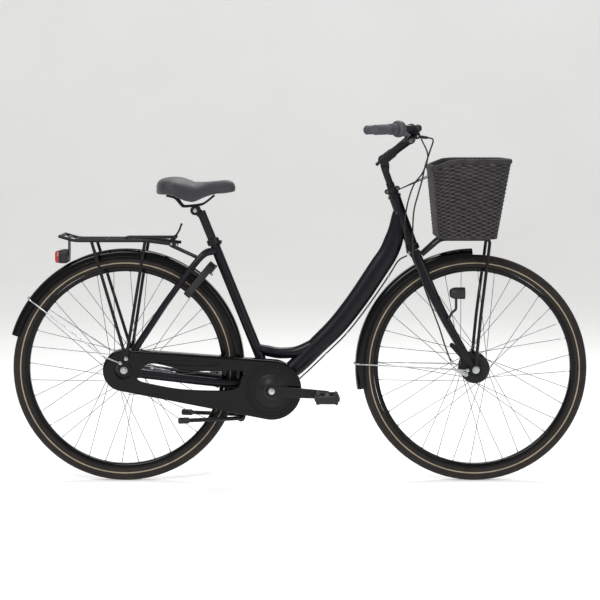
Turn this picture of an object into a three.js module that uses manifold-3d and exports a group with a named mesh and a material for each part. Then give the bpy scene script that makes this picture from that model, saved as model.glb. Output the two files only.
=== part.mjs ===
// Step-through city bike, millimetres, +Z up, +X forward, the drive side faces -Y.
import * as THREE from 'three';
import { mergeVertices } from 'three/addons/utils/BufferGeometryUtils.js';
import Module from 'manifold-3d';

const wasm = await Module();
wasm.setup();

// Clearances and small shared sizes
const GAP = 0.3;
const OVERRUN = 2;
const WELD = 0.001;
const TURN = Math.PI * 2;
const TUBE_SIDES = 8;
const THIN_SIDES = 6;
const NUT_SIDES = 6;
const SPOKE_SIDES = 3;
const ROUND_SIDES = 12;
const DISC_SIDES = 18;
const PLATE_STEPS = 3;
const CORNER_STEPS = 2;
const BEND_SHARE = 2.4;

// Wheels and their places
const WHEEL_RADIUS = 350;
const WHEEL_GAP = 380.6;
const CENTRE_SHIFT = 2.5;
const WHEELBASE = WHEEL_RADIUS * 2 + WHEEL_GAP;
const REAR_REACH = WHEELBASE / 2 - CENTRE_SHIFT;
const REAR_END = -REAR_REACH;
const FRONT_REACH = WHEELBASE - REAR_REACH;
const WHEEL_TOP = WHEEL_RADIUS * 2;
const TYRE_WIDTH = 38;
const TYRE_DEPTH = 38.6;
const RIM_DEPTH = 13.4;
const RIM_INNER_RADIUS = WHEEL_RADIUS - TYRE_DEPTH - RIM_DEPTH;
const RIM_WIDTH = 25;
const RIM_WELL = 3;
const WHEEL_STEPS = 36;
const TYRE_RISE_SHARES = [0, 0.36, 0.8, 1, 1, 0.8, 0.36, 0];
const TYRE_SIDE_SHARES = [0.66, 1, 0.88, 0.38, -0.38, -0.88, -1, -0.66];
const SPOKE_SIDESTEP = 1.2;
const SPOKE_RADIUS = 0.9;
const SPOKE_COUNT = 36;
const SPOKE_CROSS_HOLES = 3;
const FIRST_HOLE_TURN = 7.5 / 360;
const HUB_FLANGE_RADIUS = 46;
const SPOKE_CIRCLE_RADIUS = 42;
const FLANGE_THICKNESS = 4;
const FRONT_FLANGE_SPREAD = 56;
const REAR_FLANGE_SPREAD = 58;
const HUB_BARREL_RADIUS = 33;
const DRIVER_RADIUS = 16.5;
const DRIVER_END_Y = 51;
const FAR_CONE_RADIUS = 14;
const FRONT_HUB_END_Y = 31.2;
const FRONT_HUB_FAR_Y = 46;
const REAR_HUB_FAR_Y = 44;
const AXLE_RADIUS = 5;
const AXLE_NUT_RADIUS = 9.5;
const AXLE_NUT_LENGTH = 11;

// Frame tubes
const HEAD_SLOPE_SHARE = 0.356;
const HEAD_TOP_RUN = -248;
const HEAD_TOP_X = FRONT_REACH + HEAD_TOP_RUN;
const HEAD_TOP_RISE = 185;
const HEAD_TOP_Z = WHEEL_TOP + HEAD_TOP_RISE;
const HEAD_BOTTOM_RISE = 23.5;
const HEAD_BOTTOM_Z = WHEEL_TOP + HEAD_BOTTOM_RISE;
const HEAD_RADIUS = 18;
const HEAD_BORE_RADIUS = 15;
const HEAD_CUP_RADIUS = 21;
const HEAD_CUP_HEIGHT = 9;
const BRACKET_AHEAD = 104;
const BRACKET_DROP = 60.3;
const BRACKET_X = REAR_END + WHEEL_RADIUS + BRACKET_AHEAD;
const BRACKET_Z = WHEEL_RADIUS - BRACKET_DROP;
const SHELL_RADIUS = 21;
const SHELL_WIDTH = 70;
const BEARING_RADIUS = 17;
const BEARING_LIP = 3;
const CRANK_AXLE_RADIUS = 8.5;
const SEAT_TOP_RUN = 268.5;
const SEAT_TOP_X = REAR_END + SEAT_TOP_RUN;
const SEAT_TOP_RISE = 45.3;
const SEAT_TOP_Z = WHEEL_TOP + SEAT_TOP_RISE;
const SEAT_TUBE_RADIUS = 15.5;
const POST_RADIUS = 13.5;
const POST_DEPTH = 190;
const POST_INSERTION = 115;
const CLAMP_HEIGHT = 14;
const CLAMP_WALL = 4;
const DOWN_TUBE_DEPTH = 62;
const DOWN_TUBE_WIDTH = 44;
const DOWN_TUBE_STEPS = 12;
const DOWN_TUBE_RUN_SHARES = [0.03, 0.203, 0.368, 0.536, 0.705, 0.868, 0.958, 1.012, 1.035];
const DOWN_TUBE_RISE_SHARES = [0.03, 0.11, 0.214, 0.321, 0.459, 0.614, 0.703, 0.798, 0.9];
const DOWN_TUBE_DEPTH_SHARES = [0.78, 0.9, 0.94, 0.98, 1, 1.02, 1.02, 0.95, 0.62];
const DOWN_TUBE_WIDTH_SHARES = [1, 1, 1, 1, 1, 0.95, 0.88, 0.8, 0.76];
const BRACE_RADIUS = 17.2;
const BRACE_STEPS = 7;
const BRACE_RUN_SHARES = [-0.12, 0.023, 0.105, 0.187, 0.253, 0.36];
const BRACE_RISE_SHARES = [0.199, 0.178, 0.175, 0.18, 0.194, 0.228];

// Stays and dropouts, from the bottom bracket and the seat tube to the rear axle
const SEAT_STAY_RADIUS = 10;
const SEAT_STAY_STEPS = 7;
const SEAT_STAY_RUN_SHARES = [-0.03, 0.137, 0.495, 0.725, 0.893, 0.955];
const SEAT_STAY_RISE_SHARES = [0.084, 0.135, 0.453, 0.686, 0.858, 0.93];
const SEAT_STAY_SPREAD = 60.5;
const SEAT_STAY_SPREAD_SHARES = [0.28, 0.62, 0.83, 0.95, 1, 1];
const CHAIN_STAY_DEPTH = 26;
const CHAIN_STAY_WIDTH = 16.5;
const CHAIN_STAY_STEPS = 6;
const CHAIN_STAY_SIZE_SHARES = [1, 1];
const CHAIN_STAY_RUN_SHARES = [0.03, 0.179, 0.384, 0.892, 0.945];
const CHAIN_STAY_RISE_SHARES = [0.03, 0.19, 0.33, 0.8, 0.88];
const CHAIN_STAY_SPREAD = 61;
const CHAIN_STAY_SPREAD_SHARES = [0.38, 0.565, 0.77, 0.955, 1];
const STAY_BRIDGE_SHARE = 0.13;
const STAY_BRIDGE_RADIUS = 8;
const DROPOUT_Y = 65;
const DROPOUT_THICKNESS = 6;
const DROPOUT_RADIUS = 18;
const EYELET_RISE = 30;
const EYELET_RADIUS = 18;
const STAY_TIP_RADIUS = 12;
const SCREW_RADIUS = 3;
const STAND_RUN = -96.2;
const STAND_DROP = 92.7;
const STAND_X = BRACKET_X + STAND_RUN;
const STAND_Z = BRACKET_Z - STAND_DROP;
const STAND_PIN_RADIUS = 6;
const STAND_BLOCK_RADIUS = 13;
const STAND_BLOCK_WIDTH = 38;

// Fork
const FORK_BLADE_DEPTH = 30;
const FORK_STEPS = 7;
const FORK_BLADE_WIDTH = 20;
const FORK_DEPTH_SHARES = [1, 1, 0.95, 0.88, 0.78, 0.6];
const FORK_WIDTH_SHARES = [1, 1, 0.95, 0.9, 0.8, 0.65];
const FORK_RUN_SHARES = [0.051, 0.135, 0.361, 0.634, 0.907, 0.975];
const FORK_RISE_SHARES = [0.06, 0.162, 0.427, 0.697, 0.932, 0.985];
const FORK_SPREAD = 51;
const FORK_SPREAD_SHARES = [0.78, 0.9, 0.97, 1, 1.02, 1.04];
const CROWN_DEPTH = 36;
const CROWN_HEIGHT = 26.4;
const STEERER_RADIUS = 12.7;

// Chaincase and drive
const CHAIN_LINE = 47;
const CHAIN_PITCH = 12.7;
const CHAINRING_TEETH = 38;
const SPROCKET_TEETH = 18;
const CHAIN_HALF_HEIGHT = 3.6;
const CHAIN_WIDTH = 6.5;
const SPROCKET_THICKNESS = 2.6;
const TOOTH_DEPTH = 4;
const CASE_FRONT_RADIUS = 91;
const CASE_REAR_RADIUS = 64;
const CASE_NEAR = 76;
const CASE_FAR = 34;
const CASE_WALL = 2.5;
const CASE_FLANGE = 15;
const CASE_SLOT_LIP = 6;
const CASE_AXLE_HOLE = 27;
const CASE_CRANK_HOLE = 15;
const CASE_STAY_CLEARANCE = 3;
const CASE_BOSS_RADIUS = 7;
const CASE_STEPS = 10;
const CASE_RING_RADIUS = 76;
const CASE_RING_WIDTH = 9;
const CASE_RING_DEPTH = 1;
const CASE_SLOT_RUN_SHARES = [0.9045, 0.831, 0.5586, 0.2075, 0.191, 0.2577, 0.542, 0.7446];
const CASE_SLOT_SIDE_SHARES = [-0.213, 0.3455, 0.284, 0.502, 0.297, -0.141, -0.348, -0.347];
const CASE_LENS_RUN_SHARES = [0.8, 0.66, 0.5, 0.36, 0.5, 0.66];
const CASE_LENS_SIDE_SHARES = [0.46, 0.56, 0.64, 0.66, 0.5, 0.44];

// Mudguards, their wires and the rack
const GUARD_CLEARANCE = 19.5;
const GUARD_RADIUS = WHEEL_RADIUS + GUARD_CLEARANCE;
const GUARD_WIDTH = 52;
const GUARD_DROP = 26;
const GUARD_WALL = 2;
const GUARD_STEPS = 40;
const GUARD_SHOULDER_SHARE = 0.45;
const GUARD_SLOPE_SHARE = 0.4;
const REAR_GUARD_START_TURN = -12 / 360;
const REAR_GUARD_END_TURN = 163.6 / 360;
const FRONT_GUARD_START_TURN = 91 / 360;
const FRONT_GUARD_END_TURN = 190.5 / 360;
const WIRE_RADIUS = 2.3;
const WIRE_BOLT_RADIUS = 5.5;
const WIRE_BOLT_LENGTH = 6;
const REAR_WIRE_TURN = 144.4 / 360;
const FRONT_WIRE_TURN = 178 / 360;
const REAR_WIRE_Y = 82;
const FRONT_WIRE_Y = 63;
const FRONT_WIRE_BOLT_RUN = -26;
const FRONT_WIRE_BOLT_RISE = -1;
const REAR_WIRE_BOLT_RUN = -9;
const WIRE_STRAIGHT_REACH = 76;
const REAR_WIRE_BOLT_RISE = 24;
const RACK_TUBE_RADIUS = 5;
const RACK_RAIL_Y = 62;
const RACK_REAR_RUN = -197.2;
const RACK_REAR_X = REAR_END + RACK_REAR_RUN;
const RACK_REAR_RISE = 60;
const RACK_REAR_Z = WHEEL_TOP + RACK_REAR_RISE;
const RACK_RISE = 47;
const RACK_Z = WHEEL_TOP + RACK_RISE;
const RACK_DIP_RUN = -152.2;
const RACK_DIP_X = REAR_END + RACK_DIP_RUN;
const RACK_FRONT_RUN = 166.8;
const RACK_FRONT_X = REAR_END + RACK_FRONT_RUN;
const RACK_FRONT_RISE = 34;
const RACK_FRONT_Z = WHEEL_TOP + RACK_FRONT_RISE;
const RACK_BAR_PLACES_SHARES = [0.12, 0.38, 0.66, 0.92];
const RACK_SLAT_Y = 21;
const RACK_BAR_RADIUS = 4;
const RACK_LEG_REAR_RUN = -100.7;
const RACK_LEG_REAR_X = REAR_END + RACK_LEG_REAR_RUN;
const RACK_LEG_FRONT_RUN = 64.8;
const RACK_LEG_FRONT_X = REAR_END + RACK_LEG_FRONT_RUN;
const RACK_FOOT_RUN = 9;
const RACK_FOOT_RISE = 38;
const RACK_FOOT_Y = 84;
const STRUT_RADIUS = 3.8;
const LAMP_RUN = -182.2;
const LAMP_X = REAR_END + LAMP_RUN;
const LAMP_RISE = -5;
const LAMP_Z = WHEEL_TOP + LAMP_RISE;
const LAMP_LENGTH = 26;
const LAMP_WIDTH = 84;
const LAMP_HEIGHT = 40;
const LENS_LENGTH = 12;
const LAMP_PLATE = 3;
const LAMP_CORNER = 10;

// Ring lock
const LOCK_TURN = 50 / 360;
const LOCK_CENTRE_INSET = 12;
const LOCK_CENTRE_REACH = WHEEL_RADIUS - LOCK_CENTRE_INSET;
const LOCK_INNER_RADIUS = 46;
const LOCK_OUTER_RADIUS = 61;
const LOCK_TOP_RISE = 23;
const LOCK_TOP_REACH = LOCK_CENTRE_REACH + LOCK_OUTER_RADIUS + LOCK_TOP_RISE;
const LOCK_THICKNESS = 22;
const LOCK_MOUTH_TURN = 44 / 360;
const SHACKLE_RADIUS = 4;
const SHACKLE_RING_RADIUS = 53.5;
const SHACKLE_LENGTH_TURN = 150 / 360;
const SHACKLE_TRAVEL_TURN = 108 / 360;
const KNOB_RADIUS = 4;
const KNOB_HEIGHT = 12;
const KNOB_TURN = 26 / 360;
const LOCK_BLOCK_HEIGHT = 30;
const LOCK_BLOCK_LIFT = 5;
const LOCK_STEP_TURN = 16 / 360;
const SHACKLE_PLAY = 1.2;
const LOCK_OVER_TURN = 4 / 360;
const SHACKLE_SLOT_TURN = 6 / 360;
const LOCK_BLOCK_WIDTH = 46;
const LOCK_LUG_RISE = 16;
const LOCK_LUG_REACH = WHEEL_RADIUS + LOCK_LUG_RISE;
const LOCK_LUG_TURN = 56.3 / 360;
const LOCK_LUG_Y = 46;
const LOCK_LUG_RADIUS = 5;

// Rear axle and coaster brake arm
const REAR_AXLE_HALF_LENGTH = 80;
const FRONT_AXLE_HALF_LENGTH = 68;
const ARM_Y = 50;
const ARM_END_Y = 36;
const ARM_REACH = 150;
const ARM_DEPTH = 16;
const ARM_THICKNESS = 4;
const ARM_DROP = 26;
const ARM_DEPTH_SHARES = [1.1, 0.7];

// Fork fittings, carrier and basket
const LOCKNUT_RADIUS = 17;
const STEERER_TOP = 40;
const RACE_HEIGHT = 8;
const FORK_TIP_RADIUS = 14;
const FORK_TIP_Y = 53;
const CARRIER_RADIUS = 5;
const CARRIER_EYE_RADIUS = 11;
const CARRIER_EYE_THICKNESS = 3;
const CARRIER_STRUT_Y = 61;
const CARRIER_TOP_Y = 52;
const CARRIER_STRUT_MIDDLE_RUN = 14.2;
const CARRIER_STRUT_MIDDLE_X = FRONT_REACH + CARRIER_STRUT_MIDDLE_RUN;
const CARRIER_STRUT_MIDDLE_RISE = 158;
const CARRIER_STRUT_MIDDLE_Z = WHEEL_RADIUS + CARRIER_STRUT_MIDDLE_RISE;
const CARRIER_FRONT_RUN = 45.2;
const CARRIER_FRONT_X = FRONT_REACH + CARRIER_FRONT_RUN;
const CARRIER_REAR_RUN = -106.8;
const CARRIER_REAR_X = FRONT_REACH + CARRIER_REAR_RUN;
const BASKET_BOTTOM_RISE = 56;
const BASKET_BOTTOM_Z = WHEEL_TOP + BASKET_BOTTOM_RISE;
const BASKET_RIM_RISE = 301;
const BASKET_RIM_Z = WHEEL_TOP + BASKET_RIM_RISE;
const BASKET_REAR_RIM_RISE = 279;
const BASKET_REAR_RIM_Z = WHEEL_TOP + BASKET_REAR_RIM_RISE;
const BASKET_BOTTOM_REAR_RUN = -119.8;
const BASKET_BOTTOM_REAR_X = FRONT_REACH + BASKET_BOTTOM_REAR_RUN;
const BASKET_BOTTOM_FRONT_RUN = 60.2;
const BASKET_BOTTOM_FRONT_X = FRONT_REACH + BASKET_BOTTOM_FRONT_RUN;
const BASKET_TOP_REAR_RUN = -139.8;
const BASKET_TOP_REAR_X = FRONT_REACH + BASKET_TOP_REAR_RUN;
const BASKET_TOP_FRONT_RUN = 104.2;
const BASKET_TOP_FRONT_X = FRONT_REACH + BASKET_TOP_FRONT_RUN;
const BASKET_BOTTOM_HALF_WIDTH = 150;
const BASKET_TOP_HALF_WIDTH = 172;
const BASKET_WALL = 9;
const BASKET_RIM_HEIGHT = 18;
const BASKET_RIM_OVERHANG = 4;
const BASKET_CORNER_SHARE = 0.32;
const BASKET_DIP_SHARES = [1, 0.55, 0.12, 0, 0, 0, 0, 0, 0, 0];
const BRACKET_BAND_HEIGHT = 16;
const BRACKET_BAND_WALL = 4;
const BRACKET_BOSS_RADIUS = 8;
const BRACKET_BOSS_LENGTH = 22;
const BASKET_WIRE_RADIUS = 1.6;

// Headlight on the right fork blade
const HEADLIGHT_RUN = -63.8;
const HEADLIGHT_X = FRONT_REACH + HEADLIGHT_RUN;
const HEADLIGHT_Y = -92;
const HEADLIGHT_RISE = -111;
const HEADLIGHT_Z = WHEEL_TOP + HEADLIGHT_RISE;
const HEADLIGHT_LENGTH = 40;
const HEADLIGHT_RADIUS = 18;
const HEADLIGHT_HOOD = 7;
const HEADLIGHT_BACK_SHARE = 0.62;
const HEADLIGHT_DOME_SHARE = 0.8;
const HEADLIGHT_LENS_LENGTH = 5;
const HEADLIGHT_STALK_RADIUS = 4;
const HEADLIGHT_STALK_DROP = 50;
const HEADLIGHT_FOOT_RUN_SHARE = 0.55;
const HEADLIGHT_FOOT_RISE_SHARE = 0.59;

// Front drum brake
const DRUM_RADIUS = 42;
const DRUM_FACE_Y = 41;
const DRUM_BACK_Y = 31.5;
const DRUM_HUB_RADIUS = 12;
const DRUM_FACE_SHARE = 0.8;
const DRUM_CAM_RUN = -29;
const DRUM_CAM_RISE = -16;
const DRUM_CAM_RADIUS = 4;
const DRUM_ARM_TIP_RUN = -64;
const DRUM_ARM_TIP_RISE = -2;
const DRUM_ARM_THICKNESS = 3.5;
const DRUM_ARM_WIDTH = 7;
const DRUM_STRUT_RUN = -72;
const DRUM_STRUT_RISE = 74;

// Stem, handlebar and controls
const QUILL_RADIUS = 10.8;
const QUILL_DEPTH = 85;
const STEM_PIVOT_RUN = -280.8;
const STEM_PIVOT_X = FRONT_REACH + STEM_PIVOT_RUN;
const STEM_PIVOT_RISE = 294;
const STEM_PIVOT_Z = WHEEL_TOP + STEM_PIVOT_RISE;
const STEM_JOINT_RADIUS = 15;
const STEM_TONGUE_WIDTH = 16;
const STEM_WIDTH = 32;
const STEM_BOLT_RADIUS = 4;
const STEM_NECK_END_SHARE = 0.7;
const STEM_NECK_WIDTH_SHARES = [1, 0.7, 0.68];
const STEM_NECK_DEPTH_SHARES = [1, 1.25, 1.3];
const BAR_CLAMP_RUN = -198.3;
const BAR_CLAMP_X = FRONT_REACH + BAR_CLAMP_RUN;
const BAR_CLAMP_RISE = 359;
const BAR_CLAMP_Z = WHEEL_TOP + BAR_CLAMP_RISE;
const BAR_CLAMP_WALL = 5;
const BAR_RADIUS = 11.1;
const BAR_STEPS = 20;
const BAR_CENTRE_Y = 40;
const BAR_RISE_Y = 105;
const BAR_BEND_RUN = -206.8;
const BAR_BEND_X = FRONT_REACH + BAR_BEND_RUN;
const BAR_BEND_Y = 172;
const BAR_BEND_RISE = 391;
const BAR_BEND_Z = WHEEL_TOP + BAR_BEND_RISE;
const GRIP_START_RUN = -220.8;
const GRIP_START_X = FRONT_REACH + GRIP_START_RUN;
const GRIP_START_Y = 194;
const GRIP_END_RUN = -320.8;
const GRIP_END_X = FRONT_REACH + GRIP_END_RUN;
const GRIP_END_Y = 300;
const GRIP_END_RISE = 387;
const GRIP_END_Z = WHEEL_TOP + GRIP_END_RISE;
const GRIP_RADIUS = 15.5;
const GRIP_LENGTH = 118;
const GRIP_END_SHARE = 0.72;
const RIGHT_GRIP_LENGTH = 66;
const TWIST_BODY_RADIUS = 25.5;
const TWIST_BODY_LENGTH = 24;
const TWIST_SLEEVE_RADIUS = 17;
const TWIST_SLEEVE_LENGTH = 28;
const LEVER_PIVOT_RUN = -194.8;
const LEVER_PIVOT_X = FRONT_REACH + LEVER_PIVOT_RUN;
const LEVER_PIVOT_Y = -164;
const LEVER_PIVOT_RISE = 368;
const LEVER_PIVOT_Z = WHEEL_TOP + LEVER_PIVOT_RISE;
const LEVER_TIP_RUN = -318.8;
const LEVER_TIP_X = FRONT_REACH + LEVER_TIP_RUN;
const LEVER_TIP_Y = -284;
const LEVER_TIP_RISE = 287;
const LEVER_TIP_Z = WHEEL_TOP + LEVER_TIP_RISE;
const LEVER_WIDTH = 12;
const LEVER_DEPTH = 9;
const LEVER_AHEAD = 24;
const LEVER_STEPS = 9;
const LEVER_TIP_RADIUS = 5.6;
const LEVER_RUN_SHARES = [0, 0.14, 0.34, 0.5, 0.7, 0.88, 1];
const LEVER_DROP_SHARES = [0, 0.06, 0.17, 0.27, 0.49, 0.77, 1];
const LEVER_AHEAD_SHARES = [0, 0.08, 0.75, 1, 0.8, 0.5, 0.3];
const PERCH_RADIUS = 16;
const PERCH_LENGTH = 26;
const PERCH_ARM_RADIUS = 12.8;
const PERCH_TIP_RADIUS = 9.6;
const PERCH_SLOT_RADIUS = 20.7;
const PERCH_FORWARD = 26;
const DOME_RADIUS = 12;
const DOME_FORWARD = 20.8;

// Cranks and pedals
const CRANK_LENGTH = 168.3;
const CRANK_TURN = -3.9 / 360;
const CRANK_FACE_Y = 84;
const CRANK_THICKNESS = 13;
const CRANK_BOSS_RADIUS = 13;
const LEFT_BOSS_RADIUS = 15.6;
const CRANK_DISH_RADIUS = 50;
const CRANK_DISH_Y = 76.4;
const CRANK_DISH_RIM = 4;
const CRANK_ROOT_DEPTH = 34;
const CRANK_TIP_DEPTH = 25;
const CRANK_BOLT_RADIUS = 8;
const CRANK_BOLT_LENGTH = 4;
const PEDAL_AXLE_RADIUS = 5;
const PEDAL_INNER_Y = 102;
const PEDAL_WIDTH = 94;
const PEDAL_LENGTH = 68;
const PEDAL_HEIGHT = 28;
const PEDAL_BARREL_RADIUS = 11;
const PEDAL_RAIL = 12;

// Seat post and saddle
const POST_TOP_RISE = 134;
const POST_TOP_Z = WHEEL_TOP + POST_TOP_RISE;
const CRADLE_RUN = 215.8;
const CRADLE_X = REAR_END + CRADLE_RUN;
const CRADLE_RISE = 138;
const CRADLE_Z = WHEEL_TOP + CRADLE_RISE;
const CRADLE_RADIUS = 12;
const CRADLE_NECK_RADIUS = 10.8;
const CRADLE_WIDTH = 28;
const CLAMP_DISC_RADIUS = 15;
const CLAMP_DISC_WIDTH = 12;
const RAIL_RADIUS = 3.5;
const RAIL_STEPS = 10;
const RAIL_Y = 22;
const SADDLE_REAR_RUN = 95.8;
const SADDLE_REAR_X = REAR_END + SADDLE_REAR_RUN;
const SADDLE_NOSE_RUN = 342.8;
const SADDLE_NOSE_X = REAR_END + SADDLE_NOSE_RUN;
const SADDLE_TOP_RISE = 242;
const SADDLE_TOP_Z = WHEEL_TOP + SADDLE_TOP_RISE;
const SADDLE_DEPTH = 80;
const SADDLE_HALF_WIDTH = 105;
const SADDLE_RUN_SHARES = [0, 0.03, 0.09, 0.17, 0.26, 0.37, 0.47, 0.57, 0.67, 0.78, 0.88, 0.95, 0.985, 1];
const SADDLE_TOP_SHARES = [0.25, 0.1, 0.03, 0, 0.01, 0.09, 0.19, 0.21, 0.19, 0.16, 0.14, 0.18, 0.28, 0.45];
const SADDLE_BOTTOM_SHARES = [0.67, 0.69, 0.69, 0.69, 0.78, 0.93, 0.98, 0.86, 0.74, 0.67, 0.66, 0.66, 0.64, 0.6];
const SADDLE_WIDTH_SHARES = [0.42, 0.68, 0.9, 0.99, 1, 0.86, 0.66, 0.49, 0.39, 0.33, 0.3, 0.26, 0.19, 0.1];
const SADDLE_SIDE_SHARES = [0, 0.45, 0.8, 0.98, 1, 0.9, 0.72, 0];
const SADDLE_HEIGHT_SHARES = [1, 0.97, 0.86, 0.62, 0.34, 0.08, 0, 0.06];
const RAIL_RUN_SHARES = [0.72, 0.6, 0.52, 0.35, 0.31, 0.235, 0.13];
const RAIL_DROP_SHARES = [0.731, 1.02, 1.1, 1.15, 1.08, 0.815, 0.718];
const RAIL_SPREAD_SHARES = [0.5, 0.85, 1, 1, 1.1, 1.5, 1.8];

// Stand and rack clip
const STAND_LEG_RADIUS = 6.2;
const STAND_LEG_RUN = -190;
const STAND_FOOT_RADIUS = 9.5;
const STAND_FOOT_LENGTH = 34;
const STAND_ROOT_Y = 30;
const STAND_KNEE_RUN = -34;
const STAND_KNEE_Y = 42;
const STAND_FOOT_Y = 78;
const CLIP_RADIUS = 3;
const CLIP_PIVOT_RUN = 151.8;
const CLIP_PIVOT_X = REAR_END + CLIP_PIVOT_RUN;
const CLIP_EAR = 4;
const CLIP_HALF_WIDTH = 30;
const CLIP_LENGTH = 150;
const CLIP_HANDLE_RISE = 40;
const CABLE_RADIUS = 2.5;

// Materials: colour, roughness and metalness of each finish
const FINISHES = {
    frameBlack: { color: 0x1d1c22, roughness: 0.42, metalness: 0.15 },
    glossBlack: { color: 0x111113, roughness: 0.18, metalness: 0.1 },
    satinBlack: { color: 0x222225, roughness: 0.5, metalness: 0.2 },
    tyreBlack: { color: 0x241f1e, roughness: 0.85, metalness: 0 },
    gripGrey: { color: 0x55555a, roughness: 0.8, metalness: 0 },
    saddleGrey: { color: 0x47474d, roughness: 0.75, metalness: 0 },
    wickerDark: { color: 0x2f2c2c, roughness: 0.8, metalness: 0 },
    silver: { color: 0xb4b6b8, roughness: 0.3, metalness: 0.9 },
    plasticBlack: { color: 0x1a1a1c, roughness: 0.55, metalness: 0 },
    redLens: { color: 0xa11512, roughness: 0.15, metalness: 0 },
    clearLens: { color: 0xdfe4e6, roughness: 0.08, metalness: 0 },
    cableBlack: { color: 0x18181a, roughness: 0.5, metalness: 0 },
};

// Places worked out from the sizes above
const REAR_AXLE = at(-REAR_REACH, 0, WHEEL_RADIUS);
const FRONT_AXLE = at(WHEELBASE - REAR_REACH, 0, WHEEL_RADIUS);
const BRACKET = at(BRACKET_X, 0, BRACKET_Z);
const HEAD_TOP = steerPoint(HEAD_TOP_Z);
const HEAD_BOTTOM = steerPoint(HEAD_BOTTOM_Z);
const STEER_AXIS = HEAD_TOP.clone().sub(HEAD_BOTTOM).normalize();
const SEAT_TOP = at(SEAT_TOP_X, 0, SEAT_TOP_Z);
const SEAT_AXIS = SEAT_TOP.clone().sub(BRACKET).normalize();

// Vectors, curves and solids
function at(x, y, z) {
    return new THREE.Vector3(x, y, z);
}

function steerPoint(z) {
    return at(HEAD_TOP_X + HEAD_SLOPE_SHARE * (HEAD_TOP_Z - z), 0, z);
}

// A point at shares of the run and rise from one place to another, set aside by a lateral size.
function between(start, end, runShare, riseShare, aside = 0) {
    const run = end.x - start.x;
    const rise = end.z - start.z;
    return at(start.x + run * runShare, aside, start.z + rise * riseShare);
}

function along(start, direction, distance) {
    return start.clone().addScaledVector(direction, distance);
}

function solid(geometry) {
    const bare = geometry.clone();
    bare.deleteAttribute('normal');
    bare.deleteAttribute('uv');
    const merged = mergeVertices(bare, WELD);
    const places = merged.attributes.position.array;
    const source = merged.index.array;
    const kept = [];
    let volume = 0;
    for (let i = 0; i < source.length; i += 3) {
        const [a, b, c] = [source[i], source[i + 1], source[i + 2]];
        if (a === b || b === c || c === a) continue;
        kept.push(a, b, c);
        const [p, q, r] = [a, b, c].map((k) => at(places[3 * k], places[3 * k + 1], places[3 * k + 2]));
        volume += p.dot(q.cross(r));
    }
    if (volume < 0) kept.reverse();
    const mesh = new wasm.Mesh({
        numProp: 3,
        vertProperties: new Float32Array(places),
        triVerts: new Uint32Array(kept),
    });
    return new wasm.Manifold(mesh);
}

function join(pieces) {
    return pieces.reduce((whole, piece) => whole.add(piece));
}

function cut(whole, tools) {
    return tools.reduce((left, tool) => left.subtract(tool), whole);
}

function geometryOf(piece) {
    const mesh = piece.getMesh();
    const geometry = new THREE.BufferGeometry();
    geometry.setAttribute('position', new THREE.BufferAttribute(mesh.vertProperties, 3));
    geometry.setIndex(new THREE.BufferAttribute(mesh.triVerts, 1));
    geometry.computeVertexNormals();
    return geometry;
}

function moved(geometry, x, y, z) {
    return geometry.translate(x, y, z);
}

// A closed solid through rings of points, each ring in the same order.
function loft(rings) {
    const sides = rings[0].length;
    const points = rings.flat();
    const first = points.length;
    const ends = [rings[0], rings[rings.length - 1]].map(centreOf);
    const positions = [...points, ...ends].flatMap((p) => [p.x, p.y, p.z]);
    const faces = [];
    for (let ring = 0; ring < rings.length - 1; ring += 1) {
        for (let side = 0; side < sides; side += 1) {
            const next = (side + 1) % sides;
            const [a, b] = [ring * sides + side, ring * sides + next];
            const [c, d] = [a + sides, b + sides];
            faces.push(a, b, d, a, d, c);
        }
    }
    const last = (rings.length - 1) * sides;
    for (let side = 0; side < sides; side += 1) {
        const next = (side + 1) % sides;
        faces.push(first, next, side, first + 1, last + side, last + next);
    }
    const geometry = new THREE.BufferGeometry();
    geometry.setAttribute('position', new THREE.Float32BufferAttribute(positions, 3));
    geometry.setIndex(faces);
    return solid(geometry);
}

function centreOf(ring) {
    return ring.reduce((sum, p) => sum.add(p), at(0, 0, 0)).divideScalar(ring.length);
}

// An oval ring square to a direction: its first half size is lateral, its second lies in the XZ plane.
function ovalRing(centre, direction, halfWidth, halfDepth, sides = TUBE_SIDES) {
    const side = at(0, 1, 0).addScaledVector(direction, -direction.y).normalize();
    const up = direction.clone().cross(side).normalize();
    return Array.from({ length: sides }, (_, k) => {
        const turn = (TURN * (k + 0.5)) / sides;
        const place = centre.clone().addScaledVector(side, halfWidth * Math.cos(turn));
        return place.addScaledVector(up, halfDepth * Math.sin(turn));
    });
}

// The share that a list of shares reaches at a share of its own length.
function shareOf(shares, place) {
    const spot = place * (shares.length - 1);
    const low = Math.min(Math.floor(spot), shares.length - 2);
    return THREE.MathUtils.lerp(shares[low], shares[low + 1], spot - low);
}

// An oval tube along a smooth curve. Its full width is lateral, and both sizes follow lists of shares.
function ovalTube(points, steps, width, depth, widthShares, depthShares, sides = TUBE_SIDES) {
    const curve = new THREE.CatmullRomCurve3(points);
    const rings = [];
    for (let k = 0; k <= steps; k += 1) {
        const share = k / steps;
        const halfWidth = (width * shareOf(widthShares, share)) / 2;
        const halfDepth = (depth * shareOf(depthShares, share)) / 2;
        rings.push(ovalRing(curve.getPointAt(share), curve.getTangentAt(share), halfWidth, halfDepth, sides));
    }
    return loft(rings);
}

// A round tube of constant section along a smooth curve through the points.
function tube(points, radius, steps, sides = THIN_SIDES) {
    const section = new THREE.Shape();
    section.absarc(0, 0, radius, 0, TURN, false);
    const path = new THREE.CatmullRomCurve3(points);
    const options = { steps, curveSegments: sides / 2, extrudePath: path };
    return solid(new THREE.ExtrudeGeometry(section, options));
}

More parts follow.
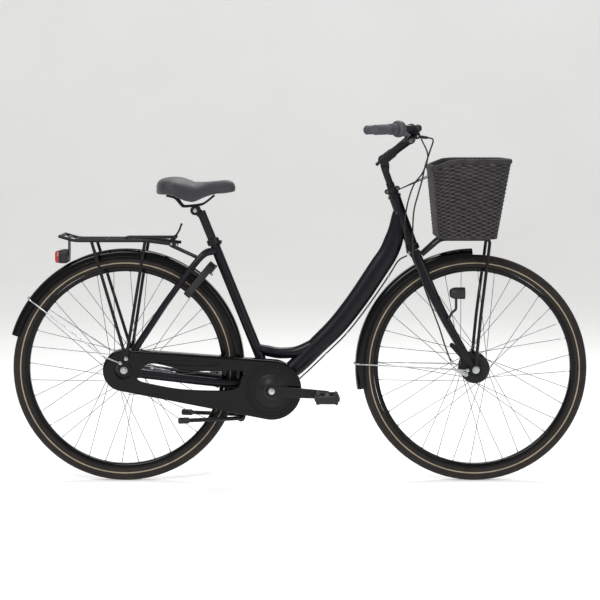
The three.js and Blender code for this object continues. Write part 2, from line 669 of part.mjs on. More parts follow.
// A round rod from one place to another, its radius at each end.
function rod(start, end, radius, endRadius = radius, sides = TUBE_SIDES) {
    const length = start.distanceTo(end);
    const geometry = new THREE.CylinderGeometry(endRadius, radius, length, sides);
    const turn = new THREE.Quaternion().setFromUnitVectors(at(0, 1, 0), end.clone().sub(start).normalize());
    geometry.applyQuaternion(turn);
    const middle = start.clone().add(end).divideScalar(2);
    return solid(moved(geometry, middle.x, middle.y, middle.z));
}

// A round bar across the object at a place of the XZ plane, between two lateral places.
function crossBar(place, startY, endY, radius, sides = THIN_SIDES) {
    return rod(at(place.x, startY, place.z), at(place.x, endY, place.z), radius, radius, sides);
}

// The solid of a hole from one place to another: its flat sides lie at the radius asked for.
function hole(start, end, radius, sides = ROUND_SIDES) {
    const corner = radius / Math.cos(Math.PI / sides);
    return rod(start, end, corner, corner, sides);
}

function ball(centre, radius, sides = TUBE_SIDES) {
    return solid(moved(new THREE.SphereGeometry(radius, sides, sides / 2), centre.x, centre.y, centre.z));
}

// A block with its centre, its three sizes and its turn about the lateral axis.
function block(centre, length, width, height, turn = 0) {
    const geometry = new THREE.BoxGeometry(length, width, height);
    geometry.rotateY(turn);
    return solid(moved(geometry, centre.x, centre.y, centre.z));
}

// A body turned about the lateral axis through a centre: its profile holds [radius, lateral place].
function turned(centre, profile, segments) {
    const outline = profile.map(([radius, side]) => new THREE.Vector2(radius, side));
    const geometry = new THREE.LatheGeometry(outline, segments);
    return solid(moved(geometry, centre.x, centre.y, centre.z));
}

// A plate cut to an outline of [x, z] places, between two lateral places.
function plate(outline, nearY, farY) {
    const shape = new THREE.Shape(outline.map(([x, z]) => new THREE.Vector2(x, z)));
    const geometry = new THREE.ExtrudeGeometry(shape, { depth: farY - nearY, bevelEnabled: false });
    geometry.applyMatrix4(new THREE.Matrix4().set(1, 0, 0, 0, 0, 0, 1, nearY, 0, 1, 0, 0, 0, 0, 0, 1));
    return solid(geometry);
}

// The outline round two circles and their outer tangents, as [x, z] places.
function beltOutline(centreA, radiusA, centreB, radiusB, arcSteps) {
    const span = centreB.clone().sub(centreA);
    const heading = Math.atan2(span.z, span.x);
    const lean = Math.acos((radiusA - radiusB) / span.length());
    const outline = [];
    for (let k = 0; k <= arcSteps; k += 1) {
        const turn = heading + lean + ((TURN - 2 * lean) * k) / arcSteps;
        outline.push([centreA.x + radiusA * Math.cos(turn), centreA.z + radiusA * Math.sin(turn)]);
    }
    for (let k = 0; k <= arcSteps; k += 1) {
        const turn = heading - lean + (2 * lean * k) / arcSteps;
        outline.push([centreB.x + radiusB * Math.cos(turn), centreB.z + radiusB * Math.sin(turn)]);
    }
    return outline;
}

function mesh(name, piece, finish) {
    const made = new THREE.Mesh(geometryOf(piece), new THREE.MeshStandardMaterial(FINISHES[finish]));
    made.name = name;
    return made;
}

function pathBetween(start, end, runShares, riseShares, spread, spreadShares, side) {
    return runShares.map((share, k) => (
        between(start, end, share, riseShares[k], side * spread * spreadShares[k])
    ));
}

// A point at a turn about an axle, in the plane of the wheel.
function aroundAxle(axle, reach, turn, aside = 0) {
    return at(axle.x + reach * Math.cos(TURN * turn), aside, axle.z + reach * Math.sin(TURN * turn));
}

// Frame
function headTube() {
    const upper = rod(along(HEAD_TOP, STEER_AXIS, -HEAD_CUP_HEIGHT), HEAD_TOP, HEAD_CUP_RADIUS);
    const lower = rod(HEAD_BOTTOM, along(HEAD_BOTTOM, STEER_AXIS, HEAD_CUP_HEIGHT), HEAD_CUP_RADIUS);
    const body = rod(HEAD_BOTTOM, HEAD_TOP, HEAD_RADIUS);
    const innerTop = along(HEAD_TOP, STEER_AXIS, -HEAD_CUP_HEIGHT);
    const innerBottom = along(HEAD_BOTTOM, STEER_AXIS, HEAD_CUP_HEIGHT);
    const bore = rod(innerBottom, innerTop, HEAD_BORE_RADIUS);
    const passage = hole(
        along(HEAD_BOTTOM, STEER_AXIS, -OVERRUN),
        along(HEAD_TOP, STEER_AXIS, OVERRUN),
        STEERER_RADIUS + GAP,
    );
    return cut(join([body, upper, lower]), [bore, passage]);
}

function headClearance() {
    const start = along(HEAD_BOTTOM, STEER_AXIS, -HEAD_CUP_RADIUS);
    const end = along(HEAD_TOP, STEER_AXIS, HEAD_CUP_RADIUS);
    const cups = [
        rod(start, along(HEAD_BOTTOM, STEER_AXIS, HEAD_CUP_HEIGHT + GAP), HEAD_CUP_RADIUS + GAP),
        rod(along(HEAD_TOP, STEER_AXIS, -HEAD_CUP_HEIGHT - GAP), end, HEAD_CUP_RADIUS + GAP),
    ];
    const lean = Math.atan(HEAD_SLOPE_SHARE);
    const middle = between(HEAD_BOTTOM, HEAD_TOP, 1 / 2, 1 / 2);
    const ahead = at(Math.cos(lean), 0, Math.sin(lean));
    const reach = HEAD_TOP_Z - HEAD_BOTTOM_Z;
    const front = block(along(middle, ahead, reach / 2), reach, reach, reach * 2, -lean);
    return join([rod(start, end, HEAD_RADIUS + GAP), front, ...cups]);
}

function shellClearance() {
    const radius = SHELL_RADIUS + GAP;
    return turned(BRACKET, [
        [0, -SHELL_WIDTH],
        [radius, -SHELL_WIDTH],
        [radius, SHELL_WIDTH],
        [0, SHELL_WIDTH],
    ], ROUND_SIDES);
}

function seatTubeBody(extra) {
    return rod(BRACKET, SEAT_TOP, SEAT_TUBE_RADIUS + extra);
}

function downTubeBody(extra) {
    const spots = DOWN_TUBE_RUN_SHARES.map((share, k) => (
        between(BRACKET, HEAD_TOP, share, DOWN_TUBE_RISE_SHARES[k])
    ));
    return ovalTube(
        spots,
        DOWN_TUBE_STEPS,
        DOWN_TUBE_WIDTH + extra * 2,
        DOWN_TUBE_DEPTH + extra * 2,
        DOWN_TUBE_WIDTH_SHARES,
        DOWN_TUBE_DEPTH_SHARES,
    );
}

function downTube() {
    return cut(downTubeBody(0), [headClearance(), shellClearance()]);
}

function seatTube() {
    const boreStart = along(SEAT_TOP, SEAT_AXIS, -POST_DEPTH);
    const bore = rod(boreStart, along(SEAT_TOP, SEAT_AXIS, OVERRUN), POST_RADIUS + GAP);
    return cut(seatTubeBody(0), [bore, shellClearance(), downTubeBody(GAP)]);
}

function braceTube() {
    const spots = BRACE_RUN_SHARES.map((share, k) => between(BRACKET, HEAD_TOP, share, BRACE_RISE_SHARES[k]));
    const body = tube(spots, BRACE_RADIUS, BRACE_STEPS, TUBE_SIDES);
    return cut(body, [seatTubeBody(GAP), downTubeBody(GAP)]);
}

function bracketShell() {
    const half = SHELL_WIDTH / 2;
    return turned(BRACKET, [
        [BEARING_RADIUS, -half],
        [SHELL_RADIUS, -half],
        [SHELL_RADIUS, half],
        [BEARING_RADIUS, half],
        [BEARING_RADIUS, -half],
    ], ROUND_SIDES);
}

function bracketBearing() {
    const inner = CRANK_AXLE_RADIUS + GAP;
    const fit = BEARING_RADIUS - GAP;
    const face = SHELL_WIDTH / 2 + GAP;
    const lip = face + BEARING_LIP;
    return turned(BRACKET, [
        [inner, -lip],
        [SHELL_RADIUS, -lip],
        [SHELL_RADIUS, -face],
        [fit, -face],
        [fit, face],
        [SHELL_RADIUS, face],
        [SHELL_RADIUS, lip],
        [inner, lip],
        [inner, -lip],
    ], ROUND_SIDES);
}

function seatStayLine(side) {
    return pathBetween(
        SEAT_TOP,
        REAR_AXLE,
        SEAT_STAY_RUN_SHARES,
        SEAT_STAY_RISE_SHARES,
        SEAT_STAY_SPREAD,
        SEAT_STAY_SPREAD_SHARES,
        side,
    );
}

function seatStayBody(side, extra) {
    return tube(seatStayLine(side), SEAT_STAY_RADIUS + extra, SEAT_STAY_STEPS);
}

function stayBridgePlace() {
    return between(SEAT_TOP, REAR_AXLE, SEAT_STAY_RUN_SHARES[1], SEAT_STAY_RISE_SHARES[1]);
}

function dropoutPlate(side, extra) {
    const eyelet = at(REAR_AXLE.x, 0, REAR_AXLE.z + EYELET_RISE);
    const stayEnd = between(BRACKET, REAR_AXLE, CHAIN_STAY_RUN_SHARES[3], CHAIN_STAY_RISE_SHARES[3]);
    const half = DROPOUT_THICKNESS / 2 + extra;
    const middle = side * DROPOUT_Y;
    const rise = beltOutline(REAR_AXLE, DROPOUT_RADIUS + extra, eyelet, EYELET_RADIUS + extra, PLATE_STEPS);
    const reach = beltOutline(REAR_AXLE, DROPOUT_RADIUS + extra, stayEnd, STAY_TIP_RADIUS + extra, PLATE_STEPS);
    return plate(rise, middle - half, middle + half).add(plate(reach, middle - half, middle + half));
}

function seatStays() {
    const bridge = stayBridgePlace();
    const half = SEAT_STAY_SPREAD * SEAT_STAY_SPREAD_SHARES[1];
    const bar = rod(at(bridge.x, -half, bridge.z), at(bridge.x, half, bridge.z), STAY_BRIDGE_RADIUS);
    const body = join([seatStayBody(-1, 0), seatStayBody(1, 0), bar]);
    const plates = [-1, 1].map((side) => dropoutPlate(side, GAP));
    return cut(body, [seatTubeBody(GAP), ...plates, chainStayBodies(GAP), eyeletBores(GAP)]);
}

function chainStayBodies(extra) {
    const sides = [-1, 1].map((side) => {
        const line = pathBetween(
            BRACKET,
            REAR_AXLE,
            CHAIN_STAY_RUN_SHARES,
            CHAIN_STAY_RISE_SHARES,
            CHAIN_STAY_SPREAD,
            CHAIN_STAY_SPREAD_SHARES,
            side,
        );
        const [width, depth] = [CHAIN_STAY_WIDTH + extra * 2, CHAIN_STAY_DEPTH + extra * 2];
        return ovalTube(line, CHAIN_STAY_STEPS, width, depth, CHAIN_STAY_SIZE_SHARES, CHAIN_STAY_SIZE_SHARES);
    });
    return join(sides);
}

// Both chain stays with their bridge, the dropouts and the block that the stand turns in.
function chainStays() {
    const bridge = between(BRACKET, REAR_AXLE, STAY_BRIDGE_SHARE, STAY_BRIDGE_SHARE);
    const pivot = at(STAND_X, 0, STAND_Z);
    const halfBar = CHAIN_STAY_SPREAD / 2;
    const halfBlock = STAND_BLOCK_WIDTH / 2;
    const bar = rod(at(bridge.x, -halfBar, bridge.z), at(bridge.x, halfBar, bridge.z), STAY_BRIDGE_RADIUS);
    const web = plate(
        beltOutline(bridge, STAY_BRIDGE_RADIUS, pivot, STAND_BLOCK_RADIUS, PLATE_STEPS),
        -halfBlock,
        halfBlock,
    );
    const body = join([chainStayBodies(0), bar, web, dropoutPlate(-1, 0), dropoutPlate(1, 0)]);
    const standEnd = halfBlock * 2;
    const [boreStart, boreEnd] = [-standEnd, standEnd].map((y) => at(pivot.x, y, pivot.z));
    const standBore = hole(boreStart, boreEnd, STAND_PIN_RADIUS + GAP, TUBE_SIDES);
    return cut(body, [standBore, axleBore(REAR_AXLE), shellClearance(), eyeletBores(GAP)]);
}

// The screws of the rack's feet and of the mudguard's wire pass through the eyelets above the axle.
function eyeletBores(extra) {
    const bores = [rackFoot(), rearWireBolt()].map((spot) => hole(
        at(spot.x, -RACK_FOOT_Y, spot.z),
        at(spot.x, RACK_FOOT_Y, spot.z),
        SCREW_RADIUS + extra,
        THIN_SIDES,
    ));
    return join(bores);
}

function rackFoot() {
    return at(REAR_AXLE.x + RACK_FOOT_RUN, 0, REAR_AXLE.z + RACK_FOOT_RISE);
}

function seatClamp() {
    const top = along(SEAT_TOP, SEAT_AXIS, CLAMP_HEIGHT / 4);
    const bottom = along(SEAT_TOP, SEAT_AXIS, -CLAMP_HEIGHT);
    const inner = SEAT_TUBE_RADIUS + GAP;
    const ear = along(SEAT_TOP, SEAT_AXIS, -CLAMP_HEIGHT / 2);
    const earReach = inner + CLAMP_WALL;
    const lug = block(at(ear.x + earReach, 0, ear.z), CLAMP_HEIGHT, CLAMP_HEIGHT, CLAMP_HEIGHT);
    const bolt = rod(
        at(ear.x + earReach, -CLAMP_HEIGHT, ear.z),
        at(ear.x + earReach, CLAMP_HEIGHT, ear.z),
        SCREW_RADIUS,
    );
    const ring = rod(bottom, top, inner + CLAMP_WALL);
    const below = along(bottom, SEAT_AXIS, -CLAMP_HEIGHT);
    return cut(join([ring, lug, bolt]), [
        rod(below, along(SEAT_TOP, SEAT_AXIS, GAP), inner),
        rod(below, along(top, SEAT_AXIS, CLAMP_HEIGHT), POST_RADIUS + GAP),
    ]);
}

function wheelSector(axle, startTurn, endTurn, reach) {
    const steps = GUARD_STEPS / 2;
    const outline = [[axle.x, axle.z]];
    for (let k = 0; k <= steps; k += 1) {
        const spot = aroundAxle(axle, reach, startTurn + ((endTurn - startTurn) * k) / steps);
        outline.push([spot.x, spot.z]);
    }
    return plate(outline, -GUARD_WIDTH, GUARD_WIDTH);
}

// A mudguard: a flat-crowned channel that follows its tyre, cut to its own arc.
function mudguard(axle, startTurn, endTurn) {
    const half = GUARD_WIDTH / 2;
    const shoulder = half * GUARD_SHOULDER_SHARE;
    const slope = GUARD_DROP * GUARD_SLOPE_SHARE;
    const ring = turned(axle, [
        [GUARD_RADIUS, -shoulder],
        [GUARD_RADIUS, shoulder],
        [GUARD_RADIUS - slope, half],
        [GUARD_RADIUS - GUARD_DROP, half],
        [GUARD_RADIUS - GUARD_DROP, half - GUARD_WALL],
        [GUARD_RADIUS - slope - GUARD_WALL, half - GUARD_WALL],
        [GUARD_RADIUS - GUARD_WALL, shoulder - GUARD_WALL],
        [GUARD_RADIUS - GUARD_WALL, GUARD_WALL - shoulder],
        [GUARD_RADIUS - slope - GUARD_WALL, GUARD_WALL - half],
        [GUARD_RADIUS - GUARD_DROP, GUARD_WALL - half],
        [GUARD_RADIUS - GUARD_DROP, -half],
        [GUARD_RADIUS - slope, -half],
        [GUARD_RADIUS, -shoulder],
    ], GUARD_STEPS);
    return ring.intersect(wheelSector(axle, startTurn, endTurn, GUARD_RADIUS + GUARD_WIDTH));
}

// A wire stay: from a bolt at the axle up one side, over the mudguard and down the other side.
function guardWire(axle, bolt, boltY, rootY, turn) {
    const side = GUARD_WIDTH / 2 + WIRE_RADIUS + GAP;
    const top = GUARD_RADIUS + WIRE_RADIUS + GAP;
    const shoulder = (GUARD_WIDTH / 2) * GUARD_SHOULDER_SHARE;
    const edge = GUARD_RADIUS - GUARD_DROP * GUARD_SLOPE_SHARE + WIRE_RADIUS * 2;
    const half = [
        at(bolt.x, -boltY, bolt.z),
        aroundAxle(axle, WIRE_STRAIGHT_REACH, turn, -boltY),
        aroundAxle(axle, GUARD_RADIUS - GUARD_DROP, turn, -side),
        aroundAxle(axle, edge, turn, -side - WIRE_RADIUS / 2),
        aroundAxle(axle, top + WIRE_RADIUS / 2, turn, -shoulder),
    ];
    const other = half.map((spot) => at(spot.x, -spot.y, spot.z)).reverse();
    const wire = bentBar([...half, ...other], WIRE_RADIUS);
    const screws = [-1, 1].flatMap((hand) => [
        rod(
            at(bolt.x, hand * (boltY - WIRE_RADIUS), bolt.z),
            at(bolt.x, hand * (boltY + WIRE_BOLT_LENGTH), bolt.z),
            WIRE_BOLT_RADIUS,
        ),
        rod(
            at(bolt.x, hand * rootY, bolt.z),
            at(bolt.x, hand * boltY, bolt.z),
            SCREW_RADIUS,
            SCREW_RADIUS,
            THIN_SIDES,
        ),
    ]);
    return join([wire, ...screws]);
}

// A round bar of straight stretches with rounded bends, as rings carried along without twist.
function bentBar(points, radius, sides = THIN_SIDES) {
    const spots = [{ place: points[0], heading: headingOf(points[0], points[1]) }];
    for (let k = 1; k < points.length - 1; k += 1) {
        const [before, corner, after] = [points[k - 1], points[k], points[k + 1]];
        const [into, out] = [headingOf(before, corner), headingOf(corner, after)];
        const room = Math.min(before.distanceTo(corner), corner.distanceTo(after)) / 2;
        const reach = Math.min(radius * BEND_SHARE, room);
        const [first, last] = [along(corner, into, -reach), along(corner, out, reach)];
        spots.push({ place: first, heading: into });
        spots.push({ place: last, heading: out });
    }
    const final = points.length - 1;
    spots.push({ place: points[final], heading: headingOf(points[final - 1], points[final]) });
    const start = spots[0].heading;
    let side = at(start.y, -start.x, 0).length() > 1 / 2 ? at(start.y, -start.x, 0) : at(start.z, 0, -start.x);
    side.normalize();
    const rings = spots.map(({ place, heading }, k) => {
        if (k > 0) side.applyQuaternion(new THREE.Quaternion().setFromUnitVectors(spots[k - 1].heading, heading));
        const up = heading.clone().cross(side).normalize();
        return Array.from({ length: sides }, (_, j) => {
            const turn = (TURN * j) / sides;
            return place.clone()
                .addScaledVector(side, radius * Math.cos(turn))
                .addScaledVector(up, radius * Math.sin(turn));
        });
    });
    return loft(rings);
}

function headingOf(start, end) {
    return end.clone().sub(start).normalize();
}

// A place at shares of the line from the bottom bracket to the rear axle and, square to it, of a radius.
function casePlace(runShare, sideShare) {
    const line = REAR_AXLE.clone().sub(BRACKET);
    const length = line.length();
    const aside = at(-line.z / length, 0, line.x / length).multiplyScalar(-CASE_FRONT_RADIUS * sideShare);
    return BRACKET.clone().addScaledVector(line, runShare).add(aside);
}

// A closed smooth outline through places given in shares.
function caseOutline(runShares, sideShares) {
    const spots = runShares.map((share, k) => casePlace(share, sideShares[k]));
    const curve = new THREE.CatmullRomCurve3(spots, true, 'centripetal');
    return curve.getPoints(spots.length * 2).slice(0, -1).map((spot) => [spot.x, spot.z]);
}

function grownOutline(outline, extra) {
    const centre = outline.reduce((sum, [x, z]) => sum.add(at(x, 0, z)), at(0, 0, 0)).divideScalar(outline.length);
    const count = outline.length;
    return outline.map(([x, z], k) => {
        const before = outline[(k + count - 1) % count];
        const after = outline[(k + 1) % count];
        const normal = at(after[1] - before[1], 0, before[0] - after[0]).normalize();
        const outward = Math.sign(normal.dot(at(x - centre.x, 0, z - centre.z))) || 1;
        return [x + normal.x * extra * outward, z + normal.z * extra * outward];
    });
}

// The closed chaincase: an outer shell with a turned-in flange behind, a slot with a lip, ring grooves
// about the crank, a lens-shaped recess above the slot and openings for the stays and the axle.
function chaincase() {
    const shell = (inset) => beltOutline(
        BRACKET,
        CASE_FRONT_RADIUS - inset,
        REAR_AXLE,
        CASE_REAR_RADIUS - inset,
        CASE_STEPS,
    );
    const slot = caseOutline(CASE_SLOT_RUN_SHARES, CASE_SLOT_SIDE_SHARES);
    const lens = caseOutline(CASE_LENS_RUN_SHARES, CASE_LENS_SIDE_SHARES);
    const outer = plate(shell(0), -CASE_NEAR, -CASE_FAR);
    const inner = plate(shell(CASE_WALL), CASE_WALL - CASE_NEAR, -CASE_FAR - CASE_WALL);
    const back = plate(shell(CASE_FLANGE), -CASE_FAR - CASE_WALL - OVERRUN, OVERRUN - CASE_FAR);
    const lip = plate(grownOutline(slot, CASE_WALL), OVERRUN / 2 - CASE_NEAR, CASE_SLOT_LIP - CASE_NEAR);
    const opening = plate(slot, -CASE_NEAR - OVERRUN, CASE_SLOT_LIP + OVERRUN - CASE_NEAR);
    const recess = plate(lens, -CASE_NEAR - OVERRUN, CASE_RING_DEPTH - CASE_NEAR);
    const axleHole = turned(REAR_AXLE, [
        [0, -CASE_NEAR - OVERRUN],
        [CASE_AXLE_HOLE, -CASE_NEAR - OVERRUN],
        [CASE_AXLE_HOLE, OVERRUN - CASE_NEAR + CASE_WALL],
        [0, OVERRUN - CASE_NEAR + CASE_WALL],
    ], ROUND_SIDES);
    const crankHole = turned(BRACKET, [
        [0, -CASE_NEAR - OVERRUN],
        [CASE_CRANK_HOLE, -CASE_NEAR - OVERRUN],
        [CASE_CRANK_HOLE, OVERRUN - CASE_NEAR + CASE_WALL],
        [0, OVERRUN - CASE_NEAR + CASE_WALL],
    ], ROUND_SIDES);
    const groove = turned(BRACKET, [
        [CASE_RING_RADIUS, -CASE_NEAR - OVERRUN],
        [CASE_RING_RADIUS + CASE_RING_WIDTH / 3, -CASE_NEAR - OVERRUN],
        [CASE_RING_RADIUS + CASE_RING_WIDTH / 3, CASE_RING_DEPTH - CASE_NEAR],
        [CASE_RING_RADIUS, CASE_RING_DEPTH - CASE_NEAR],
        [CASE_RING_RADIUS, -CASE_NEAR - OVERRUN],
    ], DISC_SIDES);
    const seat = between(BRACKET, REAR_AXLE, CHAIN_STAY_RUN_SHARES[3], CHAIN_STAY_RISE_SHARES[3]);
    const dropoutFace = DROPOUT_Y + DROPOUT_THICKNESS / 2 + GAP;
    const boss = crossBar(seat, CASE_WALL / 2 - CASE_NEAR, -dropoutFace, CASE_BOSS_RADIUS);
    const hollow = join([cut(outer, [inner, back]), lip, boss]);
    return cut(hollow, [
        opening,
        recess,
        groove,
        axleHole,
        crankHole,
        seatStayBody(-1, CASE_STAY_CLEARANCE),
        eyeletBores(CASE_STAY_CLEARANCE),
    ]);
}

function pitchRadius(teeth) {
    return CHAIN_PITCH / (2 * Math.sin(Math.PI / teeth));
}

// The chain as a closed band that wraps the tooth tips of the chainring and the sprocket.
function chain() {
    const band = (extra) => beltOutline(
        BRACKET,
        pitchRadius(CHAINRING_TEETH) + extra,
        REAR_AXLE,
        pitchRadius(SPROCKET_TEETH) + extra,
        CASE_STEPS,
    );
    const outside = plate(band(CHAIN_HALF_HEIGHT), -CHAIN_LINE - CHAIN_WIDTH / 2, CHAIN_WIDTH / 2 - CHAIN_LINE);
    const inside = plate(band(-CHAIN_HALF_HEIGHT), -CHAIN_LINE - CHAIN_WIDTH, CHAIN_WIDTH - CHAIN_LINE);
    return cut(outside, [inside]);
}

// A toothed wheel whose tips stay just inside the chain band, with a bore that fits what carries it.
function toothedWheel(centre, teeth, bore) {
    const tip = pitchRadius(teeth) * Math.cos(Math.PI / CASE_STEPS) - CHAIN_HALF_HEIGHT - GAP;
    const root = tip - TOOTH_DEPTH;
    const outline = [];
    for (let k = 0; k < teeth * 2; k += 1) {
        const turn = (TURN * k) / (teeth * 2);
        const radius = k % 2 === 0 ? tip : root;
        outline.push([centre.x + radius * Math.cos(turn), centre.z + radius * Math.sin(turn)]);
    }
    const half = SPROCKET_THICKNESS / 2;
    const disc = plate(outline, -CHAIN_LINE - half, half - CHAIN_LINE);
    const start = at(centre.x, -CHAIN_LINE - CHAIN_WIDTH, centre.z);
    return cut(disc, [hole(start, at(centre.x, CHAIN_WIDTH - CHAIN_LINE, centre.z), bore)]);
}

// The rack: two rails with bars and slats between them, two legs to each axle eyelet, and a front plate.
function rackRail(side) {
    return [
        at(RACK_REAR_X, side * RACK_RAIL_Y, RACK_REAR_Z),
        at(RACK_DIP_X, side * RACK_RAIL_Y, RACK_Z),
        at(RACK_LEG_FRONT_X, side * RACK_RAIL_Y, RACK_Z),
        at(RACK_FRONT_X, side * RACK_RAIL_Y, RACK_FRONT_Z),
    ];
}

function rackHeight(x) {
    if (x < RACK_DIP_X) {
        return THREE.MathUtils.mapLinear(x, RACK_REAR_X, RACK_DIP_X, RACK_REAR_Z, RACK_Z);
    }
    if (x < RACK_LEG_FRONT_X) return RACK_Z;
    return THREE.MathUtils.mapLinear(x, RACK_LEG_FRONT_X, RACK_FRONT_X, RACK_Z, RACK_FRONT_Z);
}

function rack() {
    const foot = rackFoot();
    const parts = [];
    [-1, 1].forEach((side) => {
        parts.push(bentBar(rackRail(side), RACK_TUBE_RADIUS));
        [RACK_LEG_REAR_X, RACK_LEG_FRONT_X].forEach((x) => {
            parts.push(rod(
                at(x, side * RACK_RAIL_Y, RACK_Z),
                at(foot.x, side * RACK_FOOT_Y, foot.z),
                RACK_TUBE_RADIUS,
                RACK_TUBE_RADIUS,
                THIN_SIDES,
            ));
        });
        const inside = DROPOUT_Y - DROPOUT_THICKNESS;
        parts.push(rod(
            at(foot.x, side * inside, foot.z),
            at(foot.x, side * (RACK_FOOT_Y + RACK_TUBE_RADIUS + SCREW_RADIUS), foot.z),
            SCREW_RADIUS,
            SCREW_RADIUS,
            THIN_SIDES,
        ));
    });
    const span = RACK_FRONT_X - RACK_REAR_X;
    RACK_BAR_PLACES_SHARES.forEach((share) => {
        const x = RACK_REAR_X + span * share;
        const z = rackHeight(x);
        parts.push(crossBar({ x, z }, -RACK_RAIL_Y, RACK_RAIL_Y, RACK_BAR_RADIUS));
    });
    const rearEnd = { x: RACK_REAR_X, z: RACK_REAR_Z };
    parts.push(crossBar(rearEnd, -RACK_RAIL_Y, RACK_RAIL_Y, RACK_TUBE_RADIUS));
    [-RACK_SLAT_Y, RACK_SLAT_Y].forEach((y) => {
        const [first, last] = [RACK_BAR_PLACES_SHARES[0], RACK_BAR_PLACES_SHARES[2]];
        const start = RACK_REAR_X + span * first;
        const end = RACK_REAR_X + span * last;
        parts.push(rod(
            at(start, y, rackHeight(start)),
            at(end, y, rackHeight(end)),
            RACK_BAR_RADIUS,
            RACK_BAR_RADIUS,
            THIN_SIDES,
        ));
    });
    const pivot = clipPivot();
    const barX = RACK_REAR_X + span * RACK_BAR_PLACES_SHARES[3];
    const earRadius = RACK_BAR_RADIUS + OVERRUN;
    [-1, 1].forEach((side) => {
        const near = side * (CLIP_HALF_WIDTH + CLIP_RADIUS + OVERRUN / 2);
        const far = near + side * CLIP_EAR;
        const ear = beltOutline(at(barX, 0, rackHeight(barX)), earRadius, pivot, earRadius, PLATE_STEPS);
        parts.push(plate(ear, Math.min(near, far), Math.max(near, far)));
    });
    const plateX = LAMP_X + LAMP_PLATE * 2;
    const hanger = at(plateX, 0, (LAMP_Z + rackHeight(plateX)) / 2);
    parts.push(block(hanger, LAMP_PLATE, LAMP_WIDTH / 2, rackHeight(plateX) - LAMP_Z));
    parts.push(crossBar({ x: plateX, z: rackHeight(plateX) }, -RACK_RAIL_Y, RACK_RAIL_Y, RACK_BAR_RADIUS));
    const [pinStart, pinEnd] = [-RACK_RAIL_Y, RACK_RAIL_Y].map((y) => at(pivot.x, y, pivot.z));
    const pinHole = hole(pinStart, pinEnd, CLIP_RADIUS + GAP, TUBE_SIDES);
    return cut(join(parts), [pinHole]);
}

// The strut that ties the front of the rack to the bridge of the seat stays.
function rackStrut() {
    const bridge = stayBridgePlace();
    const frontBarX = RACK_REAR_X + (RACK_FRONT_X - RACK_REAR_X) * RACK_BAR_PLACES_SHARES[3];
    const lift = RACK_BAR_RADIUS + STRUT_RADIUS + GAP;
    const seat = STAY_BRIDGE_RADIUS + STRUT_RADIUS + GAP;
    const top = at(frontBarX, 0, rackHeight(frontBarX) - lift);
    const parts = [-1, 1].map((side) => bentBar([
        at(top.x, side * RACK_SLAT_Y, top.z),
        at(bridge.x - seat, side * RACK_SLAT_Y, bridge.z),
    ], STRUT_RADIUS));
    parts.push(bentBar([at(top.x, -RACK_SLAT_Y, top.z), at(top.x, RACK_SLAT_Y, top.z)], STRUT_RADIUS));
    const low = bridge.x - seat;
    parts.push(bentBar([at(low, -RACK_SLAT_Y, bridge.z), at(low, RACK_SLAT_Y, bridge.z)], STRUT_RADIUS));
    return join(parts);
}

function roundedBox(centre, length, width, height, radius) {
    const shape = new THREE.Shape();
    const [w, h] = [width / 2, height / 2];
    shape.moveTo(-w + radius, -h);
    shape.lineTo(w - radius, -h);
    shape.absarc(w - radius, -h + radius, radius, -Math.PI / 2, 0, false);
    shape.absarc(w - radius, h - radius, radius, 0, Math.PI / 2, false);
    shape.absarc(-w + radius, h - radius, radius, Math.PI / 2, Math.PI, false);
    shape.absarc(-w + radius, -h + radius, radius, Math.PI, (Math.PI * 3) / 2, false);
    const bevel = radius / 4;
    const geometry = new THREE.ExtrudeGeometry(shape, {
        depth: length - bevel * 2,
        bevelEnabled: true,
        bevelThickness: bevel,
        bevelSize: bevel,
        bevelOffset: -bevel,
        bevelSegments: 1,
        curveSegments: CORNER_STEPS,
    });
    geometry.translate(0, 0, bevel - length / 2);
    geometry.applyMatrix4(new THREE.Matrix4().set(0, 0, 1, 0, 1, 0, 0, 0, 0, 1, 0, 0, 0, 0, 0, 1));
    return solid(moved(geometry, centre.x, centre.y, centre.z));
}

function tailLightBody() {
    const front = LAMP_X + LAMP_PLATE + LAMP_PLATE / 2 - GAP;
    const centre = at(front - LAMP_LENGTH / 2, 0, LAMP_Z);
    return roundedBox(centre, LAMP_LENGTH, LAMP_WIDTH, LAMP_HEIGHT, LAMP_CORNER);
}

function tailLightLens() {
    const front = LAMP_X + LAMP_PLATE + LAMP_PLATE / 2 - GAP - LAMP_LENGTH - GAP;
    const centre = at(front - LENS_LENGTH / 2, 0, LAMP_Z);
    return roundedBox(centre, LENS_LENGTH, LAMP_WIDTH - LAMP_PLATE, LAMP_HEIGHT - LAMP_PLATE, LAMP_CORNER);
}

// Ring lock: its plane holds the wheel's axis and a radial line, so its shapes are drawn in [side, reach].
function lockPlate(outline, start, end, holes = []) {
    const shape = new THREE.Shape(outline.map(([side, reach]) => new THREE.Vector2(side, reach)));
    shape.holes = holes;
    const geometry = new THREE.ExtrudeGeometry(shape, { depth: end - start, bevelEnabled: false });
    const [c, s] = [Math.cos(TURN * LOCK_TURN), Math.sin(TURN * LOCK_TURN)];
    const { x, z } = REAR_AXLE;
    const [baseX, baseZ] = [x + s * start, z - c * start];
    geometry.applyMatrix4(new THREE.Matrix4().set(0, c, s, baseX, 1, 0, 0, 0, 0, s, -c, baseZ, 0, 0, 0, 1));
    return solid(geometry);
}

function lockSteps(startTurn, endTurn) {
    return Math.max(1, Math.round(Math.abs(endTurn - startTurn) / LOCK_STEP_TURN));
}

function ringArc(radius, startTurn, endTurn, steps = lockSteps(startTurn, endTurn)) {
    return Array.from({ length: steps + 1 }, (_, k) => {
        const turn = TURN * (startTurn + ((endTurn - startTurn) * k) / steps);
        return [radius * Math.sin(turn), LOCK_CENTRE_REACH - radius * Math.cos(turn)];
    });
}

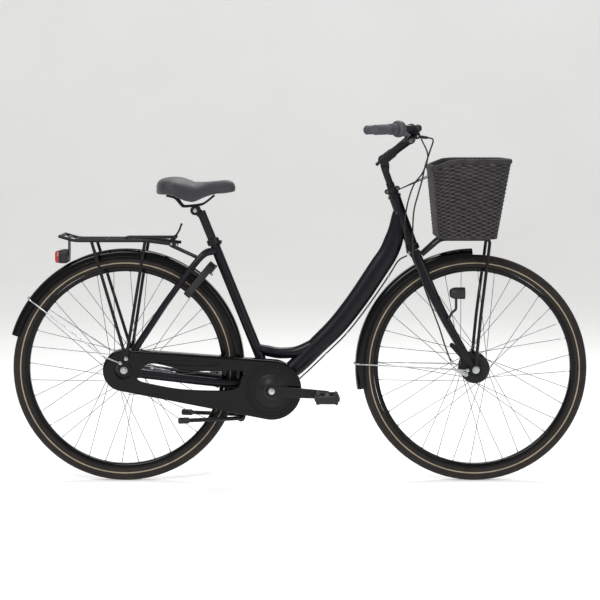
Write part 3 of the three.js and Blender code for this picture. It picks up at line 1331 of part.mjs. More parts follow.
// The shackle's rod along its ring. Turns are counted from the lock's mouth.
function shackleRod(startTurn, endTurn, radius) {
    const spots = ringArc(SHACKLE_RING_RADIUS, startTurn, endTurn);
    const places = spots.map(([side, reach]) => aroundAxle(REAR_AXLE, reach, LOCK_TURN, side));
    return tube(places, radius, spots.length - 1, THIN_SIDES);
}

function lockHousing() {
    const top = LOCK_TOP_REACH - LOCK_CENTRE_REACH - LOCK_OUTER_RADIUS;
    const outer = ringArc(LOCK_OUTER_RADIUS, LOCK_MOUTH_TURN, 1 - LOCK_MOUTH_TURN);
    const raised = outer.map(([side, reach]) => [side, reach > LOCK_CENTRE_REACH ? reach + top : reach]);
    const inner = ringArc(LOCK_INNER_RADIUS, 1 - LOCK_MOUTH_TURN, LOCK_MOUTH_TURN);
    const half = LOCK_THICKNESS / 2;
    const body = lockPlate([...raised, ...inner], -half, half);
    const key = LOCK_CENTRE_REACH + LOCK_OUTER_RADIUS + top - LOCK_BLOCK_HEIGHT;
    const blockOutline = [
        [-LOCK_BLOCK_WIDTH / 2, key],
        [LOCK_BLOCK_WIDTH / 2, key],
        [LOCK_BLOCK_WIDTH / 2, LOCK_TOP_REACH],
        [-LOCK_BLOCK_WIDTH / 2, LOCK_TOP_REACH],
    ];
    const face = lockPlate(blockOutline, 0, half + LOCK_BLOCK_LIFT);
    const keyhole = lockPlate(ringArc(KNOB_RADIUS, 0, 1, THIN_SIDES).slice(0, -1).map(([side, reach]) => (
        [side, reach + LOCK_TOP_REACH - LOCK_CENTRE_REACH - LOCK_BLOCK_HEIGHT / 2]
    )), half, half + LOCK_BLOCK_LIFT + OVERRUN);
    const channelStart = LOCK_MOUTH_TURN - LOCK_OVER_TURN;
    const channel = shackleRod(channelStart, 1 - channelStart, SHACKLE_RADIUS + SHACKLE_PLAY);
    const knobStart = LOCK_MOUTH_TURN + KNOB_TURN - SHACKLE_SLOT_TURN;
    const knobEnd = knobStart + SHACKLE_TRAVEL_TURN + SHACKLE_SLOT_TURN * 2;
    const halfSlot = KNOB_RADIUS + SHACKLE_PLAY;
    const slotOutline = [
        ...ringArc(SHACKLE_RING_RADIUS + halfSlot, -knobEnd, -knobStart),
        ...ringArc(SHACKLE_RING_RADIUS - halfSlot, -knobStart, -knobEnd),
    ];
    const slot = lockPlate(slotOutline, 0, half + LOCK_BLOCK_LIFT + OVERRUN);
    const lugs = [-1, 1].map((hand) => rod(
        aroundAxle(REAR_AXLE, LOCK_LUG_REACH, LOCK_TURN, hand * LOCK_LUG_Y),
        aroundAxle(REAR_AXLE, LOCK_LUG_REACH, LOCK_LUG_TURN, hand * LOCK_LUG_Y),
        LOCK_LUG_RADIUS,
        LOCK_LUG_RADIUS,
        THIN_SIDES,
    ));
    const housing = join([body, face, ...lugs]);
    return cut(housing, [channel, slot, keyhole, seatStayBody(-1, GAP), seatStayBody(1, GAP)]);
}

// The open shackle: it starts at one side of the mouth and runs back over the top inside the housing.
function lockShackle() {
    const start = -LOCK_MOUTH_TURN;
    const end = start - SHACKLE_LENGTH_TURN;
    const arc = shackleRod(start, end, SHACKLE_RADIUS);
    const knobTurn = -LOCK_MOUTH_TURN - KNOB_TURN - SHACKLE_TRAVEL_TURN;
    const [side, reach] = ringArc(SHACKLE_RING_RADIUS, knobTurn, 0, 1)[0];
    const root = aroundAxle(REAR_AXLE, reach, LOCK_TURN, side);
    const tangent = at(Math.sin(TURN * LOCK_TURN), 0, -Math.cos(TURN * LOCK_TURN));
    const knobTop = along(root, tangent, LOCK_THICKNESS / 2 + KNOB_HEIGHT);
    return arc.add(rod(root, knobTop, KNOB_RADIUS, KNOB_RADIUS, THIN_SIDES));
}

function hexNut(centre, startY, endY, radius) {
    const start = at(centre.x, startY, centre.z);
    return rod(start, at(centre.x, endY, centre.z), radius, radius, NUT_SIDES);
}

// Rear axle with its nuts and the coaster brake's arm, whose strap hugs the left chain stay.
function rearAxle() {
    const face = DROPOUT_Y + DROPOUT_THICKNESS / 2 + GAP;
    const parts = [rod(
        at(REAR_AXLE.x, -REAR_AXLE_HALF_LENGTH, REAR_AXLE.z),
        at(REAR_AXLE.x, REAR_AXLE_HALF_LENGTH, REAR_AXLE.z),
        AXLE_RADIUS,
    )];
    parts.push(hexNut(REAR_AXLE, face, face + AXLE_NUT_LENGTH, AXLE_NUT_RADIUS));
    parts.push(hexNut(REAR_AXLE, -face, -face - AXLE_NUT_LENGTH, AXLE_NUT_RADIUS));
    parts.push(hexNut(REAR_AXLE, ARM_Y - ARM_THICKNESS, ARM_Y + ARM_THICKNESS, AXLE_NUT_RADIUS));
    const tip = at(REAR_AXLE.x + ARM_REACH, ARM_END_Y, REAR_AXLE.z - ARM_DROP);
    parts.push(ovalTube(
        [at(REAR_AXLE.x, ARM_Y, REAR_AXLE.z), tip],
        1,
        ARM_THICKNESS,
        ARM_DEPTH,
        [1, 1],
        ARM_DEPTH_SHARES,
        THIN_SIDES,
    ));
    return cut(join(parts), [chainStayBodies(GAP)]);
}

// Fork
function forkLine(side) {
    return pathBetween(
        HEAD_BOTTOM,
        FRONT_AXLE,
        FORK_RUN_SHARES,
        FORK_RISE_SHARES,
        FORK_SPREAD,
        FORK_SPREAD_SHARES,
        side,
    );
}

function forkBlade(side, extra) {
    const [width, depth] = [FORK_BLADE_WIDTH + extra * 2, FORK_BLADE_DEPTH + extra * 2];
    return ovalTube(forkLine(side), FORK_STEPS, width, depth, FORK_WIDTH_SHARES, FORK_DEPTH_SHARES);
}

function fork() {
    const seat = along(HEAD_BOTTOM, STEER_AXIS, -GAP);
    const race = along(seat, STEER_AXIS, -RACE_HEIGHT);
    const top = along(HEAD_TOP, STEER_AXIS, STEERER_TOP);
    const crownCentre = along(race, STEER_AXIS, OVERRUN - CROWN_HEIGHT / 2);
    const lean = Math.atan(HEAD_SLOPE_SHARE);
    const outline = ovalRing(crownCentre, STEER_AXIS, 0, 0, ROUND_SIDES).map((_, k) => {
        const turn = (TURN * k) / ROUND_SIDES;
        const [ahead, up] = [(CROWN_DEPTH / 2) * Math.cos(turn), (CROWN_HEIGHT / 2) * Math.sin(turn)];
        return [
            crownCentre.x + ahead * Math.cos(lean) - up * Math.sin(lean),
            crownCentre.z + ahead * Math.sin(lean) + up * Math.cos(lean),
        ];
    });
    const crownHalf = FORK_SPREAD * FORK_SPREAD_SHARES[0] + FORK_BLADE_WIDTH / 2;
    const [nutStart, nutEnd] = [GAP, RACE_HEIGHT].map((height) => along(HEAD_TOP, STEER_AXIS, height));
    const locknut = rod(nutStart, nutEnd, LOCKNUT_RADIUS);
    const parts = [
        rod(crownCentre, top, STEERER_RADIUS),
        rod(race, seat, HEAD_CUP_RADIUS),
        plate(outline, -crownHalf, crownHalf),
        forkBlade(-1, 0),
        forkBlade(1, 0),
        locknut,
    ];
    const start = between(HEAD_BOTTOM, FRONT_AXLE, FORK_RUN_SHARES[4], FORK_RISE_SHARES[4]);
    [-1, 1].forEach((side) => {
        const middle = side * FORK_TIP_Y;
        const half = DROPOUT_THICKNESS / 2;
        const tip = beltOutline(FRONT_AXLE, FORK_TIP_RADIUS, start, FORK_TIP_RADIUS / 2, PLATE_STEPS);
        const eyelet = beltOutline(FRONT_AXLE, FORK_TIP_RADIUS, frontWireBolt(), FORK_TIP_RADIUS / 2, PLATE_STEPS);
        parts.push(plate(tip, middle - half, middle + half));
        parts.push(plate(eyelet, middle - half, middle + half));
    });
    const screw = frontWireBolt();
    const screwBore = hole(
        at(screw.x, -FRONT_WIRE_Y, screw.z),
        at(screw.x, FRONT_WIRE_Y, screw.z),
        SCREW_RADIUS + GAP,
        THIN_SIDES,
    );
    const boreStart = along(HEAD_TOP, STEER_AXIS, -QUILL_DEPTH);
    const bore = rod(boreStart, along(top, STEER_AXIS, OVERRUN), QUILL_RADIUS + GAP);
    return cut(join(parts), [bore, screwBore, axleBore(FRONT_AXLE)]);
}

function axleBore(axle) {
    const reach = REAR_AXLE_HALF_LENGTH;
    return rod(at(axle.x, -reach, axle.z), at(axle.x, reach, axle.z), AXLE_RADIUS + GAP);
}

function stemQuill() {
    const pivot = at(STEM_PIVOT_X, 0, STEM_PIVOT_Z);
    const bottom = along(HEAD_TOP, STEER_AXIS, -QUILL_DEPTH + GAP);
    const shoulder = along(HEAD_TOP, STEER_AXIS, STEM_PIVOT_Z - HEAD_TOP_Z - STEM_JOINT_RADIUS * 2);
    const half = STEM_TONGUE_WIDTH / 2;
    const tongue = turned(pivot, [
        [STEM_BOLT_RADIUS + GAP, -half],
        [STEM_JOINT_RADIUS, -half],
        [STEM_JOINT_RADIUS, half],
        [STEM_BOLT_RADIUS + GAP, half],
        [STEM_BOLT_RADIUS + GAP, -half],
    ], ROUND_SIDES);
    const neckTop = along(pivot, STEER_AXIS, -STEM_JOINT_RADIUS * STEM_NECK_END_SHARE);
    const neck = ovalTube(
        [shoulder, neckTop],
        STEM_NECK_WIDTH_SHARES.length,
        QUILL_RADIUS * 2,
        QUILL_RADIUS * 2,
        STEM_NECK_WIDTH_SHARES,
        STEM_NECK_DEPTH_SHARES,
    );
    return join([rod(bottom, shoulder, QUILL_RADIUS), neck, tongue]);
}

// The headset's bracket: a band with two bosses, and the wire that steadies the basket.
function headsetBracket() {
    const bottom = along(HEAD_TOP, STEER_AXIS, RACE_HEIGHT + GAP);
    const top = along(bottom, STEER_AXIS, BRACKET_BAND_HEIGHT);
    const middle = along(bottom, STEER_AXIS, BRACKET_BAND_HEIGHT / 2);
    const band = rod(bottom, top, STEERER_RADIUS + GAP + BRACKET_BAND_WALL);
    const reach = STEERER_RADIUS + BRACKET_BAND_WALL;
    const lean = Math.atan(HEAD_SLOPE_SHARE);
    const bosses = [-1, 1].map((hand) => {
        const place = at(middle.x + hand * reach * Math.cos(lean), 0, middle.z + hand * reach * Math.sin(lean));
        return rod(
            at(place.x, -BRACKET_BOSS_LENGTH / 2, place.z),
            at(place.x, BRACKET_BOSS_LENGTH / 2, place.z),
            BRACKET_BOSS_RADIUS,
        );
    });
    const wireStart = at(middle.x + reach, 0, middle.z);
    const basketX = BASKET_TOP_REAR_X - BASKET_WIRE_RADIUS - GAP;
    const wireZ = BASKET_REAR_RIM_Z - BASKET_RIM_HEIGHT * 2;
    const wires = [-1, 1].map((side) => bentBar([
        wireStart,
        at((wireStart.x + basketX) / 2, side * BRACKET_BOSS_LENGTH, (wireStart.z + wireZ) / 2),
        at(basketX, side * BRACKET_BOSS_LENGTH * 2, wireZ),
    ], BASKET_WIRE_RADIUS));
    const hole = rod(along(bottom, STEER_AXIS, -OVERRUN), along(top, STEER_AXIS, OVERRUN), STEERER_RADIUS + GAP);
    return cut(join([band, ...bosses, ...wires]), [hole]);
}

function frontAxle() {
    const face = CARRIER_STRUT_Y + CARRIER_EYE_THICKNESS / 2 + GAP;
    const end = FRONT_AXLE_HALF_LENGTH + AXLE_NUT_LENGTH / 2;
    return join([
        rod(at(FRONT_AXLE.x, -end, FRONT_AXLE.z), at(FRONT_AXLE.x, end, FRONT_AXLE.z), AXLE_RADIUS),
        hexNut(FRONT_AXLE, face, face + AXLE_NUT_LENGTH, AXLE_NUT_RADIUS),
        hexNut(FRONT_AXLE, -face, -face - AXLE_NUT_LENGTH, AXLE_NUT_RADIUS),
    ]);
}

// Front carrier: two struts from the axle, a platform loop under the basket, two ties back to the crown.
function frontCarrier() {
    const deckZ = BASKET_BOTTOM_Z - GAP - CARRIER_RADIUS;
    const parts = [];
    [-1, 1].forEach((side) => {
        parts.push(bentBar([
            carrierEyeTop(side),
            at(CARRIER_STRUT_MIDDLE_X, side * CARRIER_STRUT_Y, CARRIER_STRUT_MIDDLE_Z),
            at(CARRIER_FRONT_X, side * CARRIER_TOP_Y, deckZ),
            at(CARRIER_REAR_X, side * CARRIER_TOP_Y, deckZ),
            crownTie(side),
        ], CARRIER_RADIUS));
        const half = CARRIER_EYE_THICKNESS / 2;
        const middle = side * CARRIER_STRUT_Y;
        const eye = beltOutline(FRONT_AXLE, CARRIER_EYE_RADIUS, carrierEyeTop(side), CARRIER_RADIUS, PLATE_STEPS);
        parts.push(plate(eye, middle - half, middle + half));
    });
    const lastX = CARRIER_FRONT_X - CARRIER_RADIUS * 3;
    [CARRIER_REAR_X, (CARRIER_REAR_X + lastX) / 2, lastX].forEach((x) => {
        parts.push(crossBar({ x, z: deckZ }, -CARRIER_TOP_Y, CARRIER_TOP_Y, CARRIER_RADIUS));
    });
    return cut(join(parts), [axleBore(FRONT_AXLE), forkBlade(-1, GAP), forkBlade(1, GAP)]);
}

function carrierEyeTop(side) {
    return at(FRONT_AXLE.x, side * CARRIER_STRUT_Y, FRONT_AXLE.z + CARRIER_EYE_RADIUS + CARRIER_RADIUS);
}

function crownTie(side) {
    const place = between(HEAD_BOTTOM, FRONT_AXLE, FORK_RUN_SHARES[0], FORK_RISE_SHARES[0]);
    return at(place.x + CROWN_DEPTH / 2 + GAP, side * FORK_SPREAD * FORK_SPREAD_SHARES[0], place.z);
}

// A basket section: a rounded rectangle at a height, its rear edge let down by a share of the dip.
function basketRing(rearX, frontX, halfWidth, z, dip) {
    const corner = halfWidth * BASKET_CORNER_SHARE;
    const corners = [
        [frontX - corner, halfWidth - corner, 0],
        [rearX + corner, halfWidth - corner, 1],
        [rearX + corner, corner - halfWidth, 2],
        [frontX - corner, corner - halfWidth, 3],
    ];
    return corners.flatMap(([x, y, quarter]) => Array.from({ length: PLATE_STEPS + 1 }, (_, k) => {
        const turn = (TURN * (quarter + k / PLATE_STEPS)) / 4;
        const place = at(x + corner * Math.cos(turn), y + corner * Math.sin(turn), z);
        const share = THREE.MathUtils.clamp((place.x - rearX) / (frontX - rearX), 0, 1);
        place.z -= dip * shareOf(BASKET_DIP_SHARES, share);
        return place;
    }));
}

function basketShell(inset, bottomZ, topZ) {
    const ring = (z, grow, dip) => {
        const share = (z - BASKET_BOTTOM_Z) / (BASKET_RIM_Z - BASKET_BOTTOM_Z);
        const mix = (low, high) => THREE.MathUtils.lerp(low, high, share);
        return basketRing(
            mix(BASKET_BOTTOM_REAR_X, BASKET_TOP_REAR_X) + inset - grow,
            mix(BASKET_BOTTOM_FRONT_X, BASKET_TOP_FRONT_X) - inset + grow,
            mix(BASKET_BOTTOM_HALF_WIDTH, BASKET_TOP_HALF_WIDTH) - inset + grow,
            z,
            dip,
        );
    };
    const dip = BASKET_RIM_Z - BASKET_REAR_RIM_Z;
    if (inset > 0) return loft([ring(bottomZ, 0, 0), ring(topZ, 0, 0)]);
    const rimStart = topZ - BASKET_RIM_HEIGHT;
    const lip = BASKET_RIM_OVERHANG;
    return loft([
        ring(bottomZ, 0, 0),
        ring(rimStart, 0, dip),
        ring(rimStart, lip, dip),
        ring(topZ, lip, dip),
    ]);
}

function basket() {
    const outer = basketShell(0, BASKET_BOTTOM_Z, BASKET_RIM_Z);
    const inner = basketShell(BASKET_WALL, BASKET_BOTTOM_Z + BASKET_WALL, BASKET_RIM_Z + BASKET_RIM_HEIGHT);
    return cut(outer, [inner]);
}

function headlightPlace(run) {
    return at(HEADLIGHT_X + run, HEADLIGHT_Y, HEADLIGHT_Z);
}

// Headlight: a rounded body with a hood, on a stalk whose foot meets the fork blade.
function headlightBody() {
    const half = HEADLIGHT_LENGTH / 2;
    const [r, hood] = [HEADLIGHT_RADIUS, HEADLIGHT_HOOD];
    const shell = join([
        rod(headlightPlace(-half), headlightPlace(-half / 3), r * HEADLIGHT_BACK_SHARE, r),
        rod(headlightPlace(-half / 3), headlightPlace(half), r),
        rod(headlightPlace(half), headlightPlace(half + hood), r),
    ]);
    const cupStart = headlightPlace(half - HEADLIGHT_LENS_LENGTH);
    const cup = rod(cupStart, headlightPlace(half + hood + OVERRUN), r - OVERRUN);
    const under = cut(shell, [cup]);
    const stalkTop = at(HEADLIGHT_X, HEADLIGHT_Y, HEADLIGHT_Z - r / 2);
    const stalkEnd = at(HEADLIGHT_X, HEADLIGHT_Y, HEADLIGHT_Z - HEADLIGHT_STALK_DROP);
    const [runShare, riseShare] = [HEADLIGHT_FOOT_RUN_SHARE, HEADLIGHT_FOOT_RISE_SHARE];
    const blade = between(HEAD_BOTTOM, FRONT_AXLE, runShare, riseShare, -FORK_SPREAD);
    const knee = at((stalkEnd.x + blade.x) / 2, HEADLIGHT_Y + r / 2, stalkEnd.z - r / 2);
    const stalk = bentBar([stalkTop, stalkEnd, knee, blade], HEADLIGHT_STALK_RADIUS);
    return cut(under.add(stalk), [forkBlade(-1, GAP), cup]);
}

function headlightLens() {
    const start = HEADLIGHT_LENGTH / 2 - HEADLIGHT_LENS_LENGTH + GAP;
    const radius = HEADLIGHT_RADIUS - OVERRUN - GAP;
    const end = start + HEADLIGHT_LENS_LENGTH + HEADLIGHT_HOOD / 2;
    return rod(headlightPlace(start), headlightPlace(end), radius, radius * HEADLIGHT_DOME_SHARE);
}

// Drum brake plate on the right of the front hub, with its strut to the fork blade.
function drumPlate() {
    const profile = [
        [0, -DRUM_BACK_Y],
        [DRUM_RADIUS, -DRUM_BACK_Y],
        [DRUM_RADIUS, -DRUM_FACE_Y + DRUM_ARM_THICKNESS],
        [DRUM_RADIUS * DRUM_FACE_SHARE, -DRUM_FACE_Y],
        [DRUM_HUB_RADIUS, -DRUM_FACE_Y],
        [DRUM_HUB_RADIUS, DROPOUT_THICKNESS / 2 + GAP - FORK_TIP_Y],
        [0, DROPOUT_THICKNESS / 2 + GAP - FORK_TIP_Y],
    ];
    const disc = turned(FRONT_AXLE, profile, ROUND_SIDES);
    const end = at(FRONT_AXLE.x + DRUM_STRUT_RUN, 0, FRONT_AXLE.z + DRUM_STRUT_RISE);
    const strutFace = -DRUM_FACE_Y;
    const strut = plate(
        beltOutline(FRONT_AXLE, DRUM_HUB_RADIUS, end, DRUM_ARM_WIDTH, PLATE_STEPS),
        strutFace - OVERRUN,
        strutFace + DRUM_ARM_THICKNESS,
    );
    const cam = drumCam();
    const spindle = DRUM_CAM_RADIUS + GAP;
    return cut(disc.add(strut), [
        rod(at(cam.x, -DRUM_FACE_Y - OVERRUN * 2, cam.z), at(cam.x, -DRUM_BACK_Y + OVERRUN, cam.z), spindle),
        forkBlade(-1, GAP),
        axleBore(FRONT_AXLE),
    ]);
}

function drumCam() {
    return at(FRONT_AXLE.x + DRUM_CAM_RUN, 0, FRONT_AXLE.z + DRUM_CAM_RISE);
}

function drumArmTip() {
    return at(FRONT_AXLE.x + DRUM_ARM_TIP_RUN, 0, FRONT_AXLE.z + DRUM_ARM_TIP_RISE);
}

function drumArm() {
    const cam = drumCam();
    const tip = drumArmTip();
    const start = -DRUM_FACE_Y - OVERRUN - GAP * 2;
    const lever = plate(
        beltOutline(cam, DRUM_ARM_WIDTH, tip, DRUM_ARM_WIDTH / 2, PLATE_STEPS),
        start - DRUM_ARM_THICKNESS,
        start,
    );
    const spindle = crossBar(cam, start - DRUM_ARM_THICKNESS, -DRUM_BACK_Y, DRUM_CAM_RADIUS, TUBE_SIDES);
    const anchor = rod(
        at(tip.x, start - DRUM_ARM_THICKNESS * 2, tip.z),
        at(tip.x, start + OVERRUN, tip.z),
        DRUM_ARM_WIDTH / 2,
    );
    return join([lever, spindle, anchor]);
}

// Stem extension: cheeks about the quill's tongue, an arm, and the clamp about the handlebar.
function stemExtension() {
    const pivot = at(STEM_PIVOT_X, 0, STEM_PIVOT_Z);
    const clamp = at(BAR_CLAMP_X, 0, BAR_CLAMP_Z);
    const half = STEM_WIDTH / 2;
    const tongue = STEM_TONGUE_WIDTH / 2 + GAP;
    const clampRadius = BAR_RADIUS + GAP + BAR_CLAMP_WALL;
    const body = plate(beltOutline(pivot, STEM_JOINT_RADIUS, clamp, clampRadius, TUBE_SIDES), -half, half);
    const direction = clamp.clone().sub(pivot).normalize();
    const slotEnd = along(pivot, direction, STEM_JOINT_RADIUS / 2);
    const slot = plate(
        beltOutline(along(pivot, direction, -STEM_JOINT_RADIUS * 2), STEM_JOINT_RADIUS + OVERRUN,
            slotEnd, STEM_JOINT_RADIUS + OVERRUN, TUBE_SIDES),
        -tongue,
        tongue,
    );
    const bore = hole(at(clamp.x, -half * 2, clamp.z), at(clamp.x, half * 2, clamp.z), BAR_RADIUS + GAP);
    const bolt = rod(at(pivot.x, -half, pivot.z), at(pivot.x, half, pivot.z), STEM_BOLT_RADIUS);
    return cut(body, [slot, bore]).add(bolt);
}

function barLine(side) {
    const rise = (BAR_CLAMP_Z + BAR_BEND_Z) / 2;
    return [
        at(BAR_CLAMP_X, side * BAR_CENTRE_Y, BAR_CLAMP_Z),
        at((BAR_CLAMP_X + BAR_BEND_X) / 2, side * BAR_RISE_Y, rise),
        at(BAR_BEND_X, side * BAR_BEND_Y, BAR_BEND_Z),
    ];
}

// The straight stretch that the grip sits on: its start, its direction and its end.
function gripLine(side) {
    const start = at(GRIP_START_X, side * GRIP_START_Y, BAR_BEND_Z);
    const end = at(GRIP_END_X, side * GRIP_END_Y, GRIP_END_Z);
    return { start, end, direction: end.clone().sub(start).normalize() };
}

function handlebarBody(extra) {
    const arm = (side) => {
        const { start, end, direction } = gripLine(side);
        const tip = along(end, direction, -BAR_RADIUS / 2);
        return [...barLine(side), start, along(start, direction, BAR_CENTRE_Y), tip];
    };
    const spots = [...arm(1).reverse(), at(BAR_CLAMP_X, 0, BAR_CLAMP_Z), ...arm(-1)];
    return tube(spots, BAR_RADIUS + extra, BAR_STEPS, TUBE_SIDES);
}

// A sleeve on the straight end of the bar, between two distances from its start, with a round end or none.
function barSleeve(side, from, to, radius, closed) {
    const { start, direction } = gripLine(side);
    const body = rod(along(start, direction, from), along(start, direction, to), radius, radius, TUBE_SIDES);
    const end = closed ? to - BAR_RADIUS / 3 : to + OVERRUN;
    const bore = hole(along(start, direction, from - OVERRUN), along(start, direction, end), BAR_RADIUS + GAP * 2);
    const dome = closed ? rod(
        along(start, direction, to),
        along(start, direction, to + BAR_RADIUS / 3),
        radius,
        radius * GRIP_END_SHARE,
    ) : null;
    return cut(closed ? body.add(dome) : body, [bore]);
}

function gripSpan() {
    const { start, end } = gripLine(1);
    return start.distanceTo(end);
}

function leftGrip() {
    return barSleeve(1, gripSpan() - GRIP_LENGTH, gripSpan(), GRIP_RADIUS, true);
}

function rightGrip() {
    return barSleeve(-1, gripSpan() - RIGHT_GRIP_LENGTH, gripSpan(), GRIP_RADIUS, true);
}

function twistGrip() {
    const end = gripSpan() - RIGHT_GRIP_LENGTH - GAP;
    const middle = end - TWIST_SLEEVE_LENGTH;
    const sleeve = barSleeve(-1, middle - GAP, end, TWIST_SLEEVE_RADIUS, false);
    const body = barSleeve(-1, middle - TWIST_BODY_LENGTH, middle, TWIST_BODY_RADIUS, false);
    return sleeve.add(body);
}

function leverPivot() {
    return at(LEVER_PIVOT_X, LEVER_PIVOT_Y, LEVER_PIVOT_Z);
}

// Lever bracket: a band on the bar, an arm to the lever's pivot and the dome of the gear indicator.
function leverBracket() {
    const line = barLine(-1);
    const [before, place] = [line[1], line[2]];
    const direction = place.clone().sub(before).normalize();
    const band = rod(along(place, direction, -PERCH_LENGTH), along(place, direction, 0), PERCH_RADIUS);
    const middle = along(place, direction, -PERCH_LENGTH / 2);
    const pivot = leverPivot();
    const axis = leverAxis();
    const boss = rod(along(pivot, axis, -LEVER_WIDTH), along(pivot, axis, LEVER_WIDTH), LEVER_DEPTH);
    const arm = rod(middle, at(middle.x + PERCH_FORWARD, middle.y, pivot.z), PERCH_ARM_RADIUS, PERCH_TIP_RADIUS);
    const outlet = rod(
        at(middle.x + PERCH_FORWARD / 2, middle.y, pivot.z),
        at(middle.x + PERCH_FORWARD * 2, middle.y, pivot.z - LEVER_DEPTH / 2),
        CABLE_RADIUS * 2,
        CABLE_RADIUS + GAP,
    );
    const dome = ball(at(middle.x + DOME_FORWARD, middle.y, middle.z + PERCH_RADIUS / 4), DOME_RADIUS);
    const slotHalf = LEVER_WIDTH / 2 + GAP;
    const slot = rod(along(pivot, axis, -slotHalf), along(pivot, axis, slotHalf), PERCH_SLOT_RADIUS);
    return cut(join([band, arm, boss, outlet, dome]), [slot, handlebarBody(GAP * 2)]);
}

function leverAxis() {
    const run = at(LEVER_TIP_X - LEVER_PIVOT_X, LEVER_TIP_Y - LEVER_PIVOT_Y, 0).normalize();
    return at(run.y, -run.x, 0);
}

function brakeLever() {
    const pivot = leverPivot();
    const tip = at(LEVER_TIP_X, LEVER_TIP_Y, LEVER_TIP_Z);
    const axis = leverAxis();
    const spots = LEVER_RUN_SHARES.map((share, k) => at(
        THREE.MathUtils.lerp(pivot.x, tip.x, share),
        THREE.MathUtils.lerp(pivot.y, tip.y, share),
        THREE.MathUtils.lerp(pivot.z, tip.z, LEVER_DROP_SHARES[k]),
    ).addScaledVector(axis, -LEVER_AHEAD * LEVER_AHEAD_SHARES[k]));
    const half = LEVER_WIDTH / 2;
    const blade = tube(spots, LEVER_DEPTH / 2, LEVER_STEPS, THIN_SIDES);
    const hub = rod(along(pivot, axis, -half), along(pivot, axis, half), LEVER_DEPTH);
    return join([blade, hub, ball(spots[spots.length - 1], LEVER_TIP_RADIUS, THIN_SIDES)]);
}

// Wheels
function tyre(axle) {
    const inner = WHEEL_RADIUS - TYRE_DEPTH;
    const half = TYRE_WIDTH / 2;
    const profile = TYRE_RISE_SHARES.map((share, k) => [inner + TYRE_DEPTH * share, half * TYRE_SIDE_SHARES[k]]);
    return turned(axle, [...profile, profile[0]], WHEEL_STEPS);
}

function rim(axle) {
    const half = RIM_WIDTH / 2;
    const outer = WHEEL_RADIUS - TYRE_DEPTH - GAP;
    const shoulder = (outer + RIM_INNER_RADIUS) / 2;
    const well = outer - RIM_WELL;
    const lip = half - RIM_WELL;
    const crown = half / 2;
    return turned(axle, [
        [RIM_INNER_RADIUS, -crown],
        [RIM_INNER_RADIUS, crown],
        [shoulder, half],
        [outer, half],
        [well, lip],
        [well, -lip],
        [outer, -half],
        [shoulder, -half],
        [RIM_INNER_RADIUS, -crown],
    ], WHEEL_STEPS);
}

// A hub with two flanges and its crossed spokes: holes go round the rim in fours, two leaning each way.
function spokedHub(axle, spread, nearEnd, nearRadius, farEnd, farRadius) {
    const bore = AXLE_RADIUS + GAP;
    const [flange, thick] = [spread / 2, FLANGE_THICKNESS / 2];
    const barrel = turned(axle, [
        [bore, -nearEnd],
        [nearRadius, -nearEnd],
        [nearRadius, -flange - thick],
        [HUB_FLANGE_RADIUS, -flange - thick],
        [HUB_FLANGE_RADIUS, thick - flange],
        [HUB_BARREL_RADIUS, thick - flange],
        [HUB_BARREL_RADIUS, flange - thick],
        [HUB_FLANGE_RADIUS, flange - thick],
        [HUB_FLANGE_RADIUS, flange + thick],
        [farRadius, flange + thick],
        [farRadius, farEnd],
        [bore, farEnd],
        [bore, -nearEnd],
    ], ROUND_SIDES);
    const parts = [barrel];
    const rimReach = RIM_INNER_RADIUS * Math.cos(Math.PI / WHEEL_STEPS) - GAP;
    for (let k = 0; k < SPOKE_COUNT; k += 1) {
        const side = k % 2 === 0 ? -1 : 1;
        const lean = (k + 3) % 4 < 2 ? 1 : -1;
        const hole = FIRST_HOLE_TURN + k / SPOKE_COUNT;
        const root = hole + (lean * SPOKE_CROSS_HOLES * 2) / SPOKE_COUNT;
        const step = lean * SPOKE_SIDESTEP;
        parts.push(rod(
            aroundAxle(axle, SPOKE_CIRCLE_RADIUS, root, side * (flange + step)),
            aroundAxle(axle, rimReach, hole, side * (RIM_WELL + step)),
            SPOKE_RADIUS,
            SPOKE_RADIUS,
            SPOKE_SIDES,
        ));
    }
    return join(parts);
}

// Cranks, chainring and pedals
function crankPlace(side, radius) {
    const turn = side < 0 ? CRANK_TURN : CRANK_TURN + 1 / 2;
    return aroundAxle(BRACKET, radius, turn);
}

function crankAxle() {
    const end = CRANK_FACE_Y + CRANK_THICKNESS;
    const tip = end + CRANK_BOLT_LENGTH;
    return join([
        rod(at(BRACKET.x, -end, BRACKET.z), at(BRACKET.x, end, BRACKET.z), CRANK_AXLE_RADIUS),
        crossBar(BRACKET, -tip, tip, CRANK_BOLT_RADIUS, NUT_SIDES),
    ]);
}

function crankArm(side) {
    const tip = crankPlace(side, CRANK_LENGTH);
    const [near, far] = [side * CRANK_FACE_Y, side * (CRANK_FACE_Y + CRANK_THICKNESS)];
    const outline = beltOutline(BRACKET, CRANK_ROOT_DEPTH / 2, tip, CRANK_TIP_DEPTH / 2, TUBE_SIDES);
    const arm = plate(outline, Math.min(near, far), Math.max(near, far));
    const axleEnd = side * (PEDAL_INNER_Y + PEDAL_WIDTH - PEDAL_RAIL / 2);
    const pedalAxle = rod(at(tip.x, side * CRANK_FACE_Y, tip.z), at(tip.x, axleEnd, tip.z), PEDAL_AXLE_RADIUS);
    return arm.add(pedalAxle);
}

function crankBore() {
    const reach = CRANK_FACE_Y + CRANK_THICKNESS + OVERRUN;
    return rod(at(BRACKET.x, -reach, BRACKET.z), at(BRACKET.x, reach, BRACKET.z), CRANK_AXLE_RADIUS + GAP);
}

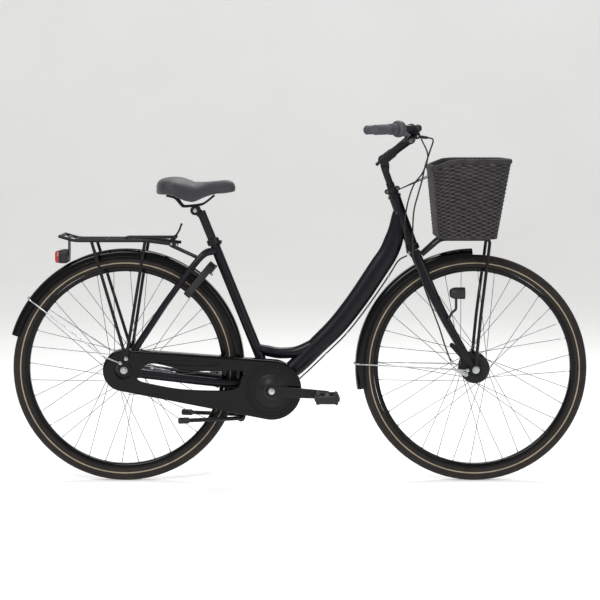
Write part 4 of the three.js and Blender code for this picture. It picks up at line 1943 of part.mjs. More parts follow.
// The right crank: its dished body covers the middle of the chaincase and its boss carries the chainring.
function rightCrank() {
    const bossEnd = CHAIN_LINE - SPROCKET_THICKNESS;
    const dish = turned(BRACKET, [
        [0, -CRANK_DISH_Y],
        [CRANK_DISH_RADIUS, -CRANK_DISH_Y],
        [CRANK_DISH_RADIUS, -CRANK_DISH_Y - CRANK_DISH_RIM / 2],
        [CRANK_DISH_RADIUS - CRANK_DISH_RIM * 2, -CRANK_DISH_Y - CRANK_DISH_RIM],
        [CRANK_DISH_RADIUS / 2, -CRANK_FACE_Y - CRANK_THICKNESS / 2],
        [0, -CRANK_FACE_Y - CRANK_THICKNESS / 2],
    ], DISC_SIDES);
    const boss = rod(
        at(BRACKET.x, -CRANK_FACE_Y, BRACKET.z),
        at(BRACKET.x, -bossEnd, BRACKET.z),
        CRANK_BOSS_RADIUS,
        CRANK_BOSS_RADIUS,
        ROUND_SIDES,
    );
    return cut(join([crankArm(-1), dish, boss]), [crankBore()]);
}

function leftCrank() {
    const boss = rod(
        at(BRACKET.x, CRANK_FACE_Y - CRANK_THICKNESS, BRACKET.z),
        at(BRACKET.x, CRANK_FACE_Y + CRANK_THICKNESS, BRACKET.z),
        LEFT_BOSS_RADIUS,
        CRANK_BOSS_RADIUS,
    );
    return cut(crankArm(1).add(boss), [crankBore()]);
}

// A pedal: a barrel about its axle between two ribbed side rails with end bars.
function pedal(side) {
    const tip = crankPlace(side, CRANK_LENGTH);
    const middle = side * (PEDAL_INNER_Y + PEDAL_WIDTH / 2);
    const centre = at(tip.x, middle, tip.z);
    const body = block(centre, PEDAL_LENGTH, PEDAL_WIDTH, PEDAL_HEIGHT);
    const windowLength = (PEDAL_LENGTH - PEDAL_RAIL * 2 - PEDAL_BARREL_RADIUS * 2) / 2;
    const windows = [-1, 1].map((way) => block(
        at(centre.x + way * (PEDAL_BARREL_RADIUS + windowLength / 2), middle, tip.z),
        windowLength,
        PEDAL_WIDTH - PEDAL_RAIL * 2,
        PEDAL_HEIGHT * 2,
    ));
    const corners = [-1, 1].flatMap((way) => [-1, 1].map((lift) => block(
        at(centre.x + (way * PEDAL_LENGTH) / 2, middle, tip.z + (lift * PEDAL_HEIGHT) / 2),
        PEDAL_RAIL / 2,
        PEDAL_WIDTH * 2,
        PEDAL_RAIL / 2,
        TURN / 8,
    )));
    const [start, end] = [middle - PEDAL_WIDTH, middle + PEDAL_WIDTH];
    const bore = hole(at(tip.x, start, tip.z), at(tip.x, end, tip.z), PEDAL_AXLE_RADIUS + GAP);
    return cut(body, [...windows, ...corners, bore]);
}

// Seat post and saddle
function seatPost() {
    const bottom = along(SEAT_TOP, SEAT_AXIS, -POST_INSERTION);
    const top = along(SEAT_TOP, SEAT_AXIS, (POST_TOP_Z - SEAT_TOP_Z) / SEAT_AXIS.z);
    const cradle = at(CRADLE_X, 0, CRADLE_Z);
    const half = CRADLE_WIDTH / 2;
    const drum = crossBar(cradle, -half, half, CRADLE_RADIUS, ROUND_SIDES);
    const boltBore = crossBar(cradle, -CRADLE_WIDTH, CRADLE_WIDTH, STEM_BOLT_RADIUS + GAP, TUBE_SIDES);
    const neck = rod(along(top, SEAT_AXIS, -POST_RADIUS), cradle, POST_RADIUS, CRADLE_NECK_RADIUS);
    return cut(join([rod(bottom, top, POST_RADIUS), neck, drum]), [boltBore]);
}

function saddlePlace(runShare, dropShare, aside) {
    const run = SADDLE_NOSE_X - SADDLE_REAR_X;
    return at(SADDLE_REAR_X + run * runShare, aside, SADDLE_TOP_Z - SADDLE_DEPTH * dropShare);
}

function saddle() {
    const rings = SADDLE_RUN_SHARES.map((runShare, k) => {
        const top = saddlePlace(runShare, SADDLE_TOP_SHARES[k], 0);
        const bottom = saddlePlace(runShare, SADDLE_BOTTOM_SHARES[k], 0);
        const half = SADDLE_HALF_WIDTH * SADDLE_WIDTH_SHARES[k];
        const right = SADDLE_SIDE_SHARES.map((share, j) => at(
            top.x,
            half * share,
            THREE.MathUtils.lerp(bottom.z, top.z, SADDLE_HEIGHT_SHARES[j]),
        ));
        const left = right.slice(1, -1).map((spot) => at(spot.x, -spot.y, spot.z)).reverse();
        return [...right, ...left];
    });
    return loft(rings);
}

function saddleRails() {
    const cradle = at(CRADLE_X, 0, CRADLE_Z);
    const parts = [-1, 1].flatMap((side) => {
        const spots = RAIL_RUN_SHARES.map((share, k) => (
            saddlePlace(share, RAIL_DROP_SHARES[k], side * RAIL_Y * RAIL_SPREAD_SHARES[k])
        ));
        const disc = CRADLE_WIDTH / 2 + GAP;
        return [
            tube(spots, RAIL_RADIUS, RAIL_STEPS, THIN_SIDES),
            rod(
                at(cradle.x, side * disc, cradle.z),
                at(cradle.x, side * (disc + CLAMP_DISC_WIDTH), cradle.z),
                CLAMP_DISC_RADIUS,
            ),
        ];
    });
    const reach = CRADLE_WIDTH / 2 + CLAMP_DISC_WIDTH;
    parts.push(rod(at(cradle.x, -reach, cradle.z), at(cradle.x, reach, cradle.z), STEM_BOLT_RADIUS));
    return join(parts);
}

// Double stand, folded back beside the wheel: a pin through its block and a leg with a foot at each side.
function standLegs() {
    const parts = [rod(
        at(STAND_X, -STAND_ROOT_Y, STAND_Z),
        at(STAND_X, STAND_ROOT_Y, STAND_Z),
        STAND_PIN_RADIUS,
    )];
    [-1, 1].forEach((side) => {
        const foot = at(STAND_X + STAND_LEG_RUN, side * STAND_FOOT_Y, STAND_Z);
        const knee = at(STAND_X + STAND_KNEE_RUN, side * STAND_KNEE_Y, STAND_Z);
        parts.push(bentBar([at(STAND_X, side * STAND_ROOT_Y, STAND_Z), knee, foot], STAND_LEG_RADIUS));
        parts.push(ball(at(STAND_X, side * STAND_ROOT_Y, STAND_Z), STAND_PIN_RADIUS + OVERRUN, THIN_SIDES));
        const heading = foot.clone().sub(knee).normalize();
        parts.push(rod(along(foot, heading, -STAND_FOOT_LENGTH), foot, STAND_FOOT_RADIUS));
    });
    return join(parts);
}

function clipPivot() {
    return at(CLIP_PIVOT_X, 0, RACK_Z + RACK_BAR_RADIUS + CLIP_RADIUS + GAP);
}

// The rack's spring clip: a bail hinged at the front bar that lies along the deck, with a raised handle.
function rackClip() {
    const { z } = clipPivot();
    const rear = CLIP_PIVOT_X - CLIP_LENGTH;
    const bail = bentBar([
        at(CLIP_PIVOT_X, -CLIP_HALF_WIDTH, z),
        at(rear, -CLIP_HALF_WIDTH, z),
        at(rear, CLIP_HALF_WIDTH, z),
        at(CLIP_PIVOT_X, CLIP_HALF_WIDTH, z),
    ], CLIP_RADIUS);
    const reach = CLIP_HALF_WIDTH + CLIP_RADIUS + CLIP_EAR * 2;
    const pin = rod(at(CLIP_PIVOT_X, -reach, z), at(CLIP_PIVOT_X, reach, z), CLIP_RADIUS);
    const handle = bentBar([
        at(CLIP_PIVOT_X, 0, z),
        at(CLIP_PIVOT_X + CLIP_HANDLE_RISE / 3, 0, z + CLIP_HANDLE_RISE / 2),
        at(CLIP_PIVOT_X + CLIP_HANDLE_RISE / 2, 0, z + CLIP_HANDLE_RISE),
    ], CLIP_RADIUS);
    return join([bail, pin, handle]);
}

// Cables, with the places of their routes chosen by hand
const BRAKE_CABLE_ROUTE = [
    [388, -168, 1064],
    [404, -150, 1056],
    [396, -118, 1020],
    [384, -92, 975],
    [377, -72, 935],
    [366, -54, 890],
    [354, -44, 840],
    [350, -42, 780],
    [350, -51, 728],
    [352, -64, 690],
    [372, -66, 638],
    [400, -66, 560],
    [430, -66, 480],
    [446, -62, 430],
    [470, -52, 366],
];
const SHIFT_CABLE_UPPER_ROUTE = [
    [368, -150, 1061],
    [390, -124, 1010],
    [378, -89, 958.5],
    [352, -58, 918],
    [334, -44, 860],
    [326, -40, 800],
    [328, -38, 750],
    [334, -34, 706],
];
const SHIFT_CABLE_LOWER_ROUTE = [
    [333, -32, 699],
    [307, -14, 681],
    [278, 0, 633],
    [214, 0, 540],
    [148, 0, 455.5],
    [82, 0, 390.5],
    [16, 0, 327.5],
    [-42, 10, 276],
    [-84, 24, 264.6],
    [-130, 28, 270],
    [-180, 38, 286],
    [-258, 47, 294],
    [-400, 50, 302],
    [-470, 48, 313],
    [-505, 45, 322],
    [-522, 40, 332],
];

function cable(route) {
    return tube(route.map(([x, y, z]) => at(x, y, z)), CABLE_RADIUS, route.length + PLATE_STEPS, THIN_SIDES);
}

// Every sub-part: its name, its solid and its finish
const PARTS = [
    ['head_tube', headTube, 'frameBlack'],
    ['down_tube', downTube, 'frameBlack'],
    ['brace_tube', braceTube, 'frameBlack'],
    ['seat_tube', seatTube, 'frameBlack'],
    ['bottom_bracket_shell', bracketShell, 'frameBlack'],
    ['seat_stays', seatStays, 'frameBlack'],
    ['chain_stays', chainStays, 'frameBlack'],
    ['seat_clamp', seatClamp, 'silver'],
    ['bottom_bracket_bearing', bracketBearing, 'silver'],
    ['chaincase', chaincase, 'glossBlack'],
    ['chain', chain, 'silver'],
    ['mudguard_rear', rearGuard, 'glossBlack'],
    ['mudguard_rear_stay', rearGuardWire, 'silver'],
    ['rack', rack, 'satinBlack'],
    ['rack_strut', rackStrut, 'satinBlack'],
    ['tail_light_body', tailLightBody, 'plasticBlack'],
    ['tail_light_lens', tailLightLens, 'redLens'],
    ['ring_lock_housing', lockHousing, 'plasticBlack'],
    ['lock_shackle', lockShackle, 'silver'],
    ['rear_axle', rearAxle, 'silver'],
    ['shift_cable_lower', () => cable(SHIFT_CABLE_LOWER_ROUTE), 'cableBlack'],
    ['fork', fork, 'frameBlack'],
    ['stem_quill', stemQuill, 'satinBlack'],
    ['headset_bracket', headsetBracket, 'satinBlack'],
    ['mudguard_front', frontGuard, 'glossBlack'],
    ['mudguard_front_stay', frontGuardWire, 'silver'],
    ['front_axle', frontAxle, 'silver'],
    ['drum_brake_plate', drumPlate, 'satinBlack'],
    ['drum_brake_arm', drumArm, 'silver'],
    ['front_carrier', frontCarrier, 'satinBlack'],
    ['basket', basket, 'wickerDark'],
    ['headlight_body', headlightBody, 'plasticBlack'],
    ['headlight_lens', headlightLens, 'clearLens'],
    ['brake_cable', () => cable(BRAKE_CABLE_ROUTE), 'cableBlack'],
    ['shift_cable_upper', () => cable(SHIFT_CABLE_UPPER_ROUTE), 'cableBlack'],
    ['stem_extension', stemExtension, 'satinBlack'],
    ['handlebar', () => handlebarBody(0), 'satinBlack'],
    ['grip_left', leftGrip, 'gripGrey'],
    ['grip_right', rightGrip, 'gripGrey'],
    ['twist_grip', twistGrip, 'gripGrey'],
    ['lever_bracket', leverBracket, 'satinBlack'],
    ['brake_lever', brakeLever, 'satinBlack'],
    ['front_tyre', () => tyre(FRONT_AXLE), 'tyreBlack'],
    ['front_rim', () => rim(FRONT_AXLE), 'glossBlack'],
    ['front_hub_spokes', frontHub, 'silver'],
    ['rear_tyre', () => tyre(REAR_AXLE), 'tyreBlack'],
    ['rear_rim', () => rim(REAR_AXLE), 'glossBlack'],
    ['rear_hub_spokes', rearHub, 'silver'],
    ['rear_sprocket', () => toothedWheel(REAR_AXLE, SPROCKET_TEETH, DRIVER_RADIUS + GAP), 'silver'],
    ['chainring', () => toothedWheel(BRACKET, CHAINRING_TEETH, CRANK_BOSS_RADIUS + GAP), 'silver'],
    ['crank_axle', crankAxle, 'silver'],
    ['crank_right', rightCrank, 'satinBlack'],
    ['crank_left', leftCrank, 'satinBlack'],
    ['pedal_right', () => pedal(-1), 'plasticBlack'],
    ['pedal_left', () => pedal(1), 'plasticBlack'],
    ['seat_post', seatPost, 'satinBlack'],
    ['saddle', saddle, 'saddleGrey'],
    ['saddle_rails', saddleRails, 'satinBlack'],
    ['kickstand_legs', standLegs, 'satinBlack'],
    ['rack_clip', rackClip, 'satinBlack'],
];

function rearWireBolt() {
    return at(REAR_AXLE.x + REAR_WIRE_BOLT_RUN, 0, REAR_AXLE.z + REAR_WIRE_BOLT_RISE);
}

function frontWireBolt() {
    return at(FRONT_AXLE.x + FRONT_WIRE_BOLT_RUN, 0, FRONT_AXLE.z + FRONT_WIRE_BOLT_RISE);
}

function frontHub() {
    const [near, far] = [FRONT_HUB_END_Y, FRONT_HUB_FAR_Y];
    return spokedHub(FRONT_AXLE, FRONT_FLANGE_SPREAD, near, HUB_BARREL_RADIUS, far, FAR_CONE_RADIUS);
}

function rearHub() {
    const [near, far] = [DRIVER_END_Y, REAR_HUB_FAR_Y];
    return spokedHub(REAR_AXLE, REAR_FLANGE_SPREAD, near, DRIVER_RADIUS, far, FAR_CONE_RADIUS);
}

function rearGuard() {
    return mudguard(REAR_AXLE, REAR_GUARD_START_TURN, REAR_GUARD_END_TURN);
}

function frontGuard() {
    return mudguard(FRONT_AXLE, FRONT_GUARD_START_TURN, FRONT_GUARD_END_TURN);
}

function rearGuardWire() {
    return guardWire(REAR_AXLE, rearWireBolt(), REAR_WIRE_Y, DROPOUT_Y, REAR_WIRE_TURN);
}

function frontGuardWire() {
    return guardWire(FRONT_AXLE, frontWireBolt(), FRONT_WIRE_Y, FORK_TIP_Y, FRONT_WIRE_TURN);
}

const bike = new THREE.Group();
for (const [name, make, finish] of PARTS) {
    bike.add(mesh(name, make(), finish));
}

export default bike;
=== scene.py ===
import math
import bpy
import numpy as np
from mathutils import Matrix


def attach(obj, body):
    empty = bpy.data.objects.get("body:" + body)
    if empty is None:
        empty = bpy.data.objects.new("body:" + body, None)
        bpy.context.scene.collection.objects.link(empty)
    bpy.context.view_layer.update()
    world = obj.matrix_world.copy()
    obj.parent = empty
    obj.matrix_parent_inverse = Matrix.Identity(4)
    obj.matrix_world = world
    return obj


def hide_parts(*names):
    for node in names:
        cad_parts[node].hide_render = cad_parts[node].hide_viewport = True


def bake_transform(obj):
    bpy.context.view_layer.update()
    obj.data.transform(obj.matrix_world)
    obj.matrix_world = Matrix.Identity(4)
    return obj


# Step-through city bicycle. Values are in millimetres, and at() and MM turn them into Blender's metres.
# Only the stage, camera and lights are in metres.
MM = 0.001
TURN = 2 * math.pi
SIDES = (-1, 1)  # right and left of the bicycle
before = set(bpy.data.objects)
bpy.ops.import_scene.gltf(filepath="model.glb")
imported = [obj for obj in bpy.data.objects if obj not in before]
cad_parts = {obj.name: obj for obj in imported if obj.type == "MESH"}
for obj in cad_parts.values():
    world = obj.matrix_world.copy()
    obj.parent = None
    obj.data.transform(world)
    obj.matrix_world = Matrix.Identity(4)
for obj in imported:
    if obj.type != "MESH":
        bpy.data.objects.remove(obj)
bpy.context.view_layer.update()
scene = bpy.context.scene
print("frame loaded")


def at(x, y, z):
    return np.array([x, y, z], float) * MM


def unit(vector):
    return vector / np.linalg.norm(vector)


# Places shared by many pieces
rearAxle, frontAxle, bracket = at(-537.8, 0, 350), at(542.8, 0, 350), at(-83.8, 0, 289.7)
headTop, headBottom, seatTop = at(294.8, 0, 885), at(352.3, 0, 723.5), at(-269.3, 0, 745.3)
steerAxis, seatAxis = unit(headTop - headBottom), unit(seatTop - bracket)
headLean = math.atan(0.356)
LATERAL = np.array([0, 1.0, 0])


def along(start, direction, distance):
    return np.asarray(start, float) + np.asarray(direction, float) * distance * MM


def between(start, end, runShare, riseShare, aside=0.0):
    run, rise = end[0] - start[0], end[2] - start[2]
    return np.array([start[0] + run * runShare, aside, start[2] + rise * riseShare])


def around(axle, reach, degrees, aside=0.0):
    turn = math.radians(degrees)
    return axle + at(reach * math.cos(turn), aside, reach * math.sin(turn))


# Paths
def lengthAlong(points):
    return np.concatenate([[0], np.cumsum(np.linalg.norm(np.diff(points, axis=0), axis=1))])


def sampled(points, wanted):
    length = lengthAlong(points)
    return np.stack([np.interp(wanted, length, column) for column in points.T], axis=1)


def eased(count, spots, values):
    return np.interp(np.linspace(0, 1, count), spots, values)


def shareAt(shares, count):
    return eased(count, np.linspace(0, 1, len(shares)), shares)


def smoothPath(points, count, closed=False):
    # Catmull-Rom curve through the points, then evenly spaced by its length
    p = np.asarray(points, float)
    ring = np.vstack([p[-1], p, p[:2]] if closed else [2 * p[0] - p[1], p, 2 * p[-1] - p[-2]])
    t = np.linspace(0, 1, 24, endpoint=False)[:, None]
    a, b, c, d = ring[:-3, None], ring[1:-2, None], ring[2:-1, None], ring[3:, None]
    squared, cubed = 2 * a - 5 * b + 4 * c - d, 3 * b - a - 3 * c + d
    curve = (2 * b + (c - a) * t + squared * t ** 2 + cubed * t ** 3) / 2
    dense = np.vstack([curve.reshape(-1, 3), p[0] if closed else p[-1]])
    last = lengthAlong(dense)[-1]
    return sampled(dense, np.linspace(0, last, count + 1)[:-1] if closed else np.linspace(0, last, count))


def straightPath(points, count, bend=12):
    # straight stretches whose corners are rounded by a quadratic arc of the bend's length
    p = [np.asarray(spot, float) for spot in points]
    t = np.linspace(0, 1, 9)[:, None]
    spots = [p[0]]
    for before, corner, after in zip(p[:-2], p[1:-1], p[2:]):
        room = min(bend * MM, np.linalg.norm(corner - before) / 2.2, np.linalg.norm(after - corner) / 2.2)
        first, last = corner - unit(corner - before) * room, corner + unit(after - corner) * room
        spots.extend((1 - t) ** 2 * first + 2 * t * (1 - t) * corner + t ** 2 * last)
    dense = np.array(spots + [p[-1]])
    length = lengthAlong(dense)
    return sampled(dense, np.unique(np.concatenate([length, np.linspace(0, length[-1], count)])))


def curveBetween(start, end, values, count, side=0):
    # the smooth path whose points are given as shares of the way between two places
    asides = values.get("spreadShares", [0] * len(values["runShares"]))
    spread = side * values.get("spread", 0) * MM
    rows = zip(values["runShares"], values["riseShares"], asides)
    return smoothPath([between(start, end, run, rise, spread * share) for run, rise, share in rows], count)


def ringFrames(points, closed=False):
    # side and up vectors carried along the path without twist
    ahead = np.roll(points, -1, 0) - np.roll(points, 1, 0)
    if not closed:
        ahead[0], ahead[-1] = points[1] - points[0], points[-1] - points[-2]
    ahead /= np.linalg.norm(ahead, axis=1)[:, None]
    side = LATERAL if abs(ahead[0][1]) < 0.8 else np.array([1.0, 0, 0])
    sides = []
    for direction in ahead:
        side = unit(side - direction * side.dot(direction))
        sides.append(side)
    return np.array(sides), np.cross(ahead, np.array(sides))


# Profiles, mirrored about their middle
def bothSides(rows):
    # rows of [radius, lateral place], given for the left half
    return [[radius, -y] for radius, y in rows] + rows[::-1]


def bothEnds(length, rows):
    # rows of [distance, radius], given for the first half
    return rows + [[length - distance, radius] for distance, radius in rows[::-1]]


# Surfaces: each is a dict of vertices, polygons and one UV pair for each polygon corner
def grid(points, closeAcross=True, closeAlong=False, caps=True):
    # points[i, j]: i runs along, j runs across; uv is the length across and along in metres
    rows, sides = points.shape[:2]
    ringCount, sideCount = rows if closeAlong else rows - 1, sides if closeAcross else sides - 1
    i, j = np.meshgrid(np.arange(ringCount), np.arange(sideCount), indexing="ij")
    index = lambda a, b: (a % rows) * sides + b % sides
    quads = np.stack([index(i, j), index(i, j + 1), index(i + 1, j + 1), index(i + 1, j)], -1).reshape(-1, 4)
    closedRows = np.concatenate([points, points[:1]]) if closeAlong else points
    lengths = np.concatenate([[0], np.cumsum(np.linalg.norm(np.diff(closedRows, axis=0), axis=2).mean(1))])
    loop = np.concatenate([points, points[:, :1]], 1)
    across = np.concatenate([[0], np.cumsum(np.linalg.norm(np.diff(loop, axis=1), axis=2).mean(0))])
    u = np.stack([across[j], across[j + 1], across[j + 1], across[j]], -1)
    v = np.stack([lengths[i], lengths[i], lengths[i + 1], lengths[i + 1]], -1)
    polys, corners = quads.tolist(), np.stack([u, v], -1).reshape(-1, 4, 2).tolist()
    if caps and not closeAlong:
        polys.append(list(range(sides))[::-1])
        polys.append(list(range((rows - 1) * sides, rows * sides)))
        corners.extend([[[0, 0]] * sides, [[0, 0]] * sides])
    return {"verts": points.reshape(-1, 3), "polys": polys, "uvs": corners}


def tube(points, halfWidth, halfDepth=None, sides=20, closed=False):
    # round or oval section swept along the points; both sizes may follow the path
    points = np.asarray(points, float)
    count = len(points)
    wide = np.broadcast_to(np.asarray(halfWidth, float) * MM, (count,))
    deep = wide if halfDepth is None else np.broadcast_to(np.asarray(halfDepth, float) * MM, (count,))
    side, up = ringFrames(points, closed)
    turn = np.linspace(0, TURN, sides, endpoint=False)
    ring = side[:, None] * np.cos(turn)[None, :, None] * wide[:, None, None]
    ring = ring + up[:, None] * np.sin(turn)[None, :, None] * deep[:, None, None]
    return grid(points[:, None] + ring, True, closed)


def domed(points, wide, deep, sides=28):
    # an oval tube whose last end is closed by a dome
    tip, heading = points[-1], unit(points[-1] - points[-2])
    steps = np.radians([20, 40, 60, 75, 88])
    extra = tip + heading * (np.sin(steps) * min(wide[-1], deep[-1]) * MM)[:, None]
    sizes = [np.concatenate([size, size[-1] * np.cos(steps)]) for size in (wide, deep)]
    return tube(np.vstack([points, extra]), *sizes, sides)


def revolve(centre, profile, segments=96, startTurn=0.0, endTurn=1.0):
    # profile rows of [radius, lateral place] turned about the lateral axis through the centre
    rows = np.array(profile, float) * MM
    full = endTurn - startTurn >= 1
    turns = np.linspace(startTurn, endTurn, segments, endpoint=not full) * TURN
    x = rows[None, :, 0] * np.cos(turns)[:, None]
    z = rows[None, :, 0] * np.sin(turns)[:, None]
    y = np.broadcast_to(rows[None, :, 1], x.shape)
    return grid(np.stack([x, y, z], -1) + centre, True, full, not full)


def spindle(start, direction, rows, sides=40):
    # profile rows of [distance, radius] turned about the direction from the start
    heading = unit(np.asarray(direction, float))
    side = unit(np.cross(heading, LATERAL if abs(heading[1]) < 0.9 else [1.0, 0, 0]))
    up = np.cross(heading, side)
    sizes = np.array(rows, float) * MM
    turn = np.linspace(0, TURN, sides, endpoint=False)
    ring = side * np.cos(turn)[:, None] + up * np.sin(turn)[:, None]
    return grid(np.asarray(start) + sizes[:, 0, None, None] * heading + sizes[:, 1, None, None] * ring)


def rod(start, end, radius, endRadius=None, sides=24, bevel=0.6):
    # a straight round bar whose ends are rounded off by the bevel
    last = radius if endRadius is None else endRadius
    length = np.linalg.norm(np.asarray(end) - start) / MM
    soft = min(bevel, radius / 2, last / 2, length / 3)
    rows = [[0, radius - soft], [soft * 0.3, radius - soft * 0.3], [soft, radius],
            [length - soft, last], [length - soft * 0.3, last - soft * 0.3], [length, last - soft]]
    return spindle(start, np.asarray(end) - start, rows, sides)


def crossBar(spot, startY, endY, radius, sides=24, bevel=0.6):
    # a rod across the bicycle, from one lateral place to another
    low, high = (np.array([spot[0], y * MM, spot[2]]) for y in sorted((startY, endY)))
    return rod(low, high, radius, sides=sides, bevel=bevel)


def hexNut(spot, startY, endY, radius, washer=1.5):
    # chamfered six-sided nut on a round washer
    way = LATERAL * (1 if endY > startY else -1)
    length = abs(endY - startY)
    base = np.array([spot[0], startY * MM, spot[2]])
    ring = bothEnds(washer, [[0, radius + 1], [0.2, radius + 1.6]])
    body = [[washer, radius - 0.6], [washer + 0.8, radius], [length - 1.2, radius], [length, radius - 1.4]]
    return [spindle(base, way, ring, 32), spindle(base, way, body, 6)]


def ball(centre, radius, sides=20):
    polar = np.linspace(math.pi - 0.02, 0.02, sides // 2 + 2)[:, None]
    turn = np.linspace(0, TURN, sides, endpoint=False)
    ring, rise = np.sin(polar) * radius * MM, np.cos(polar) * radius * MM
    shell = np.stack(np.broadcast_arrays(ring * np.cos(turn), ring * np.sin(turn), rise), -1)
    return grid(np.asarray(centre) + shell)


# Flat outlines in the XZ plane
def arcLoop(centre, radius, angles):
    reach = np.asarray(radius) * MM
    return np.column_stack([centre[0] + reach * np.cos(angles), centre[2] + reach * np.sin(angles)])


def circleLoop(centre, radius, count=48):
    return arcLoop(centre, radius, np.linspace(0, TURN, count, endpoint=False))


def beltLoop(centreA, radiusA, centreB, radiusB, steps=40):
    # outline round two circles and their outer tangents
    reach = np.asarray(centreB) - centreA
    heading = math.atan2(reach[2], reach[0])
    lean = math.acos((radiusA - radiusB) * MM / math.hypot(reach[0], reach[2]))
    sweep = np.linspace(0, 1, steps)
    first = arcLoop(centreA, radiusA, heading + lean + (TURN - 2 * lean) * sweep)
    return np.vstack([first, arcLoop(centreB, radiusB, heading - lean + 2 * lean * sweep)])


def wound(loop, way=1):
    # the loop counter-clockwise, or clockwise where way is -1
    spots = np.asarray(loop, float)
    x, z = spots[:, 0], spots[:, 1]
    area = np.sum(x * np.roll(z, -1) - np.roll(x, -1) * z)
    return spots if area * way > 0 else spots[::-1]


def outwardOf(loop):
    # unit vectors that leave a counter-clockwise loop sideways
    ahead = np.roll(loop, -1, 0) - np.roll(loop, 1, 0)
    outward = np.column_stack([ahead[:, 1], -ahead[:, 0]])
    return outward / np.linalg.norm(outward, axis=1)[:, None]


def resized(loop, extra):
    spots = wound(loop)
    return spots + outwardOf(spots) * extra * MM


def loopSweep(loop, rows):
    # a flat closed outline whose profile rows of [outward, lateral place] give it a section
    spots, sizes = wound(loop)[:, None], np.array(rows, float) * MM
    flat = spots + outwardOf(spots[:, 0])[:, None] * sizes[None, :, :1]
    y = np.broadcast_to(sizes[None, :, 1], flat.shape[:2])
    return grid(np.stack([flat[..., 0], y, flat[..., 1]], -1), True, True)


def linked(obj):
    scene.collection.objects.link(obj)
    return obj


def evaluatedMesh(obj):
    return bpy.data.meshes.new_from_object(obj.evaluated_get(bpy.context.evaluated_depsgraph_get()))


def vectorsOf(mesh, kind="co"):
    flat = np.zeros(len(mesh.vertices) * 3)
    mesh.vertices.foreach_get(kind, flat)
    return flat.reshape(-1, 3)


def outlineMesh(loops, thickness, bevel):
    # a filled curve with a thickness and rounded edges, drawn in XY by Blender
    curve = bpy.data.curves.new("outline", "CURVE")
    curve.dimensions, curve.fill_mode = "2D", "BOTH"
    curve.extrude = max(thickness * MM / 2 - bevel * MM, 0.00001)
    curve.bevel_depth, curve.bevel_resolution, curve.offset = bevel * MM, 2, -bevel * MM
    for loop in loops:
        spline = curve.splines.new("POLY")
        spline.points.add(len(loop) - 1)
        corners = np.column_stack([loop, np.zeros(len(loop)), np.ones(len(loop))])
        spline.points.foreach_set("co", corners.ravel())
        spline.use_cyclic_u = True
    holder = linked(bpy.data.objects.new("outline", curve))
    mesh = evaluatedMesh(holder)
    bpy.data.objects.remove(holder)
    bpy.data.curves.remove(curve)
    return mesh


def plate(outline, nearY, farY, bevel=1.0, holes=()):
    # a flat outline with holes, between two lateral places
    loops = [wound(outline)] + [wound(hole, -1) for hole in holes]
    mesh = outlineMesh(loops, abs(farY - nearY), bevel)
    flat = vectorsOf(mesh)
    verts = np.column_stack([flat[:, 0], (nearY + farY) / 2 * MM - flat[:, 2], flat[:, 1]])
    polys = [list(face.vertices) for face in mesh.polygons]
    bpy.data.meshes.remove(mesh)
    return {"verts": verts, "polys": polys, "uvs": [verts[poly][:, [0, 2]].tolist() for poly in polys]}


def placed(surface, origin, sideVector, upVector, depthVector):
    # carries a surface drawn in XZ with its depth along Y to another plane
    verts = surface["verts"]
    moved = origin + verts[:, :1] * sideVector + verts[:, 2:] * upVector + verts[:, 1:2] * depthVector
    way = 1 if np.linalg.det(np.array([sideVector, depthVector, upVector], float)) > 0 else -1
    polys = [poly[::way] for poly in surface["polys"]]
    return {"verts": moved, "polys": polys, "uvs": [pairs[::way] for pairs in surface["uvs"]]}


# Blocks
def roundedRing(halfWidth, halfHeight, corner, count=6):
    turn = np.radians(np.linspace(0, 90, count))
    spots = []
    for quarter, (w, h) in enumerate([(1, 1), (-1, 1), (-1, -1), (1, -1)]):
        angle = turn + quarter * math.pi / 2
        spots.append(np.column_stack([w * (halfWidth - corner) + corner * np.cos(angle),
                                      h * (halfHeight - corner) + corner * np.sin(angle)]))
    return np.vstack(spots)


def blockLoft(centre, rows, axis="x", turn=0.0):
    # rounded-rectangle sections of [place, half width, half height, corner] along one axis, turned about Y
    rings = []
    for spot, halfWidth, halfHeight, corner in rows:
        wide, high = roundedRing(halfWidth, halfHeight, corner).T
        fill = np.full(len(wide), float(spot))
        rings.append(np.column_stack([fill, wide, high] if axis == "x" else [high, fill, wide]))
    x, y, z = np.moveaxis(np.array(rings) * MM, -1, 0)
    c, s = math.cos(turn), math.sin(turn)
    return grid(np.stack([x * c - z * s, y, x * s + z * c], -1) + centre)


def softBlock(centre, length, width, height, corner, axis="x", turn=0.0):
    # a block with rounded edges all round; length lies along the axis
    soft = corner * 0.6
    rows = []
    for inset, back in ((soft, 0), (soft * 0.4, soft * 0.25), (0, soft)):
        rows.append([back - length / 2, width / 2 - inset, height / 2 - inset, max(corner - inset, 0.3)])
    return blockLoft(centre, rows + [[-row[0]] + row[1:] for row in rows[::-1]], axis, turn)


# Pieces
def merged(surfaces):
    verts, polys, uvs, first = [], [], [], 0
    for item in surfaces:
        verts.append(item["verts"])
        polys.extend([[v + first for v in poly] for poly in item["polys"]])
        uvs.extend(item["uvs"])
        first += len(item["verts"])
    return {"verts": np.vstack(verts), "polys": polys, "uvs": uvs}


def meshObject(name, surface, material):
    mesh = bpy.data.meshes.new(name)
    mesh.from_pydata(surface["verts"].tolist(), [], surface["polys"])
    mesh.polygons.foreach_set("use_smooth", np.ones(len(mesh.polygons), bool))
    mesh.materials.append(material)
    return linked(bpy.data.objects.new(name, mesh))


